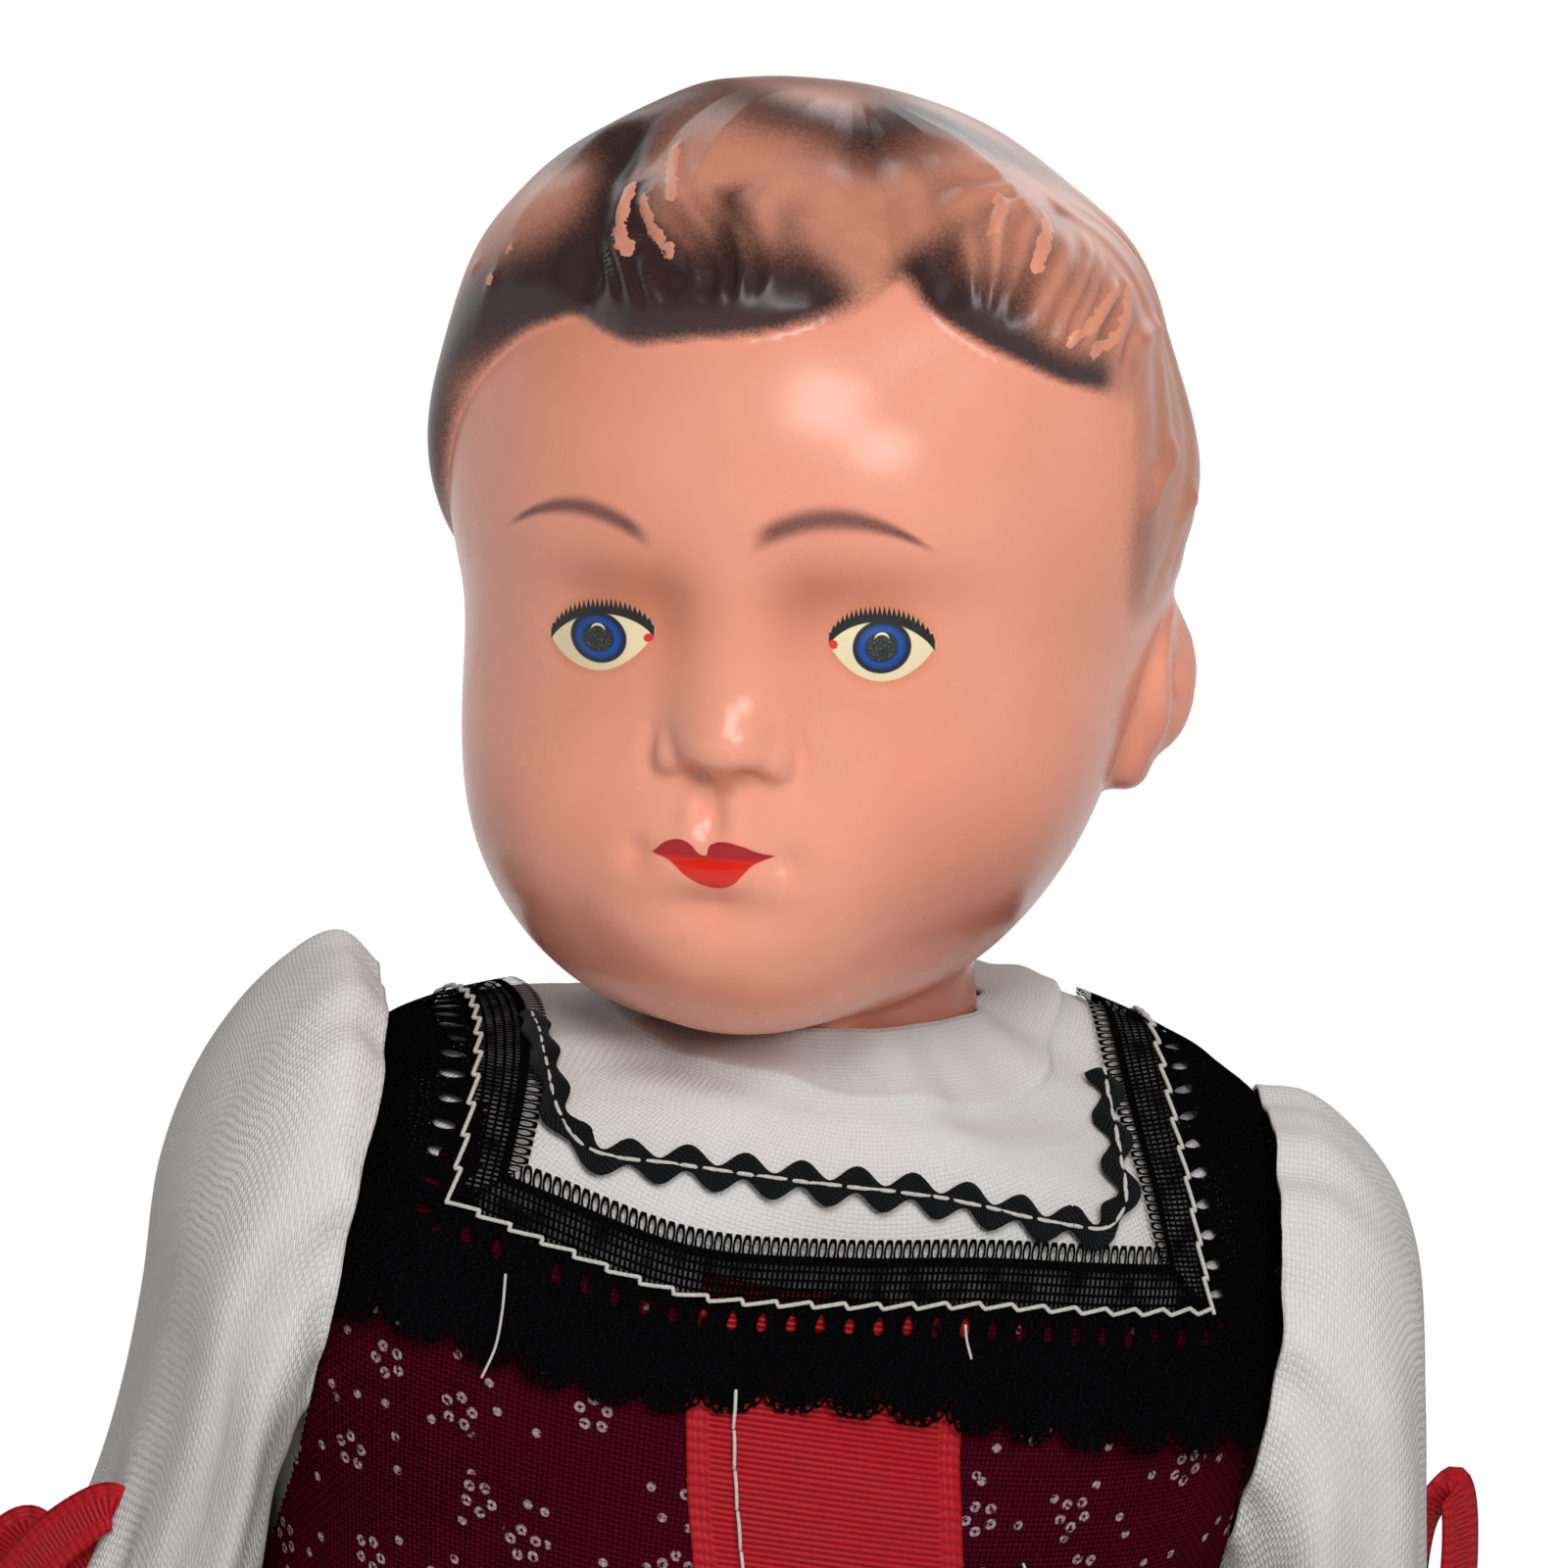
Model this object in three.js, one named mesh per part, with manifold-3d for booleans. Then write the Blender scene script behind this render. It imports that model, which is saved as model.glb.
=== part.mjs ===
// A folk costume doll: a strung doll of hollow moulded plastic shells, dressed in a white blouse,
// a printed bodice with a lace collar, a gathered skirt, stockings and strap shoes.
// Millimetres, +Z up. The doll faces -Y, its own left is +X, and the origin is on the floor below its middle.
import * as THREE from 'three';
import { mergeVertices } from 'three/addons/utils/BufferGeometryUtils.js';
import Module from 'manifold-3d';

const wasm = await Module();
wasm.setup();

// Clearances and thicknesses
const SEAT_GAP = 0.3;
const PLASTIC_WALL = 2;
const BLOUSE_CLOTH = 0.7;
const BODICE_CLOTH = 0.9;
const LACE_CLOTH = 0.8;
const RIBBON_CLOTH = 0.6;
const SKIRT_CLOTH = 1.4;
const PETTICOAT_CLOTH = 1;
const SLEEVE_CLOTH = 1;
const STOCKING_KNIT = 0.7;
const SHOE_LEATHER = 1.2;
const SOLE_THICKNESS = 4;

// Body lengths, stacked upwards from the floor
const LEG_LENGTH = 196;
const HIP_TO_WAIST = 38;
const WAIST_TO_CHEST = 34;
const CHEST_TO_SHOULDER = 28;
const SHOULDER_TO_NECK = 24.5;

// Torso girths, as half widths and half depths
const HIP_HALF_WIDTH = 40;
const HIP_HALF_DEPTH = 28;
const WAIST_HALF_WIDTH = 35;
const WAIST_HALF_DEPTH = 26;
const CHEST_HALF_WIDTH = 40.5;
const CHEST_HALF_DEPTH = 29;
const SHOULDER_HALF_DEPTH = 25;
const NECK_SEAT_RADIUS = 18;

// Joints
const HIP_FACE = 20;
const HIP_DOME_RADIUS = 20;
const HIP_DOME_THICKNESS = 21;
const SHOULDER_FACE = 40;
const ARM_DOME_RADIUS = 13;
const ARM_DOME_THICKNESS = 15;
const HOOK_HOLE_RADIUS = 4.5;
const HOOK_WIRE = 1.1;
const HOOK_KNOB = 2.6;
const ELASTIC_RADIUS = 1.3;
const NECK_BALL_RADIUS = 14.5;
const HEAD_TURN_DEG = -25;
const HEAD_LEAN_DEG = -9.5;

// Arms
const UPPER_ARM = 60;
const FOREARM = 45;
const HAND = 17;
const FINGER = 13;
const ARM_RADIUS = 8;
const WRIST_RADIUS = 5.8;
const UPPER_ARM_OUT_DEG = 8;
const FOREARM_OUT_DEG = 24;
const ELBOW_BEND_DEG = 20;

// Sleeves
const SLEEVE_PUFF_DEPTH = 21;
const SLEEVE_TIE_REACH = 46;
const SLEEVE_FRILL = 9;
const SLEEVE_RIBBON = 6;
const BOW_LOOP = 13;
const BOW_TAIL = 15;
const BOW_RIBBON = 5;

// Costume
const ARMHOLE_X = 42.4;
const YOKE_BOTTOM_DROP = 11;
const LACE_BOTTOM_DROP = 25;
const RICKRACK_DROP = 5;
const RICKRACK_WIDTH = 3.4;
const RICKRACK_WAVE = 7;
const FRONT_RIBBON_WIDTH = 25;
const COLLAR_HEIGHT = 1.8;
const COLLAR_CLOTH = 1.8;
const BUTTON_RADIUS = 2.6;
const BUTTON_THICKNESS = 1.4;
const BUTTON_SPACING = 17;
const WAISTBAND_HEIGHT = 7;
const SKIRT_LENGTH = 152;
const SKIRT_HEM_RADIUS = 89;
const SKIRT_FOLD = 5;
const SKIRT_FOLDS = 12;
const PETTICOAT_FOLD = 3;
const PETTICOAT_DROP = 7;
const BACK_SLIT = 0.8;

// Legs and shoes
const LEG_CENTRE_X = 31;
const ANKLE_X = 26;
const CALF_RADIUS = 12.5;
const ANKLE_RADIUS = 9;
const FOOT_LENGTH = 52;
const FOOT_HALF_WIDTH = 11;
const STOCKING_TOP = 72;
const SHOE_TOP = 17;
const SHOE_STRAP = 6;
const SHOE_BUTTON_RADIUS = 2;

// Heights worked out from the lengths
const HIP_Z = LEG_LENGTH;
const WAIST_Z = HIP_Z + HIP_TO_WAIST;
const CHEST_Z = WAIST_Z + WAIST_TO_CHEST;
const SHOULDER_Z = CHEST_Z + CHEST_TO_SHOULDER;
const NECK_Z = SHOULDER_Z + SHOULDER_TO_NECK;
const TORSO_TOP_Z = NECK_Z - 2;
const COLLAR_Z = TORSO_TOP_Z - 1.2;
const BEYOND = 200;

// Cloth layers, as distances out from the torso
const BLOUSE_IN = SEAT_GAP;
const BLOUSE_OUT = BLOUSE_IN + BLOUSE_CLOTH;
const BODICE_IN = BLOUSE_OUT + SEAT_GAP;
const BODICE_OUT = BODICE_IN + BODICE_CLOTH;
const TRIM_IN = BODICE_OUT + SEAT_GAP;
const LACE_OUT = TRIM_IN + LACE_CLOTH;
const RIBBON_OUT = TRIM_IN + RIBBON_CLOTH;
const SKIRT_OUT = TRIM_IN + 2 * SEAT_GAP + SKIRT_CLOTH;
const WAISTBAND_IN = SKIRT_OUT + 3 * SEAT_GAP;
const SLEEVE_X = ARMHOLE_X + 2 * SEAT_GAP;

const vec = (x, y, z) => new THREE.Vector3(x, y, z);
const radians = THREE.MathUtils.degToRad;
const mix = THREE.MathUtils.lerp;
const steps = (from, to, count) => Array.from({ length: count }, (_, i) => mix(from, to, i / (count - 1)));
const turns = (count) => Array.from({ length: count }, (_, i) => (2 * Math.PI * i) / count);

// Solids and geometry

/** The closed solid of a geometry, with its faces pointing out. */
function solid(geometry) {
  const bare = new THREE.BufferGeometry();
  bare.setAttribute('position', geometry.getAttribute('position').clone());
  bare.setIndex(geometry.index);
  const merged = mergeVertices(bare, 1e-3);
  const corners = merged.index.array;
  const kept = [];
  for (let i = 0; i < corners.length; i += 3) {
    const [a, b, c] = [corners[i], corners[i + 1], corners[i + 2]];
    if (a !== b && b !== c && a !== c) kept.push(a, b, c);
  }
  const made = (faces) => new wasm.Manifold(new wasm.Mesh({
    numProp: 3,
    vertProperties: merged.getAttribute('position').array,
    triVerts: new Uint32Array(faces),
  }));
  const first = made(kept);
  return first.volume() > 0 ? first : made(kept.reverse());
}

/** The geometry of a finished solid. */
function geometryOf(body) {
  const mesh = body.getMesh();
  const geometry = new THREE.BufferGeometry();
  geometry.setAttribute('position', new THREE.BufferAttribute(mesh.vertProperties, 3));
  geometry.setIndex(new THREE.BufferAttribute(mesh.triVerts, 1));
  geometry.computeVertexNormals();
  return geometry;
}

/** The middle of a ring of points. */
const middle = (ring) => ring.reduce((sum, p) => sum.add(p), vec(0, 0, 0)).divideScalar(ring.length);

/** A surface through rings of equal count: capped at both ends, or joined end to end when closed.
 *  Bands from a given one on are halved the other way, so that layers over one form stay parallel. */
function loft(rings, closed = false, otherWayFrom = Infinity) {
  const count = rings[0].length;
  const points = rings.flat();
  const faces = [];
  const bands = closed ? rings.length : rings.length - 1;
  for (let r = 0; r < bands; r += 1) {
    const next = (r + 1) % rings.length;
    for (let i = 0; i < count; i += 1) {
      const j = (i + 1) % count;
      const [a, b] = [r * count + i, r * count + j];
      const [c, d] = [next * count + j, next * count + i];
      if (r < otherWayFrom) faces.push(a, b, c, a, c, d);
      else faces.push(a, b, d, b, c, d);
    }
  }
  if (!closed) {
    const low = points.push(middle(rings[0])) - 1;
    const high = points.push(middle(rings.at(-1))) - 1;
    const top = (rings.length - 1) * count;
    for (let i = 0; i < count; i += 1) {
      const j = (i + 1) % count;
      faces.push(low, j, i, high, top + i, top + j);
    }
  }
  return new THREE.BufferGeometry().setFromPoints(points).setIndex(faces);
}

/** A tube of cloth or rubber: outer rings one way and inner rings back. */
const shell = (outer, inner) => solid(loft([...outer, ...inner.reverse()], true, outer.length));

/** A box between two corners. */
function box(low, high) {
  const size = high.clone().sub(low);
  return solid(new THREE.BoxGeometry(size.x, size.y, size.z).translate(
    (low.x + high.x) / 2, (low.y + high.y) / 2, (low.z + high.z) / 2));
}

/** A round bar along X through the whole doll. */
const crossBar = (radius, z, sides) => solid(
  new THREE.CylinderGeometry(radius, radius, 2 * BEYOND, sides).rotateZ(Math.PI / 2).translate(0, 0, z));

/** A turned solid about X, from a profile of [radius, distance] pairs that starts and ends on the axis. */
const turnedAlongX = (profile, sides) => solid(
  new THREE.LatheGeometry(profile.map(([r, h]) => new THREE.Vector2(r, h)), sides).rotateZ(-Math.PI / 2));

/** A turned solid about Z, from the same kind of profile. */
const turnedAlongZ = (profile, sides) => solid(
  new THREE.LatheGeometry(profile.map(([r, h]) => new THREE.Vector2(r, h)), sides).rotateX(Math.PI / 2));

/** A round tube along a curve. */
function tube(curve, radius, sides, count) {
  const section = new THREE.Shape();
  turns(sides).forEach((a, i) => {
    const put = i ? 'lineTo' : 'moveTo';
    section[put](radius * Math.cos(a), radius * Math.sin(a));
  });
  section.closePath();
  return solid(new THREE.ExtrudeGeometry(section, { extrudePath: curve, steps: count, bevelEnabled: false }));
}

/** An outline in X and Z, pushed right through the doll from front to back. */
function throughY(points) {
  const outline = new THREE.Shape(points.map(([x, z]) => new THREE.Vector2(x, z)));
  const made = new THREE.ExtrudeGeometry(outline, { depth: 2 * BEYOND, bevelEnabled: false });
  return solid(made.rotateX(Math.PI / 2).translate(0, BEYOND, 0));
}

/** A limb through sections { at, wide, deep }, each square to the path, wide along X and deep across it. */
function limb(sections, sides) {
  const path = sections.map((s) => s.at);
  const rings = sections.map((s, i) => {
    const along = path[Math.min(i + 1, path.length - 1)].clone().sub(path[Math.max(i - 1, 0)]).normalize();
    const across = vec(1, 0, 0).addScaledVector(along, -along.x).normalize();
    const other = along.clone().cross(across);
    return turns(sides).map((a) => s.at.clone()
      .addScaledVector(across, s.wide * Math.cos(a))
      .addScaledVector(other, s.deep * Math.sin(a)));
  });
  return solid(loft(rings));
}

// Torso form: rounded sections at levels that every cloth layer shares
const TORSO_SIDES = 20;
const TORSO_POWER = 2.3;

/** A point of a rounded section at an angle. */
function rounded(angle, halfWidth, halfDepth) {
  const [c, s] = [Math.cos(angle), Math.sin(angle)];
  const bend = 2 / TORSO_POWER;
  return [halfWidth * Math.sign(c) * Math.abs(c) ** bend, halfDepth * Math.sign(s) * Math.abs(s) ** bend];
}

/** Torso levels from the crotch to the neck, smoothed through the named girths. */
function torsoLevels() {
  const towardsNeck = (acrossShare, depthShare, z) => vec(
    mix(SHOULDER_FACE, NECK_SEAT_RADIUS, acrossShare), mix(SHOULDER_HALF_DEPTH, NECK_SEAT_RADIUS, depthShare), z);
  const girth = new THREE.CatmullRomCurve3([
    vec(HIP_HALF_WIDTH * 0.3, HIP_HALF_DEPTH * 0.45, HIP_Z - 14),
    vec(HIP_HALF_WIDTH * 0.7, HIP_HALF_DEPTH * 0.82, HIP_Z - 6),
    vec(HIP_HALF_WIDTH, HIP_HALF_DEPTH, HIP_Z + 10),
    vec(WAIST_HALF_WIDTH, WAIST_HALF_DEPTH, WAIST_Z),
    vec(CHEST_HALF_WIDTH, CHEST_HALF_DEPTH, CHEST_Z),
    vec(SHOULDER_FACE + 5, SHOULDER_HALF_DEPTH, SHOULDER_Z + 2),
    towardsNeck(0.15, 0.45, TORSO_TOP_Z - 7.5),
    towardsNeck(0.5, 0.75, TORSO_TOP_Z - 3.5),
    vec(NECK_SEAT_RADIUS + 1, NECK_SEAT_RADIUS + 0.5, TORSO_TOP_Z - 1.2),
    vec(NECK_SEAT_RADIUS, NECK_SEAT_RADIUS, TORSO_TOP_Z),
  ]);
  return girth.getPoints(12).map((p) => ({
    halfWidth: p.x,
    halfDepth: p.y,
    z: p.z,
    lift: 0.9 * THREE.MathUtils.smoothstep(p.z, CHEST_Z, TORSO_TOP_Z - 4),
  }));
}
const LEVELS = torsoLevels();
const TORSO_BOTTOM_Z = LEVELS[0].z;

/** The level at a height, on the straight line between its neighbours. */
function levelAt(z) {
  const above = LEVELS.findIndex((level) => level.z >= z);
  const i = Math.max(above < 0 ? LEVELS.length - 1 : above, 1);
  const [low, high] = [LEVELS[i - 1], LEVELS[i]];
  const share = (z - low.z) / (high.z - low.z);
  const at = (key) => mix(low[key], high[key], share);
  return { halfWidth: at('halfWidth'), halfDepth: at('halfDepth'), lift: at('lift'), z };
}

/** The torso's ring at a height, moved out by a layer's distance. */
function torsoRing(z, out, sides = TORSO_SIDES) {
  const level = levelAt(z);
  return turns(sides).map((a) => {
    const [x, y] = rounded(a, level.halfWidth + out, level.halfDepth + out);
    return vec(x, y, z + out * level.lift);
  });
}

/** The heights of all levels between two heights, with both ends. */
const heightsBetween = (from, to) => [
  from, ...LEVELS.map((level) => level.z).filter((z) => z > from + 0.5 && z < to - 0.5), to];

/** A layer of cloth round the torso between two heights. */
function clothLayer(inner, outer, from, to) {
  const heights = heightsBetween(from, to);
  return shell(heights.map((z) => torsoRing(z, outer)), heights.map((z) => torsoRing(z, inner)));
}

/** The front surface of a layer on the doll's middle line, at a height: its distance from the axis. */
const layerDepth = (z, out) => levelAt(z).halfDepth + out;

const FRONT = box(vec(-BEYOND, -BEYOND, -BEYOND), vec(BEYOND, -SEAT_GAP / 2, 2 * BEYOND + NECK_Z));
const BACK = box(vec(-BEYOND, SEAT_GAP / 2, -BEYOND), vec(BEYOND, BEYOND, 2 * BEYOND + NECK_Z));
const between = (halfWidth) => box(vec(-halfWidth, -BEYOND, -BEYOND), vec(halfWidth, BEYOND, 2 * BEYOND + NECK_Z));
const BACK_OPENING = box(vec(-BACK_SLIT / 2, 0, 0), vec(BACK_SLIT / 2, BEYOND, 2 * BEYOND));

/** The arch in which a leg's top turns, from a face outwards on one side. */
function hipArch(face, radius, sign) {
  const arch = new THREE.Shape();
  arch.moveTo(-radius, -BEYOND);
  arch.lineTo(radius, -BEYOND);
  arch.lineTo(radius, 0);
  arch.absarc(0, 0, radius, 0, Math.PI);
  const made = new THREE.ExtrudeGeometry(arch, { depth: BEYOND, bevelEnabled: false, curveSegments: 9 });
  made.applyMatrix4(new THREE.Matrix4().makeBasis(vec(0, 1, 0), vec(0, 0, 1), vec(1, 0, 0)));
  return solid(made.translate(sign > 0 ? face : -face - BEYOND, 0, HIP_Z));
}

/** The hollow torso, before it is parted into its two halves. */
function torsoShell() {
  const formed = (inset, sides) => {
    const heights = heightsBetween(TORSO_BOTTOM_Z + inset, TORSO_TOP_Z - inset);
    const whole = solid(loft(heights.map((z) => torsoRing(z, -inset, sides))));
    return whole.intersect(between(SHOULDER_FACE - inset))
      .subtract(hipArch(HIP_FACE - inset, HIP_DOME_RADIUS + SEAT_GAP + inset, 1))
      .subtract(hipArch(HIP_FACE - inset, HIP_DOME_RADIUS + SEAT_GAP + inset, -1));
  };
  const neckSeat = new THREE.SphereGeometry(NECK_BALL_RADIUS + 2 * SEAT_GAP, 16, 10).rotateX(Math.PI / 2);
  return formed(0, TORSO_SIDES).subtract(formed(PLASTIC_WALL, 12))
    .subtract(solid(neckSeat.translate(0, 0, NECK_Z)))
    .subtract(crossBar(HOOK_HOLE_RADIUS, SHOULDER_Z, 8))
    .subtract(crossBar(HOOK_HOLE_RADIUS, HIP_Z, 8));
}

// Head form: an implicit surface of blended ellipsoids, above a jaw height over the neck ball at the origin
const JAW_Z = 0.7;
const HEAD_CENTRE = vec(0, 2, JAW_Z + 44);
const HEAD_FORMS = [
  { name: 'cranium', at: [0, -1, 52.3], size: [32, 36.5, 32.6], blend: 0 },
  { name: 'face', at: [0, -7, 35], size: [28, 29, 29.5], blend: 10 },
  { name: 'forehead', at: [0, -13, 55], size: [26.5, 22, 19], blend: 10 },
  { name: 'cheek_left', at: [12, -14, 26], size: [15, 15.5, 15], blend: 10 },
  { name: 'cheek_right', at: [-12, -14, 26], size: [15, 15.5, 15], blend: 10 },
  { name: 'jaw', at: [0, -11, 19.6], size: [19.5, 18, 14.3], blend: 10 },
  { name: 'chin', at: [0, -24.5, 12.6], size: [9, 8.5, 8], blend: 7 },
  { name: 'muzzle', at: [0, -29, 21.5], size: [10, 7, 8.5], blend: 6 },
  { name: 'nose_bridge', at: [0, -33.5, 40], size: [3.6, 4.5, 9.5], blend: 5 },
  { name: 'nose_tip', at: [0, -37, 32.2], size: [4.6, 4.8, 4], blend: 3 },
  { name: 'nostril_left', at: [4.2, -34.6, 30.6], size: [3, 3.4, 2.6], blend: 2 },
  { name: 'nostril_right', at: [-4.2, -34.6, 30.6], size: [3, 3.4, 2.6], blend: 2 },
  { name: 'ear_left', at: [29.6, 4, 33], size: [3.4, 5.8, 8], blend: 3 },
  { name: 'ear_right', at: [-29.6, 4, 33], size: [3.4, 5.8, 8], blend: 3 },
  { name: 'hair_wave_right', at: [-12, -9, 69], size: [15, 16, 14], blend: 8 },
  { name: 'hair_wave_left', at: [15, -16, 65], size: [14.5, 14, 11], blend: 8 },
  { name: 'hair_temple_right', at: [-23, -8, 57], size: [7.3, 12, 12], blend: 8 },
  { name: 'hair_temple_left', at: [23.5, -7, 57], size: [7.5, 12, 13], blend: 8 },
];

/** The signed distance, roughly, from a point to one ellipsoid. */
function offEllipsoid(p, form) {
  const from = [p.x, p.y, p.z - JAW_Z];
  const q = from.map((value, i) => (value - form.at[i]) / form.size[i]);
  const far = Math.hypot(...q);
  const slope = Math.hypot(...q.map((value, i) => value / form.size[i]));
  return slope < 1e-9 ? -Math.min(...form.size) : (far * (far - 1)) / slope;
}

/** The signed distance from a point to the head's blended form. */
function offHead(p) {
  return HEAD_FORMS.reduce((near, form) => {
    const next = offEllipsoid(p, form);
    if (!form.blend) return Math.min(near, next);
    const share = Math.max(form.blend - Math.abs(near - next), 0) / form.blend;
    return Math.min(near, next) - (share * share * form.blend) / 4;
  }, BEYOND);
}

/** The head's solid, inset by a wall, as rays from its centre. Rays crowd towards the face. */
function headForm(inset, around, up) {
  const rings = steps(-85, 85, up).map((latitude) => {
    const rise = radians(latitude);
    return Array.from({ length: around }, (_, i) => {
      const share = (2 * i) / around - 1;
      const turn = Math.PI * (0.45 * share + 0.55 * share ** 3);
      const ray = vec(Math.sin(turn) * Math.cos(rise), -Math.cos(turn) * Math.cos(rise), Math.sin(rise));
      let far = 80;
      for (let tries = 0; tries < 90; tries += 1) {
        const off = offHead(HEAD_CENTRE.clone().addScaledVector(ray, far)) + inset;
        if (off < 0.01) break;
        far -= 0.7 * off;
      }
      return HEAD_CENTRE.clone().addScaledVector(ray, far);
    });
  });
  return solid(loft(rings));
}

const HEAD_SEAM_Y = 9;
const NECK_STUB_RADIUS = NECK_BALL_RADIUS - 1;
const NECK_STUB_HEIGHT = 16;
const PLUG_RADIUS = 9;
const PLUG_THICKNESS = 5;
const NECK_FLOOR_Z = -NECK_BALL_RADIUS * 0.8;

/** The hollow head with its ball neck, before it is parted into face and back. */
function headShell() {
  const ball = new THREE.SphereGeometry(NECK_BALL_RADIUS, 16, 10).rotateX(Math.PI / 2);
  const stub = new THREE.CylinderGeometry(NECK_STUB_RADIUS, NECK_STUB_RADIUS, NECK_STUB_HEIGHT, 16);
  stub.rotateX(Math.PI / 2).translate(0, 0, NECK_STUB_HEIGHT / 2);
  const lower = box(vec(-BEYOND, -BEYOND, NECK_FLOOR_Z), vec(BEYOND, BEYOND, NECK_STUB_HEIGHT));
  const neckHollow = new THREE.CylinderGeometry(PLUG_RADIUS + SEAT_GAP, PLUG_RADIUS + SEAT_GAP, BEYOND / 4, 12);
  neckHollow.rotateX(Math.PI / 2).translate(0, 0, NECK_FLOOR_Z + PLASTIC_WALL + BEYOND / 8);
  const hookHole = new THREE.CylinderGeometry(2 * HOOK_WIRE, 2 * HOOK_WIRE, BEYOND / 4, 8).rotateX(Math.PI / 2);
  return headForm(0, 34, 21).add(solid(ball).intersect(lower)).add(solid(stub))
    .subtract(headForm(PLASTIC_WALL, 12, 7))
    .subtract(solid(neckHollow))
    .subtract(solid(hookHole));
}

// Legs: shin and foot forms that the stocking and the shoe share
const STOCKING_OUT = SEAT_GAP + STOCKING_KNIT;
const SHOE_IN = STOCKING_OUT + SEAT_GAP;
const SHOE_OUT = SHOE_IN + SHOE_LEATHER;
const FOOT_BOTTOM_Z = SOLE_THICKNESS + SEAT_GAP + SHOE_OUT;
const KNEE_Z = mix(FOOT_BOTTOM_Z, HIP_Z, 0.53);
const HEEL_Y = 14;
const TOE_Y = HEEL_Y - FOOT_LENGTH;

const FOOT_SECTIONS = [
  { along: 0, half: 0.5, height: 15 },
  { along: 0.1, half: 0.82, height: 21 },
  { along: 0.38, half: 0.94, height: 22 },
  { along: 0.62, half: 1, height: 17 },
  { along: 0.9, half: 0.84, height: 11 },
  { along: 1, half: 0.42, height: 7 },
];
const FOOT_SIDES = 10;

/** The foot, with a layer's distance added all round. */
function footForm(out) {
  const rings = FOOT_SECTIONS.map((s) => {
    const y = mix(HEEL_Y + out, TOE_Y - out, s.along);
    const high = s.height / 2 + out;
    return turns(FOOT_SIDES).map((a) => {
      const [x, z] = rounded(a, s.half * FOOT_HALF_WIDTH + out, high);
      return vec(ANKLE_X + x, y, FOOT_BOTTOM_Z - out + high + z);
    });
  });
  return solid(loft(rings));
}

/** The shin from inside the foot up to a height, with a layer's distance added. */
function shinForm(out) {
  const at = (z, x, wide, deep, y = 0) => ({ at: vec(x, y, z), wide: wide + out, deep: deep + out });
  return limb([
    at(FOOT_BOTTOM_Z + 10, ANKLE_X, ANKLE_RADIUS - 1, ANKLE_RADIUS - 0.5, 1),
    at(FOOT_BOTTOM_Z + 28, ANKLE_X, ANKLE_RADIUS, ANKLE_RADIUS + 0.5, 1),
    at(mix(FOOT_BOTTOM_Z, KNEE_Z, 0.5), mix(ANKLE_X, LEG_CENTRE_X, 0.3), CALF_RADIUS * 0.9, CALF_RADIUS, 1.5),
    at(mix(FOOT_BOTTOM_Z, KNEE_Z, 0.78), mix(ANKLE_X, LEG_CENTRE_X, 0.45), CALF_RADIUS * 0.95, CALF_RADIUS * 1.05, 1),
    at(KNEE_Z, mix(ANKLE_X, LEG_CENTRE_X, 0.6), CALF_RADIUS * 0.9, CALF_RADIUS, -0.5),
  ], 12);
}
const lowerLeg = (out) => shinForm(out).add(footForm(out));

/** One leg: a turning dome at the hip, a thigh, a shin and a foot. */
function leg() {
  const [r, t] = [HIP_DOME_RADIUS, HIP_DOME_THICKNESS];
  const dome = turnedAlongX([[0, 0], [r, 0], [r, t * 0.3], [r * 0.86, t * 0.65], [r * 0.55, t * 0.92], [0, t]], 16);
  const knee = mix(ANKLE_X, LEG_CENTRE_X, 0.6);
  const thigh = limb([
    { at: vec(LEG_CENTRE_X, 0, HIP_Z - 2), wide: 9.8, deep: r * 0.9 },
    { at: vec(LEG_CENTRE_X, 0, HIP_Z - 16), wide: 10.3, deep: r * 0.86 },
    { at: vec(mix(knee, LEG_CENTRE_X, 0.6), 0, mix(KNEE_Z, HIP_Z, 0.5)), wide: CALF_RADIUS, deep: r * 0.76 },
    { at: vec(knee, -0.5, KNEE_Z - 1), wide: CALF_RADIUS * 0.9, deep: CALF_RADIUS },
  ], 12);
  return dome.translate(HIP_FACE + SEAT_GAP, 0, HIP_Z).add(thigh).add(lowerLeg(0));
}

/** A stringing hook of a limb: a stem on the joint's axis with a knob that keeps the elastic's loop. */
function limbHook(face, z) {
  const reach = PLASTIC_WALL + 8;
  const stem = turnedAlongX([
    [0, -reach - HOOK_KNOB], [HOOK_KNOB * 0.8, -reach - HOOK_KNOB * 0.6], [HOOK_KNOB, -reach],
    [HOOK_KNOB * 0.8, -reach + HOOK_KNOB * 0.6], [HOOK_WIRE, -reach + HOOK_KNOB], [HOOK_WIRE, 0], [0, 0]], 8);
  return stem.translate(face, 0, z);
}
const HOOK_LOOP_REACH = PLASTIC_WALL + 8 - HOOK_KNOB - ELASTIC_RADIUS - SEAT_GAP;

const LEG_LOW = box(vec(-BEYOND, -BEYOND, -1), vec(BEYOND, BEYOND, STOCKING_TOP));

/** A knitted stocking over the foot and shin, open at its top. */
const stocking = () => lowerLeg(STOCKING_OUT).subtract(lowerLeg(SEAT_GAP)).intersect(LEG_LOW);

const STRAP_FRONT_Y = mix(HEEL_Y, TOE_Y, 0.6);
const SHOE_LOW = box(vec(-BEYOND, -BEYOND, 0), vec(BEYOND, BEYOND, SHOE_TOP));

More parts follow.
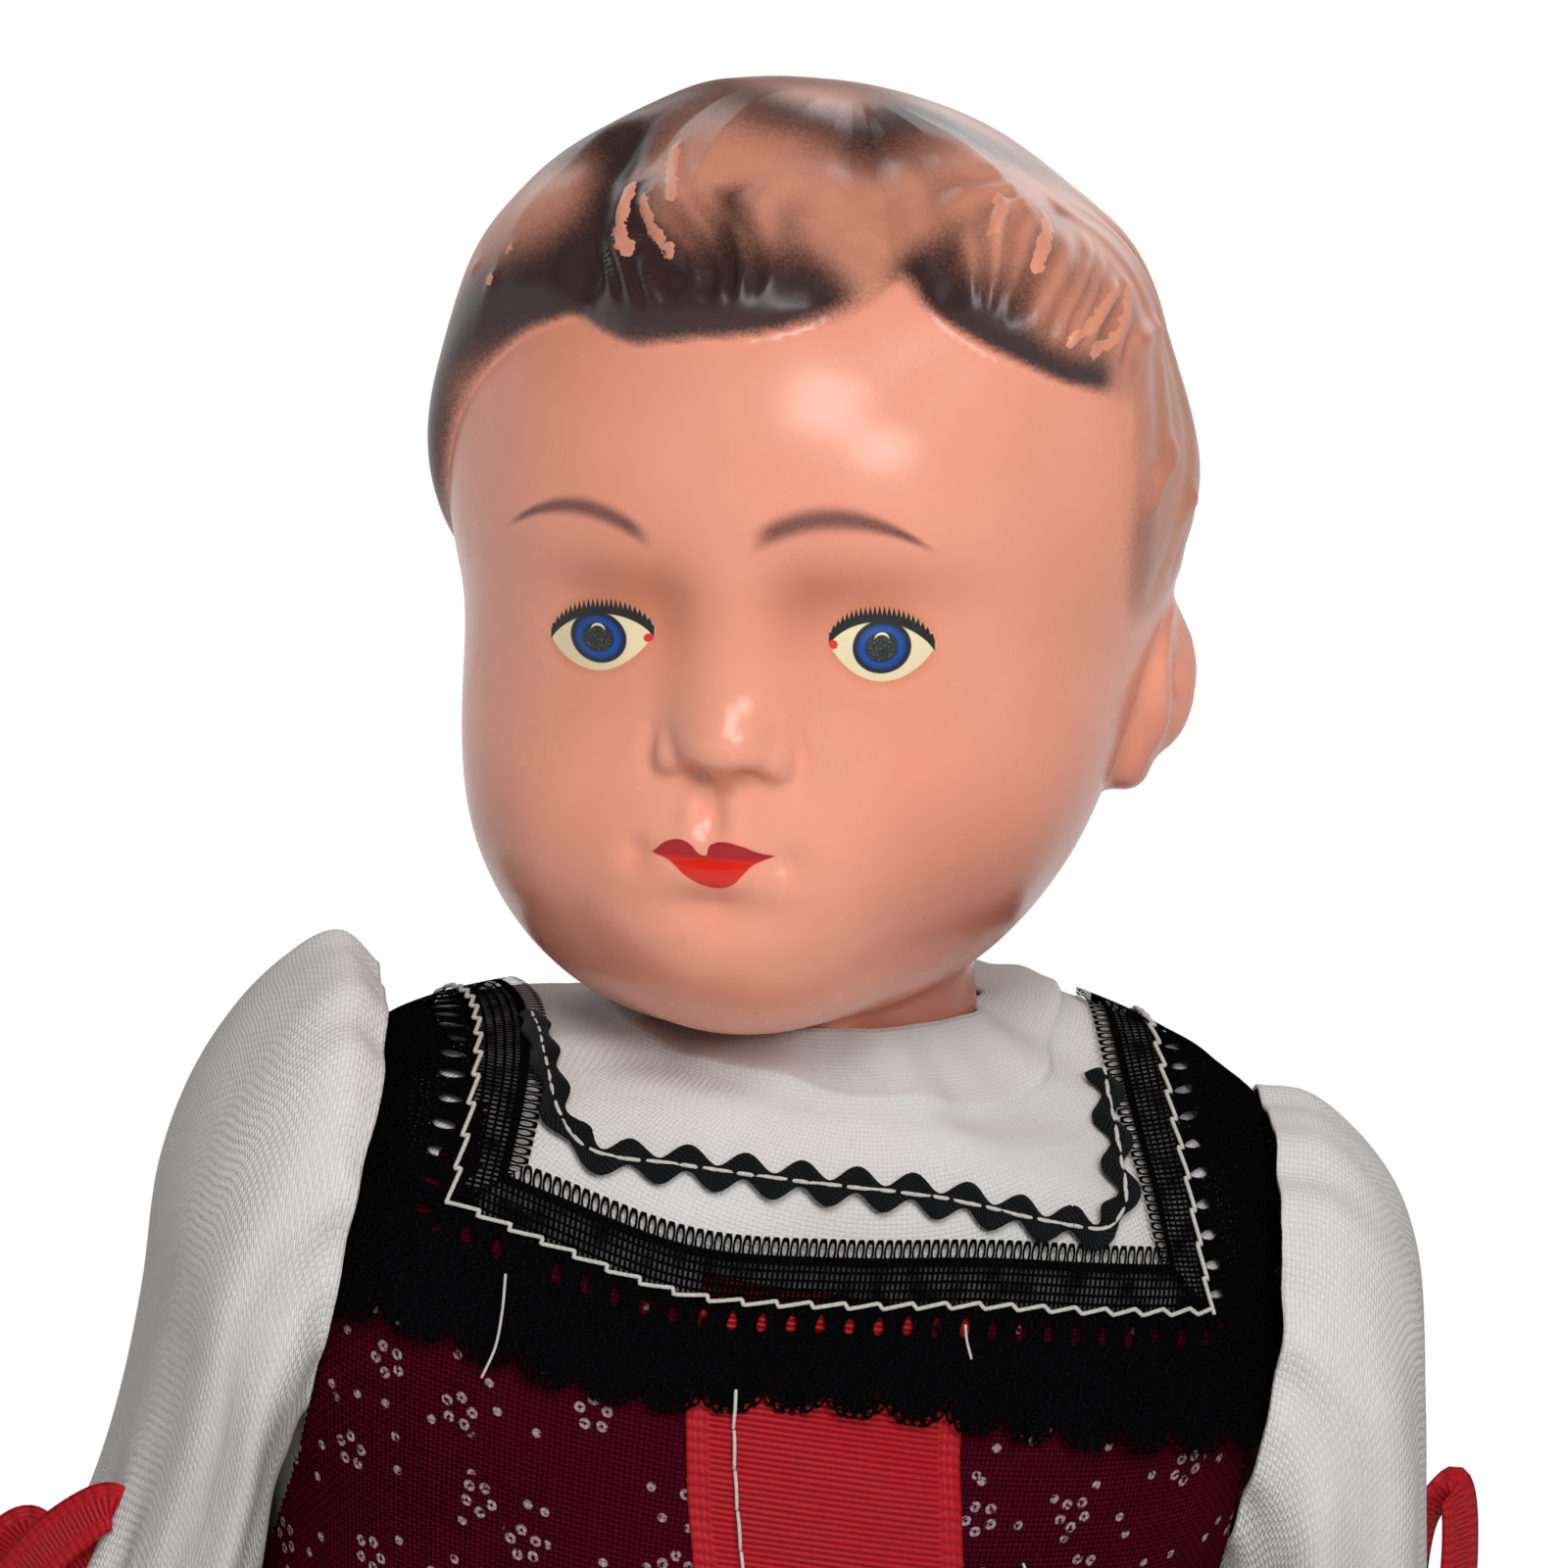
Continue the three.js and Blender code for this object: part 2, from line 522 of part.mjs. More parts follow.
/** A low shoe upper, cut open over the instep. */
function shoe() {
  const instep = new THREE.CylinderGeometry(1, 1, BEYOND, 24).rotateX(Math.PI / 2);
  instep.scale(FOOT_HALF_WIDTH * 0.8, FOOT_LENGTH * 0.3, 1);
  instep.translate(ANKLE_X, mix(HEEL_Y, TOE_Y, 0.44), SHOE_TOP - 6 + BEYOND / 2);
  return footForm(SHOE_OUT).subtract(lowerLeg(SHOE_IN)).intersect(SHOE_LOW).subtract(solid(instep));
}

/** The strap over the instep, standing on the shoe's edge. */
function shoeStrap() {
  const slice = box(
    vec(-BEYOND, STRAP_FRONT_Y, SHOE_TOP + SEAT_GAP),
    vec(BEYOND, STRAP_FRONT_Y + SHOE_STRAP, FOOT_BOTTOM_Z + 26));
  const over = lowerLeg(SHOE_OUT).subtract(lowerLeg(SHOE_IN));
  return over.intersect(slice);
}

/** The flat sole, a little larger than the shoe. */
function shoeSole() {
  const rim = SHOE_OUT + 0.6;
  const side = FOOT_SECTIONS.map((s) => [
    s.half * FOOT_HALF_WIDTH + rim, mix(HEEL_Y + rim, TOE_Y - rim, s.along)]);
  const outline = new THREE.Shape([
    ...side.map(([x, y]) => new THREE.Vector2(x, y)),
    ...side.reverse().map(([x, y]) => new THREE.Vector2(-x, y))]);
  const made = new THREE.ExtrudeGeometry(outline, { depth: SOLE_THICKNESS, bevelEnabled: false });
  return solid(made.translate(ANKLE_X, 0, 0));
}

/** A small round button turned about X. */
function shoeButton() {
  const thick = SHOE_BUTTON_RADIUS * 0.7;
  const made = turnedAlongX([[0, 0], [SHOE_BUTTON_RADIUS, 0], [SHOE_BUTTON_RADIUS * 0.9, thick * 0.7], [0, thick]], 12);
  const z = SHOE_TOP + SHOE_BUTTON_RADIUS + SEAT_GAP;
  const widest = FOOT_SECTIONS[3].half * FOOT_HALF_WIDTH + SHOE_OUT;
  return made.translate(ANKLE_X + widest + SEAT_GAP, STRAP_FRONT_Y + SHOE_STRAP / 2, z);
}

// Arms and sleeves, drawn for the doll's left and mirrored for its right
const ARM_START = vec(SHOULDER_FACE + SEAT_GAP + ARM_DOME_THICKNESS * 0.6, 0, SHOULDER_Z);
const upperArmWay = vec(Math.sin(radians(UPPER_ARM_OUT_DEG)), 0, -Math.cos(radians(UPPER_ARM_OUT_DEG)));
const forearmWay = vec(
  Math.sin(radians(FOREARM_OUT_DEG)),
  -Math.cos(radians(FOREARM_OUT_DEG)) * Math.sin(radians(ELBOW_BEND_DEG)),
  -Math.cos(radians(FOREARM_OUT_DEG)) * Math.cos(radians(ELBOW_BEND_DEG)));
const ELBOW = ARM_START.clone().addScaledVector(upperArmWay, UPPER_ARM);
const WRIST = ELBOW.clone().addScaledVector(forearmWay, FOREARM);
const KNUCKLES = WRIST.clone().addScaledVector(forearmWay, HAND);
const PALM_HALF = 8.2;
const PALM_THICK = 4.2;

/** One finger or thumb, tapering from its root. */
function digit(root, way, length, radius) {
  const at = (share, size) => ({ at: root.clone().addScaledVector(way, length * share), wide: size, deep: size });
  return limb([at(-0.35, radius), at(0.6, radius), at(1, radius * 0.55)], 6);
}

/** One arm with its hand, moulded in one with the turning dome at the shoulder. */
function arm() {
  const [r, t] = [ARM_DOME_RADIUS, ARM_DOME_THICKNESS];
  const dome = turnedAlongX([[0, 0], [r, 0], [r, t * 0.3], [r * 0.85, t * 0.68], [r * 0.5, t * 0.94], [0, t]], 12);
  const on = (from, way, length, wide, deep) => ({ at: from.clone().addScaledVector(way, length), wide, deep });
  const limbBody = limb([
    on(ARM_START, upperArmWay, 0, ARM_RADIUS * 0.85, ARM_RADIUS * 1.2),
    on(ARM_START, upperArmWay, UPPER_ARM * 0.4, ARM_RADIUS, ARM_RADIUS * 1.05),
    on(ARM_START, upperArmWay, UPPER_ARM * 0.85, ARM_RADIUS * 0.95, ARM_RADIUS),
    on(ELBOW, forearmWay, FOREARM * 0.12, ARM_RADIUS * 0.95, ARM_RADIUS),
    on(ELBOW, forearmWay, FOREARM * 0.5, ARM_RADIUS * 0.9, ARM_RADIUS * 0.9),
    on(ELBOW, forearmWay, FOREARM * 0.95, WRIST_RADIUS * 0.9, WRIST_RADIUS),
    on(WRIST, forearmWay, HAND * 0.45, PALM_THICK * 1.05, PALM_HALF * 0.95),
    on(WRIST, forearmWay, HAND, PALM_THICK * 0.8, PALM_HALF),
    on(WRIST, forearmWay, HAND * 1.12, PALM_THICK * 0.5, PALM_HALF * 0.8),
  ], 10);
  const sideways = forearmWay.clone().cross(vec(1, 0, 0).addScaledVector(forearmWay, -forearmWay.x).normalize());
  const fingers = [-1.5, -0.5, 0.5, 1.5].map((place) => digit(
    KNUCKLES.clone().addScaledVector(sideways, place * PALM_HALF * 0.5),
    forearmWay.clone().addScaledVector(sideways, place * 0.06).normalize(),
    FINGER * (1 - 0.08 * Math.abs(place)), PALM_HALF * 0.27));
  const thumbWay = forearmWay.clone().multiplyScalar(0.8).add(vec(-0.15, -0.6, 0)).normalize();
  const thumb = digit(WRIST.clone().addScaledVector(forearmWay, HAND * 0.5).add(vec(-1, -PALM_HALF * 0.8, 0)),
    thumbWay, FINGER * 0.95, PALM_HALF * 0.32);
  const turned = dome.translate(SHOULDER_FACE + SEAT_GAP, 0, SHOULDER_Z);
  return [limbBody, thumb, ...fingers].reduce((whole, piece) => whole.add(piece), turned);
}

const SLEEVE_SIDES = 16;
const TIE_HALF = ARM_RADIUS * 1.05 + 2 * SEAT_GAP + SLEEVE_CLOTH;

/** Sleeve sections { tilt, at, half, deep }: rings that lean from the armhole down to the tied cuff. */
function sleeveSections() {
  const fromArmpit = (tilt, out, down, half, deep) => {
    const lean = radians(tilt);
    const at = vec(SLEEVE_X + out + half * Math.sin(lean), 0, SHOULDER_Z - down + half * Math.cos(lean));
    return { tilt, at, half, deep };
  };
  const onArm = (reach, half) => ({
    tilt: 90 - UPPER_ARM_OUT_DEG, at: ARM_START.clone().addScaledVector(upperArmWay, reach), half, deep: half });
  const tie = SLEEVE_TIE_REACH;
  const ribbon = SLEEVE_RIBBON + 2 * SEAT_GAP;
  const armpit = ARM_DOME_RADIUS + 6;
  return [
    fromArmpit(0, 0, armpit, 21, SLEEVE_PUFF_DEPTH * 0.86),
    fromArmpit(9, 0.1, armpit + 1.5, 23.2, SLEEVE_PUFF_DEPTH * 0.95),
    fromArmpit(24, 0.2, armpit + 3, 19.4, SLEEVE_PUFF_DEPTH),
    fromArmpit(43, 0.3, armpit + 6, 13.6, SLEEVE_PUFF_DEPTH * 1.04),
    fromArmpit(64, 0.4, armpit + 11, 11, SLEEVE_PUFF_DEPTH),
    fromArmpit(78, 0.5, armpit + 18, 10.6, SLEEVE_PUFF_DEPTH * 0.82),
    onArm(tie - ribbon / 2, TIE_HALF),
    onArm(tie + ribbon / 2, TIE_HALF),
    onArm(tie + ribbon / 2 + SLEEVE_FRILL * 0.5, TIE_HALF + 3),
    onArm(tie + ribbon / 2 + SLEEVE_FRILL, TIE_HALF + 4.5),
  ];
}

/** A ring of a sleeve, thinned by a cloth's thickness, with shallow folds along its length. */
function sleeveRing(section, thin, fold) {
  const lean = radians(section.tilt);
  const up = vec(Math.sin(lean), 0, Math.cos(lean));
  return turns(SLEEVE_SIDES).map((a) => {
    const wave = 1 + fold * Math.cos(4 * a);
    return section.at.clone()
      .addScaledVector(vec(0, 1, 0), (section.deep - thin) * wave * Math.cos(a))
      .addScaledVector(up, (section.half - thin) * Math.sin(a));
  });
}

/** A puffed sleeve, gathered at its tie and open at its frill. */
function sleeve() {
  const folds = [0, 0.01, 0.02, 0.02, 0.025, 0.03, 0, 0, 0.03, 0.05];
  const rings = (thin) => sleeveSections().map((section, i) => sleeveRing(section, thin, folds[i]));
  return shell(rings(0), rings(SLEEVE_CLOTH));
}

const TIE_CENTRE = ARM_START.clone().addScaledVector(upperArmWay, SLEEVE_TIE_REACH);
const TIE_OUTWARD = vec(Math.cos(radians(UPPER_ARM_OUT_DEG)), 0, Math.sin(radians(UPPER_ARM_OUT_DEG)));

/** The ribbon tied round the gathered sleeve. */
function sleeveRibbon() {
  const inner = TIE_HALF + SEAT_GAP;
  const ring = (reach, half) => sleeveRing({
    tilt: 90 - UPPER_ARM_OUT_DEG, at: ARM_START.clone().addScaledVector(upperArmWay, reach), half, deep: half }, 0, 0);
  const ends = [SLEEVE_TIE_REACH - SLEEVE_RIBBON / 2, SLEEVE_TIE_REACH + SLEEVE_RIBBON / 2];
  return shell(ends.map((reach) => ring(reach, inner + RIBBON_CLOTH)), ends.map((reach) => ring(reach, inner)));
}

/** A bow of ribbon: two loops, two tails and a knot, drawn flat and stood on the outside of the sleeve. */
function sleeveBow() {
  const thick = RIBBON_CLOTH * 1.5;
  const loopAt = (inset, depth, start) => {
    const outline = new THREE.Shape();
    outline.absellipse(0, BOW_LOOP / 2, BOW_LOOP * 0.24 - inset, BOW_LOOP / 2 - inset, 0, 2 * Math.PI);
    const made = new THREE.ExtrudeGeometry(outline, { depth, bevelEnabled: false, curveSegments: 6 });
    return solid(made.translate(0, 0, start));
  };
  const ring = loopAt(0, BOW_RIBBON, 0).subtract(loopAt(thick, 3 * BOW_RIBBON, -BOW_RIBBON));
  const tail = solid(new THREE.BoxGeometry(thick, BOW_TAIL, BOW_RIBBON).translate(0, -BOW_TAIL / 2, BOW_RIBBON / 2));
  const knot = solid(new THREE.BoxGeometry(BOW_RIBBON, BOW_RIBBON, BOW_RIBBON * 1.1).translate(0, 0, BOW_RIBBON * 0.6));
  const spread = (half, turn, lean) => half.rotate([0, 0, turn]).rotate([lean, 0, 0]);
  const made = [spread(ring, 38, 32), spread(ring, -38, 32), spread(tail, 24, -32), spread(tail, -24, -32)]
    .reduce((whole, part) => whole.add(part), knot);
  const placed = new THREE.Matrix4().makeBasis(vec(0, 1, 0), upperArmWay.clone().negate(), TIE_OUTWARD);
  placed.setPosition(TIE_CENTRE.clone().addScaledVector(TIE_OUTWARD, TIE_HALF + 2 * SEAT_GAP + RIBBON_CLOTH));
  return solid(geometryOf(made).applyMatrix4(placed));
}

// Costume on the torso
const YOKE_BOTTOM_Z = TORSO_TOP_Z - YOKE_BOTTOM_DROP;
const LACE_BOTTOM_Z = TORSO_TOP_Z - LACE_BOTTOM_DROP;
const RICKRACK_Z = TORSO_TOP_Z - RICKRACK_DROP;
const YOKE_HALF = 33.5;
const YOKE_TOP_HALF = 24.5;
const LACE_TOP_HALF = 31.5;
const RICKRACK_HALF = 24.5;
const RICKRACK_TOP_HALF = 20.5;
const ABOVE_Z = TORSO_TOP_Z + 12;

/** The room that every garment leaves for the arms' turning domes. */
const ARM_ROOM = crossBar(ARM_DOME_RADIUS + 4 * SEAT_GAP, SHOULDER_Z, 10);

/** The yoke's outline, wider at its lower edge, grown by a margin. */
const yokeOutline = (grow) => throughY([
  [-YOKE_HALF - grow, YOKE_BOTTOM_Z - grow], [YOKE_HALF + grow, YOKE_BOTTOM_Z - grow],
  [YOKE_TOP_HALF + grow, ABOVE_Z], [-YOKE_TOP_HALF - grow, ABOVE_Z]]);

/** The blouse's body, from below the waist to the neck, with open armholes. */
const blouseBody = () => clothLayer(BLOUSE_IN, BLOUSE_OUT, WAIST_Z - 3, COLLAR_Z)
  .intersect(between(ARMHOLE_X)).subtract(BACK_OPENING).subtract(ARM_ROOM);

/** The white yoke inside the lace. */
const yoke = () => clothLayer(BODICE_IN, BODICE_OUT, YOKE_BOTTOM_Z - 6, COLLAR_Z)
  .intersect(yokeOutline(0)).subtract(BACK_OPENING);

/** The printed bodice below and outside the yoke. */
const bodice = () => clothLayer(BODICE_IN, BODICE_OUT, WAIST_Z - 2, TORSO_TOP_Z - 5)
  .intersect(between(ARMHOLE_X)).subtract(yokeOutline(SEAT_GAP)).subtract(ARM_ROOM);

/** The lace collar, a frame that lies over the seam of the yoke. */
function laceCollar() {
  const outer = throughY([
    [-ARMHOLE_X, LACE_BOTTOM_Z], [ARMHOLE_X, LACE_BOTTOM_Z], [LACE_TOP_HALF, ABOVE_Z], [-LACE_TOP_HALF, ABOVE_Z]]);
  const inward = -3;
  return clothLayer(TRIM_IN, LACE_OUT, LACE_BOTTOM_Z - 6, COLLAR_Z - 1.5)
    .intersect(outer).subtract(yokeOutline(inward)).subtract(BACK_OPENING).subtract(ARM_ROOM);
}

/** The wavy braid inside the yoke: a U with waves on both edges. */
function rickrack() {
  const corners = [
    vec(-RICKRACK_TOP_HALF, ABOVE_Z, 0), vec(-RICKRACK_HALF, RICKRACK_Z, 0),
    vec(RICKRACK_HALF, RICKRACK_Z, 0), vec(RICKRACK_TOP_HALF, ABOVE_Z, 0)];
  const path = new THREE.CurvePath();
  [0, 1, 2].forEach((i) => path.add(new THREE.LineCurve3(corners[i], corners[i + 1])));
  const waves = Math.round(path.getLength() / RICKRACK_WAVE);
  const count = waves * 2;
  const edge = (side) => steps(0, 1, count + 1).map((share, i) => {
    const way = path.getTangent(share);
    const swing = side * RICKRACK_WIDTH * 0.3 + RICKRACK_WIDTH * 0.35 * Math.cos(Math.PI * i);
    const at = path.getPoint(share);
    return [at.x + way.y * swing, at.y - way.x * swing];
  });
  return clothLayer(TRIM_IN, LACE_OUT, RICKRACK_Z - 6, COLLAR_Z - 1.5)
    .intersect(throughY([...edge(1), ...edge(-1).reverse()])).intersect(FRONT);
}

/** The gathered neck band that stands on the yoke round the neck. */
function neckBand() {
  const base = COLLAR_Z + BODICE_OUT * levelAt(COLLAR_Z).lift + SEAT_GAP;
  const inner = NECK_SEAT_RADIUS + 2 * SEAT_GAP;
  const ring = (z, radius, fold) => turns(24).map((a) => {
    const r = radius + fold * Math.cos(6 * a);
    return vec(r * Math.cos(a), r * Math.sin(a), z);
  });
  const top = base + COLLAR_HEIGHT;
  const outer = inner + COLLAR_CLOTH;
  return shell(
    [ring(base, outer + 1.5, 0.5), ring(top, outer - 0.4, 0.2)],
    [ring(base, inner, 0), ring(top, inner, 0)]).subtract(BACK_OPENING);
}

/** The ribbon down the front of the bodice. */
function frontRibbon() {
  const half = FRONT_RIBBON_WIDTH / 2;
  const strip = box(vec(-half, -BEYOND, 0), vec(half, 0, LACE_BOTTOM_Z - SEAT_GAP));
  return clothLayer(TRIM_IN, RIBBON_OUT, SKIRT_TOP_Z + SEAT_GAP, LACE_BOTTOM_Z).intersect(strip);
}

/** A button on the back of the bodice at a height. */
function backButton(z) {
  const [r, t] = [BUTTON_RADIUS, BUTTON_THICKNESS];
  const made = turnedAlongZ([[0, 0], [r * 0.9, 0], [r, t * 0.5], [r * 0.8, t], [r * 0.5, t * 0.8], [0, t * 0.8]], 10);
  const lean = Math.atan2(layerDepth(z - r, 0) - layerDepth(z + r, 0), 2 * r);
  const seat = Math.max(layerDepth(z - r, BODICE_OUT), layerDepth(z + r, BODICE_OUT), layerDepth(z, BODICE_OUT));
  return made.rotate([-90 + THREE.MathUtils.radToDeg(lean), 0, 0]).translate(0, seat + SEAT_GAP, z);
}

const SKIRT_TOP_Z = WAIST_Z + 3;
const SKIRT_SIDES = SKIRT_FOLDS * 4;
const SKIRT_FLARE = 0.9;

/** Half width and half depth of the skirt's middle line at a share of its fall. */
function skirtSpread(share) {
  const level = levelAt(WAIST_Z);
  const grown = share ** SKIRT_FLARE;
  return {
    halfWidth: mix(level.halfWidth + SKIRT_OUT, SKIRT_HEM_RADIUS, grown),
    halfDepth: mix(level.halfDepth + SKIRT_OUT, SKIRT_HEM_RADIUS, grown),
  };
}

/** A gathered ring of cloth under the waist, at a height and a distance in from the skirt's middle line. */
function gatheredRing(z, share, inward, fold) {
  const spread = skirtSpread(share);
  return turns(SKIRT_SIDES).map((a) => {
    const wave = fold * Math.cos(SKIRT_FOLDS * a) - inward;
    const [x, y] = rounded(a, spread.halfWidth + wave, spread.halfDepth + wave);
    return vec(x, y, z);
  });
}

const FALL = [0, 0.07, 0.25, 0.6, 1];

/** The gathered skirt. */
function skirt() {
  const rings = (thin) => [
    gatheredRing(SKIRT_TOP_Z, 0, thin, 0),
    ...FALL.map((share) => gatheredRing(WAIST_Z - share * SKIRT_LENGTH, share, thin, SKIRT_FOLD * share))].reverse();
  return shell(rings(0), rings(SKIRT_CLOTH));
}

/** The white petticoat under the skirt, which shows below its hem. */
function petticoat() {
  const top = WAIST_Z - 2 - SEAT_GAP;
  const long = SKIRT_LENGTH + PETTICOAT_DROP - (WAIST_Z - top);
  const rings = (thin) => FALL.map((share) => {
    const z = top - share * long;
    const beside = Math.min((WAIST_Z - z) / SKIRT_LENGTH, 1);
    const inward = SKIRT_CLOTH + 2 * SEAT_GAP + (SKIRT_FOLD + PETTICOAT_FOLD) * beside + thin;
    return gatheredRing(z, beside, inward, -PETTICOAT_FOLD * beside);
  }).reverse();
  return shell(rings(0), rings(PETTICOAT_CLOTH));
}

/** The ribbon round the waist, over the skirt's top. */
const waistband = () => clothLayer(
  WAISTBAND_IN, WAISTBAND_IN + RIBBON_CLOTH, WAIST_Z + SEAT_GAP, WAIST_Z + WAISTBAND_HEIGHT);

// Stringing inside the torso
const NECK_HOOK_DROP = 24;
const HOOK_BEND = 3.2;
const STRAND_Y = 7;
const HOOK_SEAT = vec(-HOOK_BEND * 1.6, 0, -NECK_HOOK_DROP).applyAxisAngle(vec(0, 1, 0), radians(HEAD_LEAN_DEG));

/** The neck hook: bent over the plug in the head, down through the neck, and up again in a hook. */
function neckHook() {
  const plugTop = NECK_FLOOR_Z + PLASTIC_WALL + SEAT_GAP + PLUG_THICKNESS + SEAT_GAP + HOOK_WIRE;
  const low = -NECK_HOOK_DROP;
  const curve = new THREE.CatmullRomCurve3([
    vec(0, 6, plugTop), vec(0, 2.5, plugTop), vec(0, 0.3, plugTop - 0.9), vec(0, 0, plugTop - 4), vec(0, 0, low + 9),
    vec(0, 0, low + HOOK_BEND), vec(-HOOK_BEND * 0.7, 0, low + 0.6), vec(-HOOK_BEND * 1.6, 0, low),
    vec(-HOOK_BEND * 2.5, 0, low + 0.8), vec(-HOOK_BEND * 3, 0, low + HOOK_BEND + 1)]);
  return tube(curve, HOOK_WIRE, 6, 18);
}

/** The wooden disc in the neck that the hook bears on. */
function neckPlug() {
  const hole = HOOK_WIRE * 1.8;
  const disc = new THREE.CylinderGeometry(PLUG_RADIUS, PLUG_RADIUS, PLUG_THICKNESS, 12).rotateX(Math.PI / 2);
  const bore = new THREE.CylinderGeometry(hole, hole, 3 * PLUG_THICKNESS, 8).rotateX(Math.PI / 2);
  return solid(disc).subtract(solid(bore)).translate(0, 0, NECK_FLOOR_Z + PLASTIC_WALL + SEAT_GAP + PLUG_THICKNESS / 2);
}

/** A loop of elastic round a limb hook's stem. */
function elasticLoop(x, z) {
  const ring = new THREE.TorusGeometry(HOOK_WIRE + SEAT_GAP + ELASTIC_RADIUS, ELASTIC_RADIUS, 5, 8);
  return solid(ring.rotateY(Math.PI / 2).translate(x, 0, z));
}

/** The elastic that draws the head and both legs to the torso. */
function bodyElastic() {
  const x = HIP_FACE - HOOK_LOOP_REACH;
  const loopTop = HIP_Z + HOOK_WIRE + SEAT_GAP + ELASTIC_RADIUS;
  const over = NECK_Z + HOOK_SEAT.z + HOOK_WIRE + 4 * SEAT_GAP + ELASTIC_RADIUS;
  const hookX = HOOK_SEAT.x;
  const curve = new THREE.CatmullRomCurve3([
    vec(-x, 0, loopTop), vec(-x + 1, -STRAND_Y, mix(loopTop, over, 0.3)), vec(hookX, -STRAND_Y, over - 9),
    vec(hookX, -STRAND_Y + 1.2, over - 1.2), vec(hookX, -3, over), vec(hookX, 3, over),
    vec(hookX, STRAND_Y - 1.2, over - 1.2), vec(hookX, STRAND_Y, over - 9),
    vec(x - 1, STRAND_Y, mix(loopTop, over, 0.3)), vec(x, 0, loopTop)]);
  return tube(curve, ELASTIC_RADIUS, 6, 24).add(elasticLoop(x, HIP_Z)).add(elasticLoop(-x, HIP_Z));
}

/** The elastic that draws both arms to the torso. */
function armElastic() {
  const x = SHOULDER_FACE - HOOK_LOOP_REACH;
  const z = SHOULDER_Z - HOOK_WIRE - SEAT_GAP - ELASTIC_RADIUS;
  const sag = z - 5;
  const curve = new THREE.CatmullRomCurve3([vec(-x, 0, z), vec(-x * 0.6, 0, sag), vec(x * 0.6, 0, sag), vec(x, 0, z)]);
  return tube(curve, ELASTIC_RADIUS, 6, 8).add(elasticLoop(x, SHOULDER_Z)).add(elasticLoop(-x, SHOULDER_Z));
}

// Materials, by what the piece is made of
const finish = (color, roughness, metalness = 0) => new THREE.MeshStandardMaterial({ color, roughness, metalness });
const SKIN = finish(0xe69a7c, 0.25);
const WHITE_COTTON = finish(0xe8e6e2, 0.9);
const BURGUNDY_COTTON = finish(0x4a0f20, 0.9);
const BLACK_LACE = finish(0x0c0c0e, 0.85);
const RED_RIBBON = finish(0xb81f24, 0.6);
const WHITE_KNIT = finish(0xeeece6, 0.95);
const BLACK_LEATHER = finish(0x151314, 0.35);
const SOLE_LEATHER = finish(0x5a3b25, 0.7);
const STEEL_WIRE = finish(0x9a9a9c, 0.35, 1);
const PLUG_WOOD = finish(0xb98d5a, 0.7);
const RUBBER_ELASTIC = finish(0xd8c7a5, 0.8);
const PEARL_BUTTON = finish(0xf0ede4, 0.3);

const doll = new THREE.Group();

/** Adds one named piece to a group. */
function piece(group, name, body, material) {
  const mesh = new THREE.Mesh(geometryOf(body), material);
  mesh.name = name;
  group.add(mesh);
}

// Torso and stringing
const torso = torsoShell();
piece(doll, 'torso_front', torso.intersect(FRONT), SKIN);
piece(doll, 'torso_back', torso.intersect(BACK), SKIN);
piece(doll, 'body_elastic', bodyElastic(), RUBBER_ELASTIC);
piece(doll, 'arm_elastic', armElastic(), RUBBER_ELASTIC);

// Costume
const bodiceCloth = bodice();
const beside = (sign) => box(
  vec(sign > 0 ? BACK_SLIT / 2 : -BEYOND, SEAT_GAP / 2, 0), vec(sign > 0 ? BEYOND : -BACK_SLIT / 2, BEYOND, 2 * BEYOND));
piece(doll, 'blouse_body', blouseBody(), WHITE_COTTON);
piece(doll, 'blouse_yoke', yoke(), WHITE_COTTON);
piece(doll, 'blouse_neck_band', neckBand(), WHITE_COTTON);
piece(doll, 'bodice_front', bodiceCloth.intersect(FRONT), BURGUNDY_COTTON);
piece(doll, 'bodice_back_left', bodiceCloth.intersect(beside(1)), BURGUNDY_COTTON);
piece(doll, 'bodice_back_right', bodiceCloth.intersect(beside(-1)), BURGUNDY_COTTON);
piece(doll, 'lace_collar', laceCollar(), BLACK_LACE);
piece(doll, 'rickrack_braid', rickrack(), BLACK_LACE);
piece(doll, 'front_ribbon', frontRibbon(), RED_RIBBON);
[0, 1, 2].forEach((i) => piece(
  doll, `back_button_${i + 1}`, backButton(LACE_BOTTOM_Z - 8 - i * BUTTON_SPACING), PEARL_BUTTON));
piece(doll, 'waistband_ribbon', waistband(), RED_RIBBON);
piece(doll, 'skirt', skirt(), BURGUNDY_COTTON);
piece(doll, 'petticoat', petticoat(), WHITE_COTTON);

// Head, turned and leaned on its ball neck
const head = new THREE.Group();
head.position.set(0, 0, NECK_Z);
head.rotation.set(0, radians(HEAD_LEAN_DEG), radians(HEAD_TURN_DEG), 'YZX');
const headWhole = headShell();
const headSeam = (low, high) => box(vec(-BEYOND, low, -BEYOND), vec(BEYOND, high, BEYOND));
piece(head, 'head_face', headWhole.intersect(headSeam(-BEYOND, HEAD_SEAM_Y - SEAT_GAP / 2)), SKIN);
piece(head, 'head_back', headWhole.intersect(headSeam(HEAD_SEAM_Y + SEAT_GAP / 2, BEYOND)), SKIN);
piece(head, 'neck_plug', neckPlug(), PLUG_WOOD);
doll.add(head);

const neck = new THREE.Group();
neck.position.set(0, 0, NECK_Z);
neck.rotation.set(0, radians(HEAD_LEAN_DEG), 0);
piece(neck, 'neck_hook', neckHook(), STEEL_WIRE);
doll.add(neck);

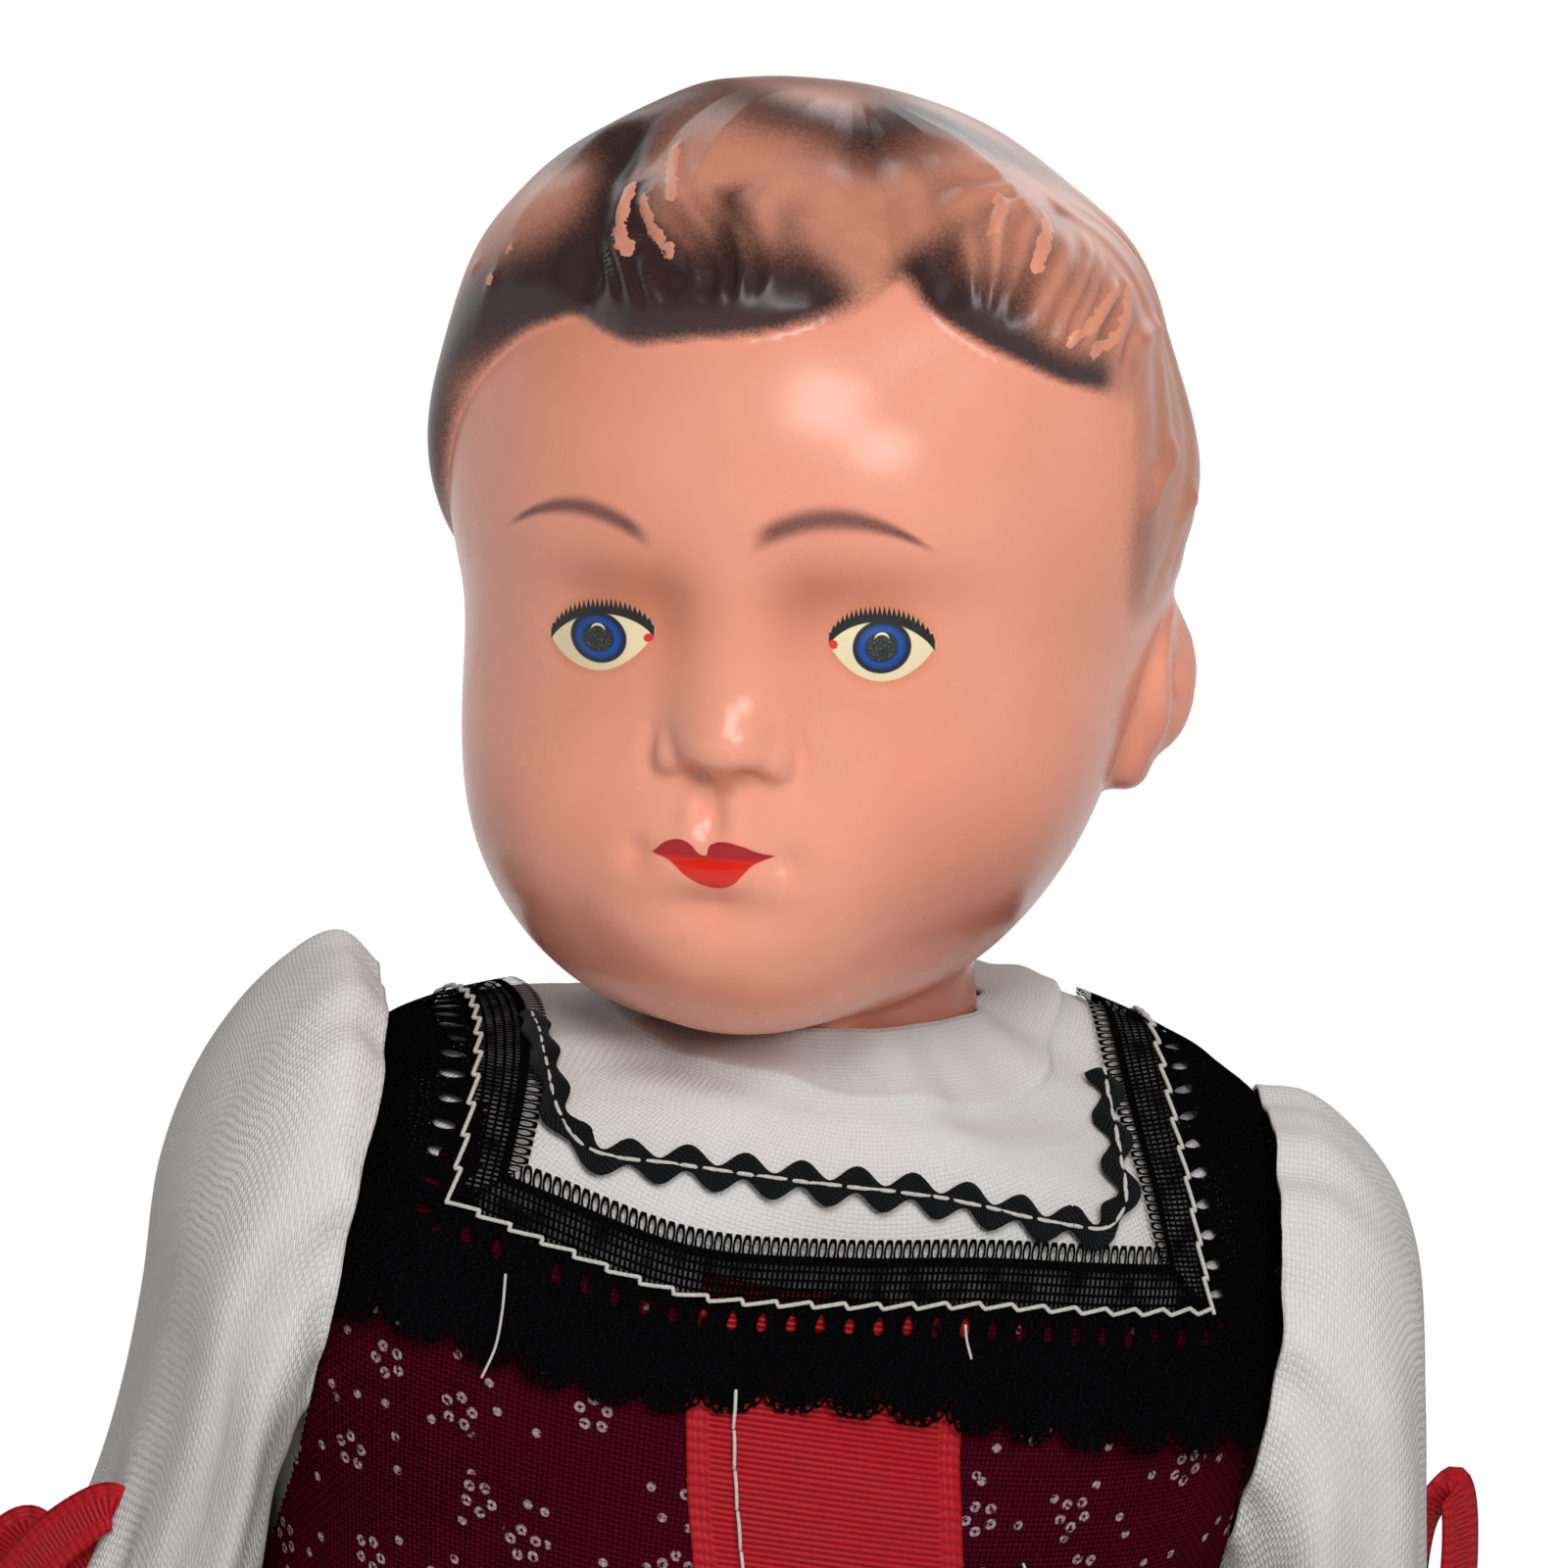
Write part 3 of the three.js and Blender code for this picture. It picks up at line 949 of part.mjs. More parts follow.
// Limbs, drawn on the doll's left and mirrored to its right
const armBody = arm();
const legBody = leg();
[['left', 1], ['right', -1]].forEach(([side, sign]) => {
  const limbs = new THREE.Group();
  limbs.scale.x = sign;
  piece(limbs, `arm_${side}`, armBody, SKIN);
  piece(limbs, `arm_hook_${side}`, limbHook(SHOULDER_FACE, SHOULDER_Z), STEEL_WIRE);
  piece(limbs, `sleeve_${side}`, sleeve(), WHITE_COTTON);
  piece(limbs, `sleeve_ribbon_${side}`, sleeveRibbon(), RED_RIBBON);
  piece(limbs, `sleeve_bow_${side}`, sleeveBow(), RED_RIBBON);
  piece(limbs, `leg_${side}`, legBody, SKIN);
  piece(limbs, `leg_hook_${side}`, limbHook(HIP_FACE, HIP_Z), STEEL_WIRE);
  piece(limbs, `stocking_${side}`, stocking(), WHITE_KNIT);
  piece(limbs, `shoe_${side}`, shoe(), BLACK_LEATHER);
  piece(limbs, `shoe_sole_${side}`, shoeSole(), SOLE_LEATHER);
  piece(limbs, `shoe_strap_${side}`, shoeStrap(), BLACK_LEATHER);
  piece(limbs, `shoe_button_${side}`, shoeButton(), PEARL_BUTTON);
  doll.add(limbs);
});

export default doll;
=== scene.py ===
"""A folk costume doll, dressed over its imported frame.

The frame gives the hard pieces and the places of all joints. This script forms the moulded head with its
painted face and hair, the clothes with their trims, and the limbs, gives each a finish, and sets up the
camera and lights. Lengths are in millimetres until a mesh is made, and the doll faces -Y with its own left
at +X.
"""
from __future__ import annotations

import logging
import math
from dataclasses import dataclass
from enum import Enum
from typing import Callable, Sequence

import bmesh
import bpy
import numpy as np
from mathutils import Matrix, Vector

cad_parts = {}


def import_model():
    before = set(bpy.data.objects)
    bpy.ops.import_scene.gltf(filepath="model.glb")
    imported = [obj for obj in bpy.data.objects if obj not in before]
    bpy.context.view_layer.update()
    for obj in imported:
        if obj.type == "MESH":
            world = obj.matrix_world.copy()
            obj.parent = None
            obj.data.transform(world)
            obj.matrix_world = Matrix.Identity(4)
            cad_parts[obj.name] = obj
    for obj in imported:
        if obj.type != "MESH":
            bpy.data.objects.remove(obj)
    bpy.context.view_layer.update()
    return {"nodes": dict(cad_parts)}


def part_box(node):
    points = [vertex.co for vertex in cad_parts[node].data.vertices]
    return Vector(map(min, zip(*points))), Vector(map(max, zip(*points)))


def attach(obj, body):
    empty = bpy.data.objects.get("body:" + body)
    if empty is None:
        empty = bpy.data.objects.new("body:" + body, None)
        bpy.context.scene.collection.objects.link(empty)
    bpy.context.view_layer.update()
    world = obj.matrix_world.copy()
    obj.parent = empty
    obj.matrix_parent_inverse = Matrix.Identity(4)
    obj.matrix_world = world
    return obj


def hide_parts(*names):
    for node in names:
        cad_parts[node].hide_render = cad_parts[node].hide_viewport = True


LOG = logging.getLogger("doll")
MM = 0.001
Array = np.ndarray
Piece = bpy.types.Object
Socket = bpy.types.NodeSocket
Node = bpy.types.Node
Tree = bpy.types.NodeTree
Point = tuple[float, float, float]
Pair = tuple[float, float]
Colour = tuple[float, float, float, float]


class Side(Enum):
    """A side of the doll, as the sign of its X."""

    LEFT = 1
    RIGHT = -1

    @property
    def word(self) -> str:
        """The side's name in lower case, as the frame's nodes use it."""
        return self.name.lower()


def paint(red: int, green: int, blue: int) -> Colour:
    """Turn a colour seen on screen into the linear colour that shaders take.

    Args:
        red, green, blue: The seen colour, 0 to 255 each.

    Returns:
        The linear colour with full opacity.
    """
    def linear(value: int) -> float:
        """One part of the colour."""
        share = value / 255
        return share / 12.92 if share <= 0.04045 else ((share + 0.055) / 1.055) ** 2.4

    return linear(red), linear(green), linear(blue), 1.0


def smooth(low: float, high: float, value: Array) -> Array:
    """Rise smoothly from 0 at low to 1 at high."""
    share = np.clip((value - low) / (high - low), 0, 1)
    return share * share * (3 - 2 * share)


def bump(distance: Array) -> Array:
    """A round hill that is 1 at no distance and fades by a distance of about 2."""
    return np.exp(-distance * distance)


def curve_through(points: Sequence[Sequence[float]], per_span: int) -> Array:
    """Draw a smooth line through points, with knots spaced by the root of each chord.

    Args:
        points: The points, of any dimension.
        per_span: How many points each span between neighbours gets.

    Returns:
        The line's points, with the last given point at its end.
    """
    p = np.asarray(points, float)
    p = np.vstack([2 * p[0] - p[1], p, 2 * p[-1] - p[-2]])
    line = []
    for a, b, c, d in zip(p, p[1:], p[2:], p[3:]):
        spans = ((a, b), (b, c), (c, d))
        knots = np.cumsum([0] + [max(float(np.linalg.norm(v - u)), 1e-6) ** 0.5 for u, v in spans])
        t = np.linspace(knots[1], knots[2], per_span, endpoint=False)[:, None]
        low = [u + (t - knots[i]) / (knots[i + 1] - knots[i]) * (v - u) for i, (u, v) in enumerate(spans)]
        mid = [low[i] + (t - knots[i]) / (knots[i + 2] - knots[i]) * (low[i + 1] - low[i]) for i in range(2)]
        line.append(mid[0] + (t - knots[1]) / (knots[2] - knots[1]) * (mid[1] - mid[0]))
    return np.vstack([*line, p[-2]])


def unit(vectors: Array) -> Array:
    """Scale vectors along the last axis to a length of 1."""
    return vectors / np.maximum(np.linalg.norm(vectors, axis=-1, keepdims=True), 1e-9)


def turns(count: int) -> Array:
    """Angles in radians, evenly once round."""
    return np.arange(count) * 2 * math.pi / count


def lengths(line: Array) -> Array:
    """How far along a line each of its points is."""
    return np.append(0, np.cumsum(np.linalg.norm(np.diff(line, axis=0), axis=1)))


def laid(u: Array, v: Array) -> Array:
    """Pairs of two grids' values."""
    return np.stack(np.broadcast_arrays(u, v), -1)


def grid_normals(points: Array, wrap: bool = False) -> Array:
    """The normals of a grid of points, on the side where columns cross rows."""
    across = np.roll(points, -1, 1) - np.roll(points, 1, 1) if wrap else np.gradient(points, axis=1)
    return unit(np.cross(across, np.gradient(points, axis=0)))


def new_object(name: str, vertices: Array, faces: list | Array) -> Piece:
    """Make a smooth mesh object from points in millimetres.

    Args:
        name: The object's name.
        vertices: Its points.
        faces: Each face's corners, as numbers of points.

    Returns:
        The object.
    """
    mesh = bpy.data.meshes.new(name)
    mesh.from_pydata((np.asarray(vertices, float).reshape(-1, 3) * MM).tolist(), [], [list(f) for f in faces])
    mesh.shade_smooth()
    made = bpy.data.objects.new(name, mesh)
    bpy.context.scene.collection.objects.link(made)
    return made


def grid_object(name: str, points: Array, wrap: bool = False, flat: Array | None = None) -> Piece:
    """Make a mesh object of quads from a grid of points.

    Args:
        name: The object's name.
        points: Points by row and column, in millimetres.
        wrap: Joins the last column to the first.
        flat: The cloth's flat place of each point in millimetres, with one more column where the grid wraps.

    Returns:
        The object, with a UV map of the flat places where they are given.
    """
    rows, columns = points.shape[:2]
    span = columns if wrap else columns - 1
    i, j = np.meshgrid(np.arange(rows - 1), np.arange(span), indexing="ij")
    k = (j + 1) % columns
    here, below = i * columns, (i + 1) * columns
    faces = np.stack([here + j, here + k, below + k, below + j], -1).reshape(-1, 4)
    made = new_object(name, points, faces.tolist())
    if flat is not None:
        corners = np.stack([flat[i, j], flat[i, j + 1], flat[i + 1, j + 1], flat[i + 1, j]], 2).reshape(-1, 2)
        layer = made.data.uv_layers.new(name="Cloth")
        layer.data.foreach_set("uv", corners.astype(np.float32).ravel())
    return made


def store(made: Piece, name: str, values: Array) -> None:
    """Keep a value or a vector for each point of a mesh, for its material to read."""
    kind, key = ("FLOAT_VECTOR", "vector") if values.ndim == 2 else ("FLOAT", "value")
    made.data.attributes.new(name, kind, "POINT").data.foreach_set(key, values.astype(np.float32).ravel())


def thicken(made: Piece, thickness: float) -> None:
    """Give a sheet its thickness in millimetres.

    Args:
        made: The sheet.
        thickness: Its thickness.
    """
    solid = made.modifiers.new("Thickness", "SOLIDIFY")
    solid.thickness = thickness * MM
    solid.offset = 0.0
    solid.use_even_offset = False


def join(name: str, parts: Sequence[Piece]) -> Piece:
    """Join mesh objects into the first one, and rename it.

    Args:
        name: The new name.
        parts: The objects, which become one.

    Returns:
        The joined object.
    """
    with bpy.context.temp_override(active_object=parts[0], selected_editable_objects=list(parts)):
        bpy.ops.object.join()
    parts[0].name = name
    return parts[0]


def rod(name: str, line: Array, radius: float, sides: int = 8) -> Piece:
    """Make a closed round rod along a line.

    Args:
        name: The object's name.
        line: The line's points in millimetres.
        radius: The rod's radius in millimetres.
        sides: The number of sides.

    Returns:
        The rod's object, with its ends rounded in.
    """
    ways = unit(np.gradient(line, axis=0))
    aslant = (0.12, 0.31, 0.94)
    side = np.cross(ways[0], aslant)
    turn = turns(sides)
    rings = []
    for at, way in zip(line, ways):
        side = unit(side - way * (side @ way))
        other = np.cross(way, side)
        rings.append(at + radius * (np.cos(turn)[:, None] * side + np.sin(turn)[:, None] * other))
    tip = [line[0] - ways[0] * radius * 0.5 + (rings[0] - line[0]) * 0.5]
    toe = [line[-1] + ways[-1] * radius * 0.5 + (rings[-1] - line[-1]) * 0.5]
    grid = np.array(tip + rings + toe)
    made = grid_object(name, grid, wrap=True)
    count = len(grid) * sides
    ends = [list(range(sides))[::-1], list(range(count - sides, count))]
    mesh = made.data
    vertices = [v.co[:] for v in mesh.vertices]
    faces = [list(p.vertices) for p in mesh.polygons] + ends
    mesh.clear_geometry()
    mesh.from_pydata(vertices, [], faces)
    mesh.shade_smooth()
    return made


# Shader graphs


def through(operation: str) -> Callable[..., Field]:
    """A method that puts a field, and any others after it, through one Math node."""
    def joined(field: Field, *others: Field | float) -> Field:
        """Join the field with the others."""
        return field.math(operation, *others)

    return joined


class Field:
    """A value that changes over a surface, which plain arithmetic joins into Math nodes."""

    def __init__(self, graph: Graph, socket: Socket) -> None:
        """Hold the socket that gives the value."""
        self.graph = graph
        self.socket = socket

    def math(self, operation: str, *others: Field | float) -> Field:
        """Put this value and others through one Math node.

        Args:
            operation: The node's operation.
            others: The values after this one.

        Returns:
            The result.
        """
        node = self.graph.node("ShaderNodeMath", operation=operation)
        for socket, value in zip(node.inputs, (self, *others)):
            self.graph.feed(socket, value)
        return Field(self.graph, node.outputs[0])

    __add__ = __radd__ = through("ADD")
    __sub__ = through("SUBTRACT")
    __mul__ = __rmul__ = through("MULTIPLY")
    __truediv__ = through("DIVIDE")
    __abs__ = through("ABSOLUTE")
    root = through("SQRT")
    low = through("MINIMUM")
    high = through("MAXIMUM")
    wave = through("SINE")
    saw = through("PINGPONG")
    share = through("FRACT")

    def __rsub__(self, other: float) -> Field:
        """Take from a number."""
        return (self * -1.0) + other

    def rise(self, low: float, high: float) -> Field:
        """Go smoothly from 0 at low to 1 at high. Low may be above high.

        Args:
            low: The value that gives 0.
            high: The value that gives 1.

        Returns:
            The share, 0 to 1.
        """
        node = self.graph.node("ShaderNodeMapRange", interpolation_type="SMOOTHSTEP")
        flip = low > high
        for key, value in (("From Min", min(low, high)), ("From Max", max(low, high)),
                           ("To Min", float(flip)), ("To Max", float(not flip))):
            node.inputs[key].default_value = value
        self.graph.feed(node.inputs["Value"], self)
        return Field(self.graph, node.outputs["Result"])

    def shaped(self, points: Sequence[Pair], low: Pair, high: Pair) -> Field:
        """Look this value up on a smooth curve.

        Args:
            points: The curve's points as value and result.
            low: The least value and result that the curve can hold.
            high: The greatest value and result.

        Returns:
            The result at this value.
        """
        node = self.graph.node("ShaderNodeFloatCurve")
        knots = node.mapping.curves[0].points
        spots = [tuple((p[i] - low[i]) / (high[i] - low[i]) for i in (0, 1)) for p in points]
        for knot, spot in zip((knots[0], knots[1]), (spots[0], spots[-1])):
            knot.location = spot
        for spot in spots[1:-1]:
            knots.new(*spot)
        node.mapping.update()
        self.graph.feed(node.inputs["Value"], (self - low[0]) / (high[0] - low[0]))
        return Field(self.graph, node.outputs[0]) * (high[1] - low[1]) + low[1]


Fields = dict[str, Field]


def far(across: Field, up: Field) -> Field:
    """The distance from the origin of a flat place."""
    return (across * across + up * up).root()


class Graph:
    """Builds the nodes of a material or of a node group."""

    def __init__(self, tree: Tree) -> None:
        """Hold the tree that gets the nodes."""
        self.tree = tree

    def node(self, kind: str, **settings: object) -> Node:
        """Add a node and set its properties.

        Args:
            kind: The node's type.
            settings: Its properties by name.

        Returns:
            The node.
        """
        made = self.tree.nodes.new(kind)
        for key, value in settings.items():
            setattr(made, key, value)
        return made

    def feed(self, socket: Socket, value: Field | Socket | float | Sequence[float]) -> None:
        """Link a value to a socket, or set a constant on it."""
        if isinstance(value, Field):
            self.tree.links.new(value.socket, socket)
        elif isinstance(value, Socket):
            self.tree.links.new(value, socket)
        else:
            socket.default_value = value

    def attribute(self, name: str) -> Node:
        """Read what is stored for each point of the mesh."""
        return self.node("ShaderNodeAttribute", attribute_name=name)

    def stored(self, name: str) -> Field:
        """A stored value as a field."""
        return Field(self, self.attribute(name).outputs["Fac"])

    def parts(self, vector: Field | Socket) -> tuple[Field, Field, Field]:
        """The three parts of a vector."""
        node = self.node("ShaderNodeSeparateXYZ")
        self.feed(node.inputs[0], vector)
        return Field(self, node.outputs[0]), Field(self, node.outputs[1]), Field(self, node.outputs[2])

    def place(self, x: Field | float, y: Field | float, z: Field | float = 0.0) -> Socket:
        """A vector from its parts.

        Args:
            x, y, z: The parts.

        Returns:
            The vector.
        """
        node = self.node("ShaderNodeCombineXYZ")
        for socket, value in zip(node.inputs, (x, y, z)):
            self.feed(socket, value)
        return node.outputs[0]

    def flat(self) -> Socket:
        """The cloth's flat place in millimetres."""
        return self.node("ShaderNodeUVMap", uv_map="Cloth").outputs[0]

    def solid(self) -> Socket:
        """The object's own place in millimetres.

        Returns:
            The place.
        """
        node = self.node("ShaderNodeVectorMath", operation="SCALE")
        self.feed(node.inputs[0], self.node("ShaderNodeTexCoord").outputs["Object"])
        node.inputs["Scale"].default_value = 1 / MM
        return node.outputs[0]

    def noise(self, at: Field | Socket, size: float, detail: float = 2.0) -> Field:
        """Soft noise with patches of a size in millimetres, about 0.5 on average.

        Args:
            at: Where it is looked up.
            size: The patches' size.
            detail: How many finer layers it has.

        Returns:
            The noise.
        """
        node = self.node("ShaderNodeTexNoise")
        self.feed(node.inputs["Vector"], at)
        node.inputs["Scale"].default_value = 1 / size
        node.inputs["Detail"].default_value = detail
        return Field(self, node.outputs["Fac"])

    def cells(self, at: Field | Socket, size: float, scatter: float = 1.0, flat: bool = False) -> Node:
        """Scattered points about a size apart in millimetres.

        Args:
            at: Where it is looked up.
            size: The distance between points.
            scatter: How far they stray from even rows, 0 to 1.
            flat: Leaves out the third part of the place.

        Returns:
            The node, which puts out the nearest point's distance, place and colour.
        """
        node = self.node("ShaderNodeTexVoronoi", voronoi_dimensions="2D" if flat else "3D")
        self.feed(node.inputs["Vector"], at)
        node.inputs["Scale"].default_value = 1 / size
        node.inputs["Randomness"].default_value = scatter
        return node

    def mix(self, share: Field | float, first: object, second: object) -> Socket:
        """Mix two colours.

        Args:
            share: How much there is of the second.
            first, second: The colours.

        Returns:
            The mixed colour.
        """
        node = self.node("ShaderNodeMix", data_type="RGBA", clamp_factor=True)
        self.feed(node.inputs["Factor"], share)
        self.feed(node.inputs[6], first)
        self.feed(node.inputs[7], second)
        return node.outputs[2]

    def blend(self, share: Field | float, first: Field | float, second: Field | float) -> Field:
        """Mix two values.

        Args:
            share: How much there is of the second.
            first, second: The values.

        Returns:
            The mixed value.
        """
        node = self.node("ShaderNodeMix", data_type="FLOAT", clamp_factor=True)
        self.feed(node.inputs["Factor"], share)
        self.feed(node.inputs[2], first)
        self.feed(node.inputs[3], second)
        return Field(self, node.outputs[0])

    def seen(self) -> Field:
        """Where light comes straight to the eye, or by way of a gloss or of something clear.

        Returns:
            1 where it does, and 0 elsewhere.
        """
        path = self.node("ShaderNodeLightPath").outputs
        straight, glossy, clear = (
            Field(self, path[f"Is {kind} Ray"]) for kind in ("Camera", "Glossy", "Transmission"))
        return straight.high(glossy).high(clear)

    def wire(self, node: Node, **values: object) -> None:
        """Feed a node's inputs, named with _ for spaces."""
        for key, value in values.items():
            self.feed(node.inputs[key.replace("_", " ")], value)

    def use(self, group: Tree, **values: object) -> Fields:
        """Place a node group with its inputs, named with _ for spaces, and give its outputs by name."""
        node = self.node("ShaderNodeGroup", node_tree=group)
        self.wire(node, **values)
        return {socket.name: Field(self, socket) for socket in node.outputs}

    def bumped(self, height: Field, depth: float) -> Socket:
        """A normal from a height, where a height of 1 stands for a depth in millimetres.

        Args:
            height: The height over the surface.
            depth: The depth that a height of 1 stands for.

        Returns:
            The normal.
        """
        node = self.node("ShaderNodeBump")
        node.inputs["Distance"].default_value = depth * MM
        node.inputs["Strength"].default_value = 1.0
        self.feed(node.inputs["Height"], height)
        return node.outputs[0]


def group(name: str, inputs: dict[str, object], outputs: Sequence[str],
          build: Callable[[Graph, Fields], dict[str, object]]) -> Tree:
    """Make a shader node group once, and find it again afterwards.

    Args:
        name: The group's name.
        inputs: Each input's name with its default: a number, a colour of four parts or a vector of three.
        outputs: The outputs' names. Those that end in Colour are colours, and the rest values.
        build: Makes the nodes from the inputs, and gives what feeds each output.

    Returns:
        The group's tree.
    """
    if name in bpy.data.node_groups:
        return bpy.data.node_groups[name]
    tree = bpy.data.node_groups.new(name, "ShaderNodeTree")
    for key, default in inputs.items():
        size = len(default) if hasattr(default, "__len__") else 1
        kind = {1: "NodeSocketFloat", 3: "NodeSocketVector", 4: "NodeSocketColor"}[size]
        tree.interface.new_socket(key, in_out="INPUT", socket_type=kind).default_value = default
    for key in outputs:
        kind = "NodeSocketColor" if key.endswith("Colour") else "NodeSocketFloat"
        tree.interface.new_socket(key, in_out="OUTPUT", socket_type=kind)
    graph = Graph(tree)
    source = graph.node("NodeGroupInput")
    results = build(graph, {socket.name: Field(graph, socket) for socket in source.outputs if socket.name})
    sink = graph.node("NodeGroupOutput")
    for key, value in results.items():
        graph.feed(sink.inputs[key], value)
    return tree


@dataclass(frozen=True)
class Finish:
    """A surface finish, whose material is made when it is first asked for."""

    name: str

    def material(self) -> bpy.types.Material:
        """The finish's material.

        Returns:
            The material, the same one each time.
        """
        title = f"{self.name}_finish"
        known = bpy.data.materials.get(title)
        if known:
            return known
        made = bpy.data.materials.new(title)
        made.use_nodes = True
        graph = Graph(made.node_tree)
        shader = made.node_tree.nodes["Principled BSDF"]
        self.dress(graph, shader)
        return made

    def dress(self, graph: Graph, shader: Node) -> None:
        """Wire the shader's sockets. Each kind of finish has its own way.

        Args:
            graph: Makes the material's nodes.
            shader: The shader to wire.
        """
        raise NotImplementedError

    def put_on(self, *pieces: Piece) -> None:
        """Give pieces this finish."""
        for piece in pieces:
            piece.data.materials.clear()
            piece.data.materials.append(self.material())


# Finishes of plastic and paint


def skin_tone() -> Tree:
    """The moulded plastic's colour: salmon, cloudy in broad patches, with a few dark specks of dirt.

    Returns:
        The group.
    """
    def build(graph: Graph, given: Fields) -> dict[str, object]:
        """Make the group's nodes."""
        clouds = graph.noise(given["Place"], 19, 3).rise(0.3, 0.7)
        colour = graph.mix(clouds, given["First Colour"], given["Second Colour"])
        specks = Field(graph, graph.cells(given["Place"], 7.5).outputs["Distance"])
        dirt = specks.rise(0.026, 0.014) * graph.noise(given["Place"], 12).rise(0.52, 0.6)
        colour = graph.mix(dirt * 0.75, colour, paint(92, 48, 36))
        dull = graph.noise(given["Place"], 5, 3)
        return {"Skin Colour": colour, "Roughness": dull * 0.12 + 0.2}

    sockets = {"Place": (0.0, 0.0, 0.0), "First Colour": paint(233, 152, 126),
               "Second Colour": paint(238, 160, 134)}
    return group("Skin tone", sockets, ("Skin Colour", "Roughness"), build)


@dataclass(frozen=True)
class SkinPlastic(Finish):
    """Glossy salmon plastic of the body and limbs."""

    first: Colour = paint(226, 143, 116)
    second: Colour = paint(232, 154, 128)

    def dress(self, graph: Graph, shader: Node) -> None:
        """Wire the plastic's clouds, specks and dullness."""
        place = graph.solid()
        tone = graph.use(skin_tone(), Place=place, First_Colour=self.first, Second_Colour=self.second)
        graph.wire(shader, Base_Color=tone["Skin Colour"], Roughness=tone["Roughness"],
                   Normal=graph.bumped(graph.noise(place, 2.5), 0.03))


def printed_eye() -> Tree:
    """A printed eye, in parts of its iris' radius from the iris' middle.

    The inner corner is at positive Across. Mask says where the print covers the skin.
    """
    def build(graph: Graph, given: Fields) -> dict[str, object]:
        """Make the group's nodes."""
        across, up = given["Across"], given["Up"]
        slope = given["Slope"]
        along = (across - 0.06) / 1.78
        chord = slope * along
        arch = (1.0 - along * along).high(0.0)
        lid = chord + arch.math("POWER", 0.75)
        floor = chord - arch.math("POWER", 0.85) * 1.3
        inside = abs(along).rise(1.0, 0.97)
        white = (lid - up).rise(-0.03, 0.05) * (up - floor).rise(-0.03, 0.05) * inside
        off = far(across, up)
        grain = graph.noise(graph.place(across * 9.0, up * 9.0), 1.0, 2)
        ring = off.rise(0.8, 0.86) + off.rise(0.6, 0.54) * off.rise(0.48, 0.54)
        spoke = (across.math("ARCTAN2", up) * 44.0).wave()
        blue = graph.mix((off.rise(0.9, 0.62) + spoke * 0.12), paint(6, 44, 106), paint(8, 72, 154))
        blue = graph.mix(ring + spoke * 0.1 * off.rise(0.72, 0.86), blue, paint(14, 18, 32))
        pupil = graph.mix(grain.rise(0.5, 0.62), paint(22, 26, 24), paint(62, 74, 66))
        iris = graph.mix(off.rise(0.56, 0.5), blue, pupil)
        glint = far(across, up - 0.3).rise(0.27, 0.22) * far(across, up - 0.18).rise(0.25, 0.3)
        iris = graph.mix(glint, iris, paint(238, 226, 190))
        cream = graph.mix(grain, paint(232, 212, 170), paint(240, 224, 186))
        colour = graph.mix(off.rise(1.02, 0.97), cream, iris)
        teeth = (along * 11.0 + 0.25).saw(0.5) * 2.0
        band = 0.2 + 0.14 * abs(along)
        lash = (arch + 0.12).root() * teeth * 0.36
        top = lid + band + lash
        shut = (up - lid).rise(-0.12, -0.06) * (top - up).rise(-0.03, 0.05) * abs(along).rise(1.06, 1.0)
        colour = graph.mix(shut, colour, paint(18, 15, 16))
        dot = far(across - 1.7, (up - chord * 0.7)).rise(0.19, 0.15)
        colour = graph.mix(dot, colour, paint(222, 52, 44))
        mask = white.high(shut).high(dot)
        halo = far(along * 0.88, (up - chord - 0.15) / 1.75).rise(1.05, 0.75)
        return {"Print Colour": colour, "Mask": mask, "Stain": halo}

    sockets = {"Across": 0.0, "Up": 0.0, "Slope": 0.0}
    return group("Printed eye", sockets, ("Print Colour", "Mask", "Stain"), build)


def sprayed_brow() -> Tree:
    """A brow sprayed in a soft arch, in millimetres from the arch's top."""
    def build(graph: Graph, given: Fields) -> dict[str, object]:
        """Make the group's nodes."""
        along, up = given["Along"], given["Up"]
        arch = along * along * -0.047
        wide = given["Width"] * along.rise(-9.5, 1.0) + 0.22
        off = abs(up - arch) / wide
        ends = abs(along + 0.4).rise(8.0, 5.4)
        grain = graph.noise(graph.place(along, up), 0.25, 2)
        return {"Mask": (off.rise(1.7, 0.15) * ends * (grain * 0.35 + 0.72)).low(1.0)}

    return group("Sprayed brow", {"Along": 0.0, "Up": 0.0, "Width": 0.6}, ("Mask",), build)


@dataclass(frozen=True)
class EyePrint:
    """Where one eye's print sits: its iris' middle and radii, and how its corners slope."""

    middle: Pair
    radii: Pair
    slope: float
    inner: float


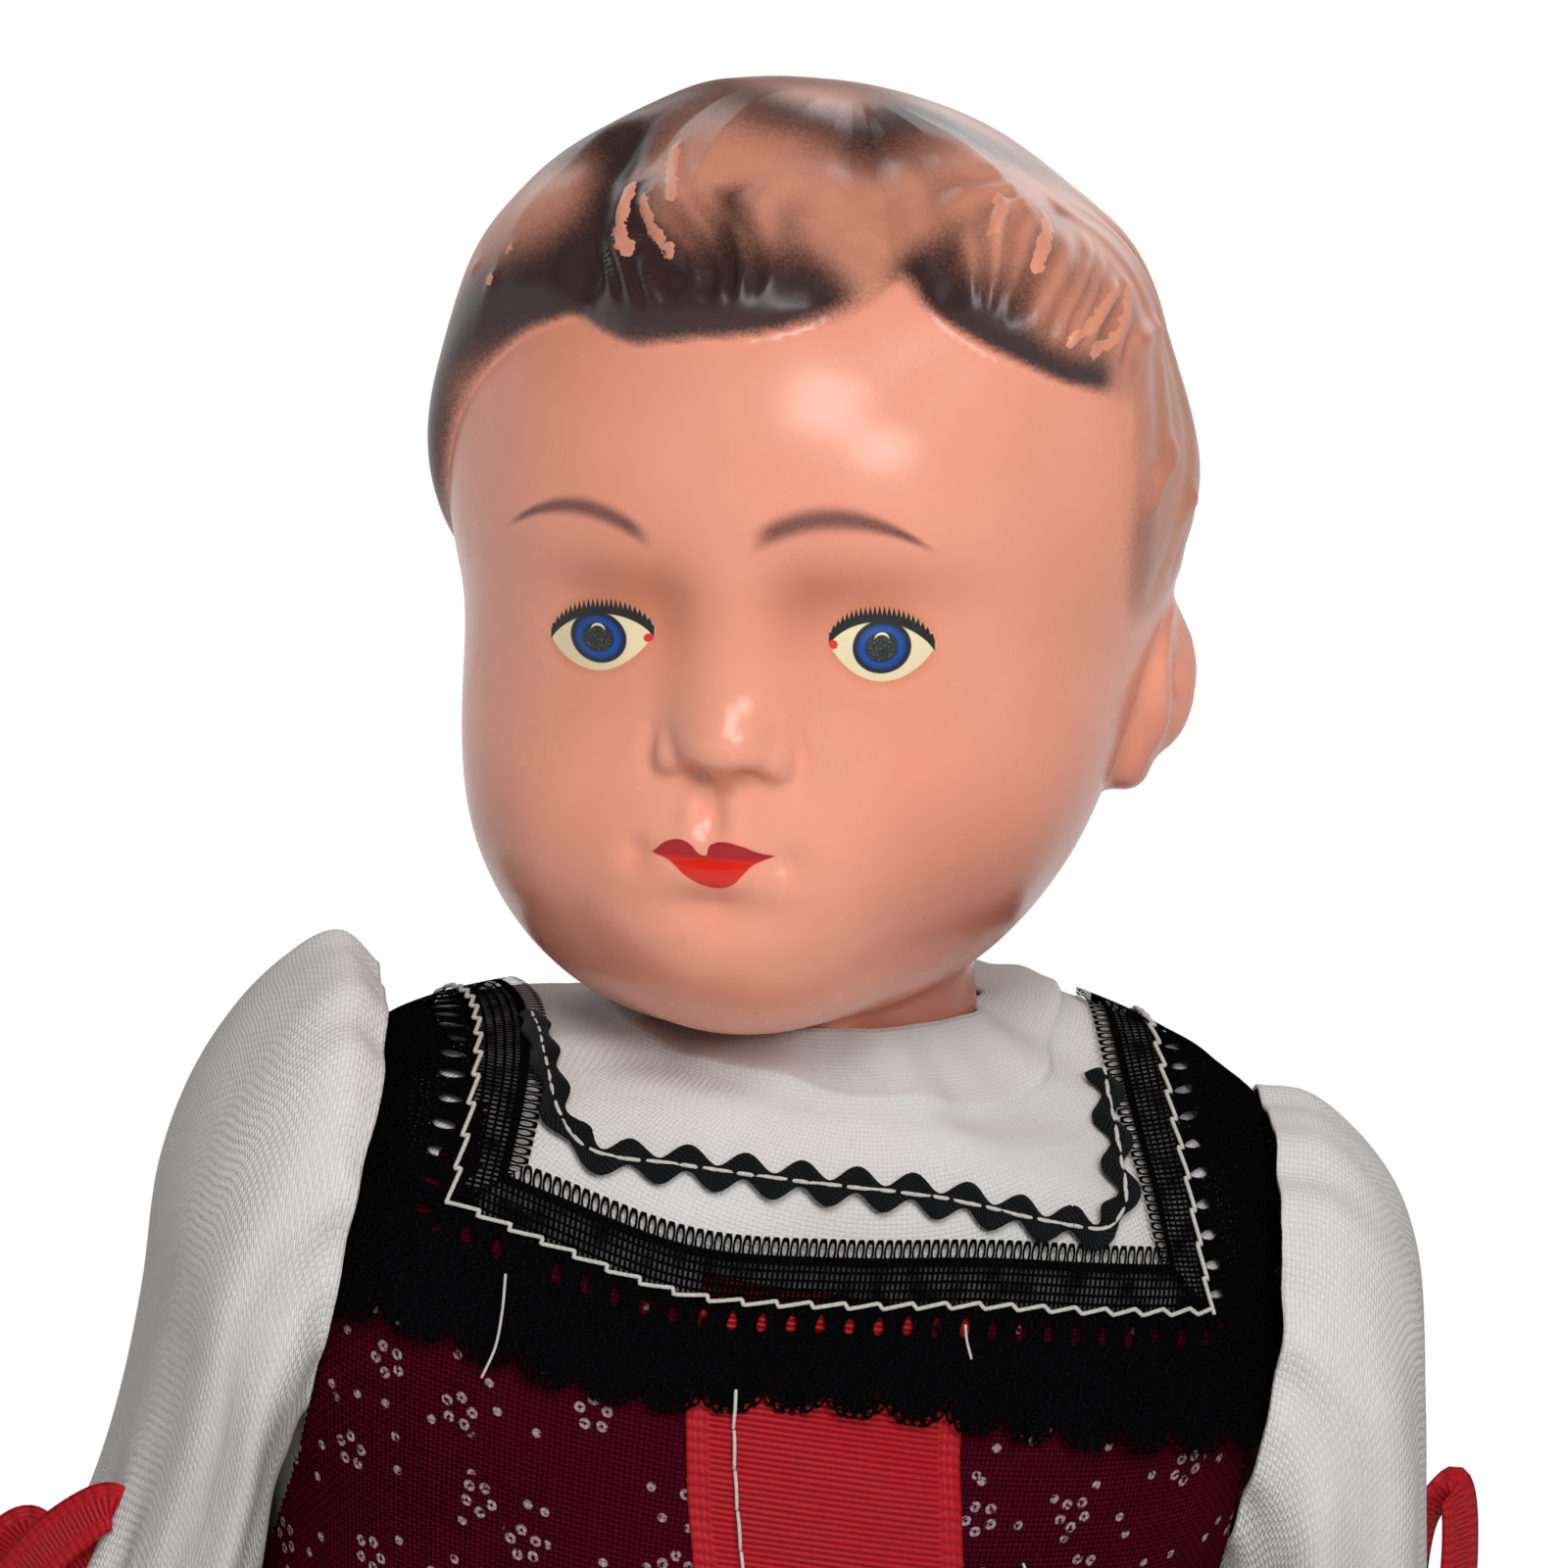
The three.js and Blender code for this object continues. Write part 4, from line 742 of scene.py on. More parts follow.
@dataclass(frozen=True)
class PaintedHead(Finish):
    """The head's plastic with its printed eyes, sprayed brows, painted lips and sprayed hair."""

    eyes: tuple[EyePrint, ...] = (
        EyePrint((-11.5, 42.2), (2.85, 2.25), 0.3, 1.0),
        EyePrint((13.6, 42.8), (2.33, 2.35), 0.12, -1.0))
    brows: tuple[tuple[Pair, float, float], ...] = (((-13.2, 53.7), 1.0, 0.55), ((10.0, 54.2), -1.0, 0.75))

    def lips(self, x: Field, z: Field) -> Field:
        """The painted lips' mask: a bow with a deep notch above, and one full curve below.

        Args:
            x: Places across the face.
            z: Heights on it.

        Returns:
            The mask, 1 on the paint.
        """
        low, high = (-6.6, 20.0), (6.0, 25.6)
        above = x.shaped((
            (-6.6, 22.9), (-5.7, 23.5), (-4.4, 24.5), (-3.2, 24.75), (-2.1, 24.3), (-1.45, 23.5),
            (-1.0, 23.4), (-0.5, 24.4), (0.7, 24.75), (2.2, 24.5), (3.8, 23.95), (5.2, 23.65),
            (6.0, 23.1)), low, high)
        below = x.shaped((
            (-6.6, 23.9), (-5.7, 23.2), (-4.5, 22.85), (-3.6, 22.3), (-2.4, 21.4), (-0.9, 20.7), (0.5, 20.55),
            (1.5, 20.9), (2.5, 21.9), (3.4, 22.8), (5.0, 23.55), (6.0, 24.0)), low, high)
        return (above - z).rise(-0.04, 0.1) * (z - below).rise(-0.04, 0.1) * abs(x + 0.3).rise(5.9, 5.6)

    def dress(self, graph: Graph, shader: Node) -> None:
        """Lay the paints over the plastic, from the skin up."""
        place = graph.attribute("paint_at").outputs["Vector"]
        x, y, z = graph.parts(place)
        front = y.rise(-14, -22)
        tone = graph.use(skin_tone(), Place=place)
        colour = tone["Skin Colour"]
        flush = (far((abs(x) - 17.0) / 11.0, (z - 24.0) / 9.0).rise(1.5, 0.2)) * front
        colour = graph.mix(flush * 0.06, colour, paint(226, 118, 88))
        # Painted shade in the eye sockets and under the nose, partly the doll's sprayed eye shadow.
        hollow = graph.stored("hollow")
        colour = graph.mix(hollow * 0.7, colour, paint(178, 96, 68))
        # Painted shade: the skin is darkened toward the jaw's sides and underside.
        jaw_shade = (y.rise(-26, -6) * z.rise(38, 16)).high(abs(x + 2.0).rise(11, 24) * z.rise(34, 16))
        colour = graph.mix(jaw_shade * 0.7, colour, paint(166, 88, 66))
        for brow, outward, width in self.brows:
            sprayed = graph.use(sprayed_brow(), Along=(x - brow[0]) * outward, Up=z - brow[1], Width=width)
            colour = graph.mix(sprayed["Mask"] * front * 0.9, colour, paint(72, 40, 42))
        printed = []
        for eye in self.eyes:
            across, up = (x - eye.middle[0]) / (eye.radii[0] * eye.inner), (z - eye.middle[1]) / eye.radii[1]
            print_of = graph.use(printed_eye(), Across=across, Up=up, Slope=eye.slope)
            colour = graph.mix(print_of["Stain"] * front * 0.42, colour, paint(206, 112, 62))
            cover = print_of["Mask"] * front
            colour = graph.mix(cover, colour, print_of["Print Colour"])
            printed.append(cover)
        lips = self.lips(x, z - 0.6) * front
        # The upper lip is painted darker than the lower one, as painted shade where it faces down.
        red = graph.mix(z.rise(23.3, 24.1), paint(216, 34, 14), paint(166, 14, 18))
        colour = graph.mix(lips, colour, red)
        hair = graph.stored("hair")
        dark = graph.stored("dark")
        grain = graph.noise(place, 0.3, 2)
        cloud = graph.noise(place, 4.0, 3)
        # The sprayed hair paint, with painted shade in the grooves between strands.
        sprayed = (dark + (grain - 0.5) * 0.34 + (cloud - 0.5) * 0.16).rise(0.05, 0.95)
        brown = graph.mix(cloud.rise(0.35, 0.7), paint(198, 130, 106), paint(210, 142, 118))
        hair_colour = graph.mix(sprayed, brown, paint(50, 30, 28))
        chips = (graph.stored("ridge") + (graph.noise(place, 1.1, 3) - 0.5) * 1.3).rise(0.5, 0.58)
        hair_colour = graph.mix(chips * 0.95, hair_colour, paint(226, 150, 124))
        spray_edge = (hair + (grain - 0.5) * 0.35).rise(0.1, 0.9)
        colour = graph.mix(spray_edge, colour, hair_colour)
        dull = tone["Roughness"] + hair * 0.1 + printed[0] * 0.12 + printed[1] * 0.12 - lips * 0.08
        scratches = graph.noise(place, 0.9, 3) * 0.5 + graph.noise(place, 3.0) * 0.5
        graph.wire(shader, Base_Color=colour, Roughness=dull, Normal=graph.bumped(scratches, 0.03),
                   Specular_IOR_Level=0.34)


# The head


@dataclass(frozen=True)
class Blob:
    """One ellipsoid of the head's form, blended into those before it. A pair has one on each side."""

    at: Point
    size: Point
    blend: float
    pair: bool = False


@dataclass(frozen=True)
class Stroke:
    """A line over the hair, by turns and rises in degrees.

    It says how wide the line is, how dark it is sprayed, and how far it is raised or, below 0, carved.
    """

    line: tuple[Pair, ...]
    reach: float
    spray: float
    raised: float = 0.0
    chipped: bool = False


@dataclass
class Head:
    """The moulded head: a blended form, its finer relief, its hair and its paint."""

    neck_z: float = 320.5
    turn: float = -25.0
    lean: float = -9.5
    jaw_z: float = 0.7
    around: int = 400
    up: int = 240
    centre: Point = (0.0, 2.0, 44.7)
    blobs: tuple[Blob, ...] = (
        Blob((0, -1, 52.3), (32, 36.5, 32.6), 0),
        Blob((-0.8, -7, 35), (27.2, 29, 29.5), 10),
        Blob((0, -13, 55), (26.5, 22, 19), 10),
        Blob((9.8, -14, 27.2), (13.8, 15, 13.6), 10),
        Blob((-12, -14, 26), (15, 15.5, 15), 10),
        Blob((-3.8, -11, 19.7), (18.2, 18, 13.9), 10),
        Blob((-9, -9, 17.0), (12.4, 13, 11.0), 8),
        Blob((-1.2, -24.2, 13.8), (9.8, 8.5, 7.6), 7),
        Blob((0, -29, 21.5), (10, 7, 8.5), 6),
        Blob((0.4, -32.6, 42.2), (3.8, 4.2, 8.5), 5),
        Blob((0.5, -34.5, 36.4), (3.4, 4.2, 4.6), 4),
        Blob((0.6, -36.8, 33.3), (3.7, 4.1, 2.9), 3),
        Blob((4.5, -34.2, 32.1), (2.5, 3.4, 2.2), 1.0, True),
        Blob((29.4, 3.5, 34.0), (3.1, 5.4, 6.0), 2.2, True),
        Blob((27.2, 1.5, 27.6), (2.4, 3.4, 3.4), 2.5, True),
        Blob((-10.5, -9, 69.3), (13.5, 15, 13.4), 8),
        Blob((16, -12.5, 67.2), (13, 13.5, 9.6), 8),
        Blob((-22.4, -8, 57), (6.6, 12, 12), 8),
        Blob((22.6, -7, 57), (7.5, 12, 13), 8),
        Blob((0, 0, 7), (13.5, 13.5, 14), 2),
        Blob((0, 0, -0.7), (14.5, 14.5, 14.5), 1))
    hairline: tuple[Pair, ...] = (
        (-180, -40), (-140, -40), (-118, -34), (-106, -8), (-92, 0), (-78, -4), (-66, 2), (-58, 9), (-54, 14),
        (-51, 19), (-47, 24), (-43, 28), (-37, 32), (-31, 34), (-26, 35), (-19, 33), (-14, 32), (-6, 33),
        (2, 34), (10, 36), (15, 38), (19, 40), (22, 42), (24, 42), (27, 38), (33, 34), (40, 31), (46, 29),
        (51, 28), (57, 26), (58, 21), (59, 12), (61, 3), (66, -3), (78, -4), (92, 0), (106, -8), (118, -34),
        (140, -40), (180, -40))
    lips_of_rolls: tuple[Pair, ...] = (
        (-180, 0.6), (-70, 0.7), (-58, 1.8), (-44, 2.6), (-34, 2.0), (-26, 1.8), (-14, 3.4), (0, 3.2),
        (10, 1.9), (16, 0.5), (22, 0.2), (26, 1.4), (36, 2.7), (46, 2.5), (54, 1.1), (60, 0.5), (72, 0.2),
        (96, 0.2), (120, 0.6), (180, 0.6))
    paint_edge: tuple[Pair, ...] = (
        (-180, 2.5), (-70, 2.0), (-55, 0.7), (6, 0.7), (16, 2.6), (23, 2.6), (29, 0.7), (48, 0.7), (58, 2.6),
        (180, 2.6))
    strand: float = 5.2
    fan: tuple[Pair, ...] = (
        (-60, -0.6), (-40, -0.9), (-24, -1.35), (-10, -1.1), (0, -0.35), (8, 0.1), (20, 0.3), (26, -0.3),
        (33, 0.2), (46, 1.3), (70, 1.6))
    strokes: tuple[Stroke, ...] = (
        Stroke(((-23, 35), (-16, 34), (-7, 35), (1, 36), (7, 37), (11, 38)), 3.0, 0.92),
        Stroke(((-25, 41), (-18, 39), (-11, 39), (-3, 38), (6, 39)), 4.6, 0.72),
        Stroke(((-24, 46), (-19, 42)), 3.4, 0.55),
        Stroke(((-76, 4), (-64, 12), (-57, 20), (-53, 28), (-42, 34), (-29, 38)), 4.8, 0.98),
        Stroke(((-70, 44), (-58, 52), (-44, 56), (-36, 57)), 4.2, 0.72),
        Stroke(((-36, 57), (-30, 49), (-27, 43), (-24, 38)), 1.9, 0.8, -1.1),
        Stroke(((-60, 60), (-29, 64), (-16, 67), (-4, 66), (11, 68)), 4.2, 0.4),
        Stroke(((26, 68), (58, 76)), 4.0, 0.5),
        Stroke(((65, 68), (78, 69)), 3.2, 0.5),
        Stroke(((-24, 51), (-19, 45), (-12, 41), (-6, 38)), 1.2, 0.7, -0.5),
        Stroke(((-6, 51), (-3, 44), (-2, 39)), 1.3, 0.6, -0.5),
        Stroke(((26, 42), (28, 39), (31, 37), (37, 33), (44, 30), (50, 29)), 2.0, 0.95),
        Stroke(((28, 44), (31, 40), (36, 37)), 2.6, 0.45),
        Stroke(((33, 47), (30, 43), (30, 39)), 1.2, 0.35, -0.4),
        Stroke(((60, 52), (48, 45), (40, 39), (36, 35)), 1.3, 0.35, -0.5),
        Stroke(((62, 9), (65, 4)), 3.0, 0.35),
        Stroke(((58, 19), (60, 12)), 2.4, 0.12),
        Stroke(((22, 41), (21, 46), (20, 51)), 5.0, 0.0, -0.6),
        Stroke(((-26, 51), (-24, 47), (-20, 43), (-18, 42)), 0.8, 0.0, 0.55, True),
        Stroke(((-23, 57), (-17, 51), (-15, 49)), 0.65, 0.0, 0.4, True),
        Stroke(((-21, 49), (-16, 45), (-11, 42)), 0.6, 0.0, 0.5, True),
        Stroke(((42, 50), (38, 45)), 0.7, 0.0, 0.4, True),
        Stroke(((50, 48), (43, 41)), 0.75, 0.0, 0.45, True),
        Stroke(((58, 39), (50, 35), (45, 33)), 0.6, 0.0, 0.4, True),
        Stroke(((63, 40), (55, 34), (49, 32)), 0.6, 0.0, 0.4, True),
        Stroke(((-52, 38),), 0.7, 0.0, 0.3, True),
        Stroke(((-44, 37),), 0.7, 0.0, 0.3, True),
        Stroke(((-42, 41),), 0.6, 0.0, 0.3, True),
        Stroke(((72, 20), (69, 18)), 1.2, 0.0, 0.7),
        Stroke(((66, 17), (64, 14)), 1.1, 0.0, 0.6),
        Stroke(((80, 13), (76, 11)), 1.2, 0.0, 0.7),
        Stroke(((61, 33), (66, 34), (71, 35)), 1.1, 0.0, 0.6))

    def distance(self, p: Array) -> Array:
        """How far points are outside the blended form, roughly, in the head's own millimetres.

        Args:
            p: The points.

        Returns:
            Their distances, below 0 inside.
        """
        p = p - np.array((0, 0, self.jaw_z))
        near = np.full(p.shape[:-1], 200.0)
        for blob in self.blobs:
            for sign in (1, -1) if blob.pair else (1,):
                q = (p - np.array(blob.at) * (sign, 1, 1)) / np.array(blob.size)
                size = np.linalg.norm(q, axis=-1)
                off = size * (size - 1) / np.maximum(np.linalg.norm(q / np.array(blob.size), axis=-1), 1e-9)
                if blob.blend:
                    share = np.maximum(blob.blend - np.abs(near - off), 0) / blob.blend
                    near = np.minimum(near, off) - share * share * blob.blend / 4
                else:
                    near = np.minimum(near, off)
        return near

    def rays(self, around: int, up: int) -> tuple[Array, Array, Array]:
        """Directions out of the head's middle, closer together at the face.

        Args:
            around: How many directions each row has.
            up: How many rows there are.

        Returns:
            The directions, and their turns and rises in degrees.
        """
        share = np.linspace(-1, 1, around, endpoint=False)
        turn, rise = np.meshgrid(180 * (0.6 * share + 0.4 * share ** 3), np.linspace(-89.8, 89.8, up))
        t, r = np.radians(turn), np.radians(rise)
        return np.stack([np.sin(t) * np.cos(r), -np.cos(t) * np.cos(r), np.sin(r)], -1), turn, rise

    def surface(self) -> tuple[Array, Array, Array]:
        """The form's points, found on a coarse grid first, with their turns and rises.

        Returns:
            The points, their turns and their rises.
        """
        centre = np.array(self.centre)
        coarse, coarse_turn, coarse_rise = self.rays(self.around // 4, self.up // 4)
        reach = np.full(coarse.shape[:2], 80.0)
        for _ in range(70):
            reach -= 0.7 * self.distance(centre + coarse * reach[..., None])
        fine, turn, rise = self.rays(self.around, self.up)
        wide = np.hstack([coarse_turn, coarse_turn[:, :1] + 360])
        by_row = np.array([np.interp(turn[0], row, values) for row, values in
                           zip(wide, np.hstack([reach, reach[:, :1]]))])
        out = np.array([np.interp(rise[:, 0], coarse_rise[:, 0], column) for column in by_row.T]).T
        for _ in range(7):
            out -= 0.7 * self.distance(centre + fine * out[..., None])
        return centre + fine * out[..., None], turn, rise

    def features(self, p: Array) -> tuple[Array, Array]:
        """The fine relief of the face and ears, and the painted shade of the eye sockets and nose, 0 to 1.

        Args:
            p: The form's points.

        Returns:
            The relief in millimetres, and the painted shade's share.
        """
        x, y, z = p[..., 0], p[..., 1], p[..., 2]
        front = smooth(-12, -22, y)
        side, middle = np.abs(x), x + 0.6
        relief = np.zeros_like(x)
        hollow = np.zeros_like(x)

        def hill(across: Array, wide: float, level: float, tall: float) -> Array:
            """A round hill on the face, of a width and a height, at a level."""
            return bump(np.hypot(across / wide, (z - level) / tall))

        for eye_x, eye_z, inner in ((-11.4, 42.0, 1), (13.6, 42.6, -1)):
            socket = hill(x - eye_x, 7.5, eye_z + 3.6, 4.2)
            corner = hill(x - eye_x - 6.2 * inner, 3.2, eye_z + 2.4, 5.0)
            lens = np.hypot((x - eye_x) / 5.2, (z - eye_z + 0.2) / 3.2)
            relief += -0.95 * socket - 0.9 * corner - 0.2 * smooth(1.5, 0.8, lens) + 0.4 * bump(lens * 1.1)
            # Painted shade above each eye and in its inner corner, standing partly for the doll's sprayed eye
            # shadow.
            hollow += 0.85 * hill(x - eye_x - 1.2 * inner, 6.5, eye_z + 5.2, 2.6) + 0.6 * corner
        # Painted shade under the nose.
        hollow += 0.5 * hill(x - 0.5, 4.6, 31.2, 1.1)
        cheek = 1.7 * hill(side - 13.8, 11, 23, 9.5)
        groove = -0.6 * hill(middle, 0.9, 27.6, 2.0) + 0.4 * hill(np.abs(middle) - 2.0, 0.9, 27.4, 2.0)
        lips = 0.7 * hill(middle, 3.6, 22.5, 1.6) + 0.55 * hill(middle, 4.2, 24.9, 0.8)
        parting = -0.45 * hill(middle, 4.6, 23.85, 0.5) - 0.7 * hill(np.abs(middle) - 6.6, 1.3, 23.6, 1.5)
        chin = -1.1 * hill(middle, 5.5, 18.9, 1.8) + 0.6 * hill(middle, 6, 13.5, 4)
        nostrils = -1.2 * hill(np.abs(x - 0.5) - 2.3, 1.2, 31.0, 0.9) * smooth(-31, -34, y)
        wings = -0.6 * hill(np.abs(x - 0.3) - 6.6, 0.8, 32.8, 2.0)
        relief = (relief + cheek + groove + lips + parting + chin + nostrils + wings) * front
        bowl = np.hypot((y - 3.0) / 2.9, (z - 35.0) / 4.2)
        ear = -1.9 * bump(bowl * 1.15) + 0.5 * bump((bowl - 1.45) / 0.3) - 0.7 * hill(y - 2.0, 1.6, 29.5, 2.0)
        relief += smooth(25, 28, side) * ear
        return relief, np.clip(hollow, 0, 1) * front

    def nearest(self, p: Array, turn: Array, rise: Array, line: Sequence[Pair]) -> Array:
        """How far points are from a line drawn on the head by turns and rises in degrees.

        Args:
            p: The head's points.
            turn, rise: Their directions in degrees.
            line: The line's turns and rises.

        Returns:
            The distances.
        """
        drawn = curve_through(line, 8) if len(line) > 1 else np.array([line[0], line[0]], float)
        row = np.interp(drawn[:, 1], rise[:, 0], np.arange(p.shape[0]))
        column = np.interp(drawn[:, 0], turn[0], np.arange(p.shape[1]))
        i, j = np.minimum(row.astype(int), p.shape[0] - 2), np.minimum(column.astype(int), p.shape[1] - 2)
        f, g = (row - i)[:, None], (column - j)[:, None]
        low = p[i, j] * (1 - g) + p[i, j + 1] * g
        high = p[i + 1, j] * (1 - g) + p[i + 1, j + 1] * g
        marks = low * (1 - f) + high * f
        near = np.full(p.shape[:2], 1e9)
        for first, last in zip(marks, marks[1:]):
            way = last - first
            share = np.clip((p - first) @ way / max(float(way @ way), 1e-9), 0, 1)
            near = np.minimum(near, np.sum((p - first - share[..., None] * way) ** 2, -1))
        return np.sqrt(near)

    def hair(self, p: Array, turn: Array, rise: Array) -> dict[str, Array]:
        """The moulded hair.

        Args:
            p: The head's points.
            turn, rise: Their directions in degrees.

        Returns:
            The relief in millimetres, and the paint's cover, darkness with painted groove shade, and chips, 0
            to 1 each.
        """
        inside = np.where(rise > np.interp(turn, *curve_through(self.hairline, 10).T), 1, -1)
        depth = inside * self.nearest(p, turn, rise, self.hairline)
        lip = np.interp(turn, *np.array(self.lips_of_rolls).T)
        relief = lip * np.sqrt(1 - (1 - np.clip(depth / 4.6, 0, 1)) ** 2)
        front = smooth(74, 58, np.abs(turn)) * smooth(84, 70, rise)
        relief -= 0.8 * bump((depth - 15.5) / 2.6) * front * smooth(50, 36, np.abs(turn + 4))
        around, up = np.radians(turn), np.radians(rise)
        swept = around * 34 + 4.5 * np.sin(up * 5.5 + around * 1.3) + 1.6 * np.sin(around * 4 + up * 3)
        strands = np.sin(np.pi * swept / 4.6) * 0.6 + np.sin(np.pi * swept / 2.7 + 1.0) * 0.4
        waves = np.sin(up * 9 + 1.1 * np.sin(around * 3) + 0.5)
        rear = (1 - front) * smooth(1, 5, depth) * smooth(64, 46, rise)
        relief += rear * (0.34 * strands + 0.5 * waves - 0.35)
        shade = smooth(70, 100, np.abs(turn))
        x, y = p[..., 0], p[..., 1]
        mottle = np.sin(x * 0.31 + 1.7) * np.sin(y * 0.27 + 0.4) * np.sin(x * 0.13 - y * 0.17)
        # The sprayed paint darkens at the sides and back, and more in the grooves between strands as painted
        # shade.
        dark = 0.06 + rear * shade * (0.26 - 0.2 * strands - 0.14 * waves)
        dark = dark - rear * (1 - shade) * 0.08 * strands
        dark = np.clip(dark + smooth(54, 68, rise) * (0.42 + 0.32 * mottle), 0, 1)
        fan = np.interp(turn, *np.array(self.fan).T)
        sweep = (turn - fan * (rise - 42)) / self.strand
        sweep = sweep + 0.3 * np.sin(sweep * 1.7 + 0.6) + 0.16 * np.sin(rise * 0.42)
        ridge = 0.5 + 0.5 * np.cos(2 * np.pi * sweep)
        rolls = smooth(-29, -22, turn) * smooth(12, 4, turn) + smooth(27, 32, turn) * smooth(64, 54, turn)
        combed = front * smooth(1.5, 4, depth) * smooth(18, 9, depth) * rolls
        relief += combed * 0.7 * (ridge - 0.6)
        # Darker between the combed ridges: painted shade in the grooves.
        clear = (1 - dark) * (1 - combed * 0.34 * (1 - ridge))
        chips = np.zeros_like(depth)
        for stroke in self.strokes:
            near = self.nearest(p, turn, rise, stroke.line)
            sprayed = stroke.spray * bump(near / stroke.reach * 0.85)
            clear *= 1 - np.clip(sprayed, 0, 1)
            relief += stroke.raised * bump(near / stroke.reach)
            if stroke.chipped:
                chips = np.maximum(chips, bump(near / stroke.reach))
        cover = smooth(-1, 1, depth / np.interp(turn, *np.array(self.paint_edge).T))
        relief = relief * smooth(-0.4, 0.4, depth) * smooth(80, 56, rise) + 0.5 * smooth(56, 70, rise)
        right = smooth(-32, -60, turn) * smooth(-135, -100, turn)
        relief += right * (bump((rise - 42) / 9) - 1.5 * bump((rise - 64) / 8))
        relief += 1.5 * bump(np.hypot((x + 9) / 12, (y - 2) / 26)) * smooth(58, 74, rise)
        relief -= 0.8 * smooth(60, 85, turn) * smooth(140, 110, turn) * bump((rise - 66) / 10)
        return {"relief": relief, "hair": cover, "dark": 1 - clear, "ridge": chips}

    def placed(self, p: Array) -> Array:
        """Turn and lean points of the head onto the neck.

        Args:
            p: Points in the head's own frame.

        Returns:
            The points in the doll's frame.
        """
        lean = Matrix.Rotation(math.radians(self.lean), 3, "Y")
        turn = Matrix.Rotation(math.radians(self.turn), 3, "Z")
        return p @ np.array(lean @ turn).T + (0, 0, self.neck_z)

    def build(self) -> Piece:
        """Form the head, and store what its paint reads.

        Returns:
            The head.
        """
        p, turn, rise = self.surface()
        normals = grid_normals(p, wrap=True)
        relief, hollow = self.features(p)
        hair = self.hair(p, turn, rise)
        shaped = p + normals * (relief + hair["relief"])[..., None]
        made = grid_object("head", self.placed(shaped), wrap=True)
        store(made, "paint_at", shaped.reshape(-1, 3))
        store(made, "hollow", hollow.ravel())
        for key in ("hair", "dark", "ridge"):
            store(made, key, hair[key].ravel())
        return dressed(made, PaintedHead("painted_head"), "skin_plastic", "head", "head_face", "head_back")


# Finishes of cloth and thread


def weave() -> Tree:
    """A plain weave on a cloth's flat place: its height, and the gaps between its threads."""
    def build(graph: Graph, given: Fields) -> dict[str, object]:
        """Make the group's nodes."""
        u, v, _ = graph.parts(given["Flat"])
        drift = graph.noise(given["Flat"], 9.0, 1) * 0.5
        pitch = given["Pitch"]
        across, up = (u + drift) / pitch, (v + drift * 0.7) / pitch
        warp = abs((across * math.pi).wave())
        weft = abs((up * math.pi).wave())
        over = ((across * math.pi).wave() * (up * math.pi).wave()).rise(-0.2, 0.2)
        height = graph.blend(over, warp, weft)
        gap = (warp + weft).rise(0.62, 0.18)
        slubs = (graph.place(across * 0.07, up), graph.place(across, up * 0.07))
        uneven = graph.noise(slubs[0], 1.0, 2) + graph.noise(slubs[1], 1.0, 2)
        return {"Height": height + (uneven - 1.0) * 0.6, "Gap": gap * (uneven - 0.35).low(1.0)}

    return group("Weave", {"Flat": (0.0, 0.0, 0.0), "Pitch": 0.42}, ("Height", "Gap"), build)


@dataclass(frozen=True)
class Cotton(Finish):
    """Plain woven cotton, a little yellowed, with its weave showing and painted shade in the gaps between
    threads.
    """

    first: Colour = paint(222, 220, 219)
    second: Colour = paint(213, 210, 204)
    # The colour of the painted shade in the gaps between threads.
    gap: Colour = paint(132, 128, 130)
    pitch: float = 0.42
    depth: float = 0.09
    # How strong the painted shade in the gaps is.
    open_weave: float = 0.5

    def cloth(self, graph: Graph) -> tuple[Socket, Fields]:
        """The dyed cloth's colour and its weave.

        Args:
            graph: Makes the material's nodes.

        Returns:
            The colour, and what the weave puts out.
        """
        woven = graph.use(weave(), Flat=graph.flat(), Pitch=self.pitch)
        stain = graph.noise(graph.solid(), 24, 3).rise(0.4, 0.75)
        colour = graph.mix(stain, self.first, self.second)
        # The gaps between threads are darkened as painted shade.
        return graph.mix(woven["Gap"] * self.open_weave, colour, self.gap), woven

    def dress(self, graph: Graph, shader: Node) -> None:
        """Wire the cloth's colour, weave and roughness."""
        colour, woven = self.cloth(graph)
        graph.wire(shader, Base_Color=colour, Roughness=woven["Height"] * -0.1 + 0.9,
                   Normal=graph.bumped(woven["Height"], self.depth), Specular_IOR_Level=0.0)


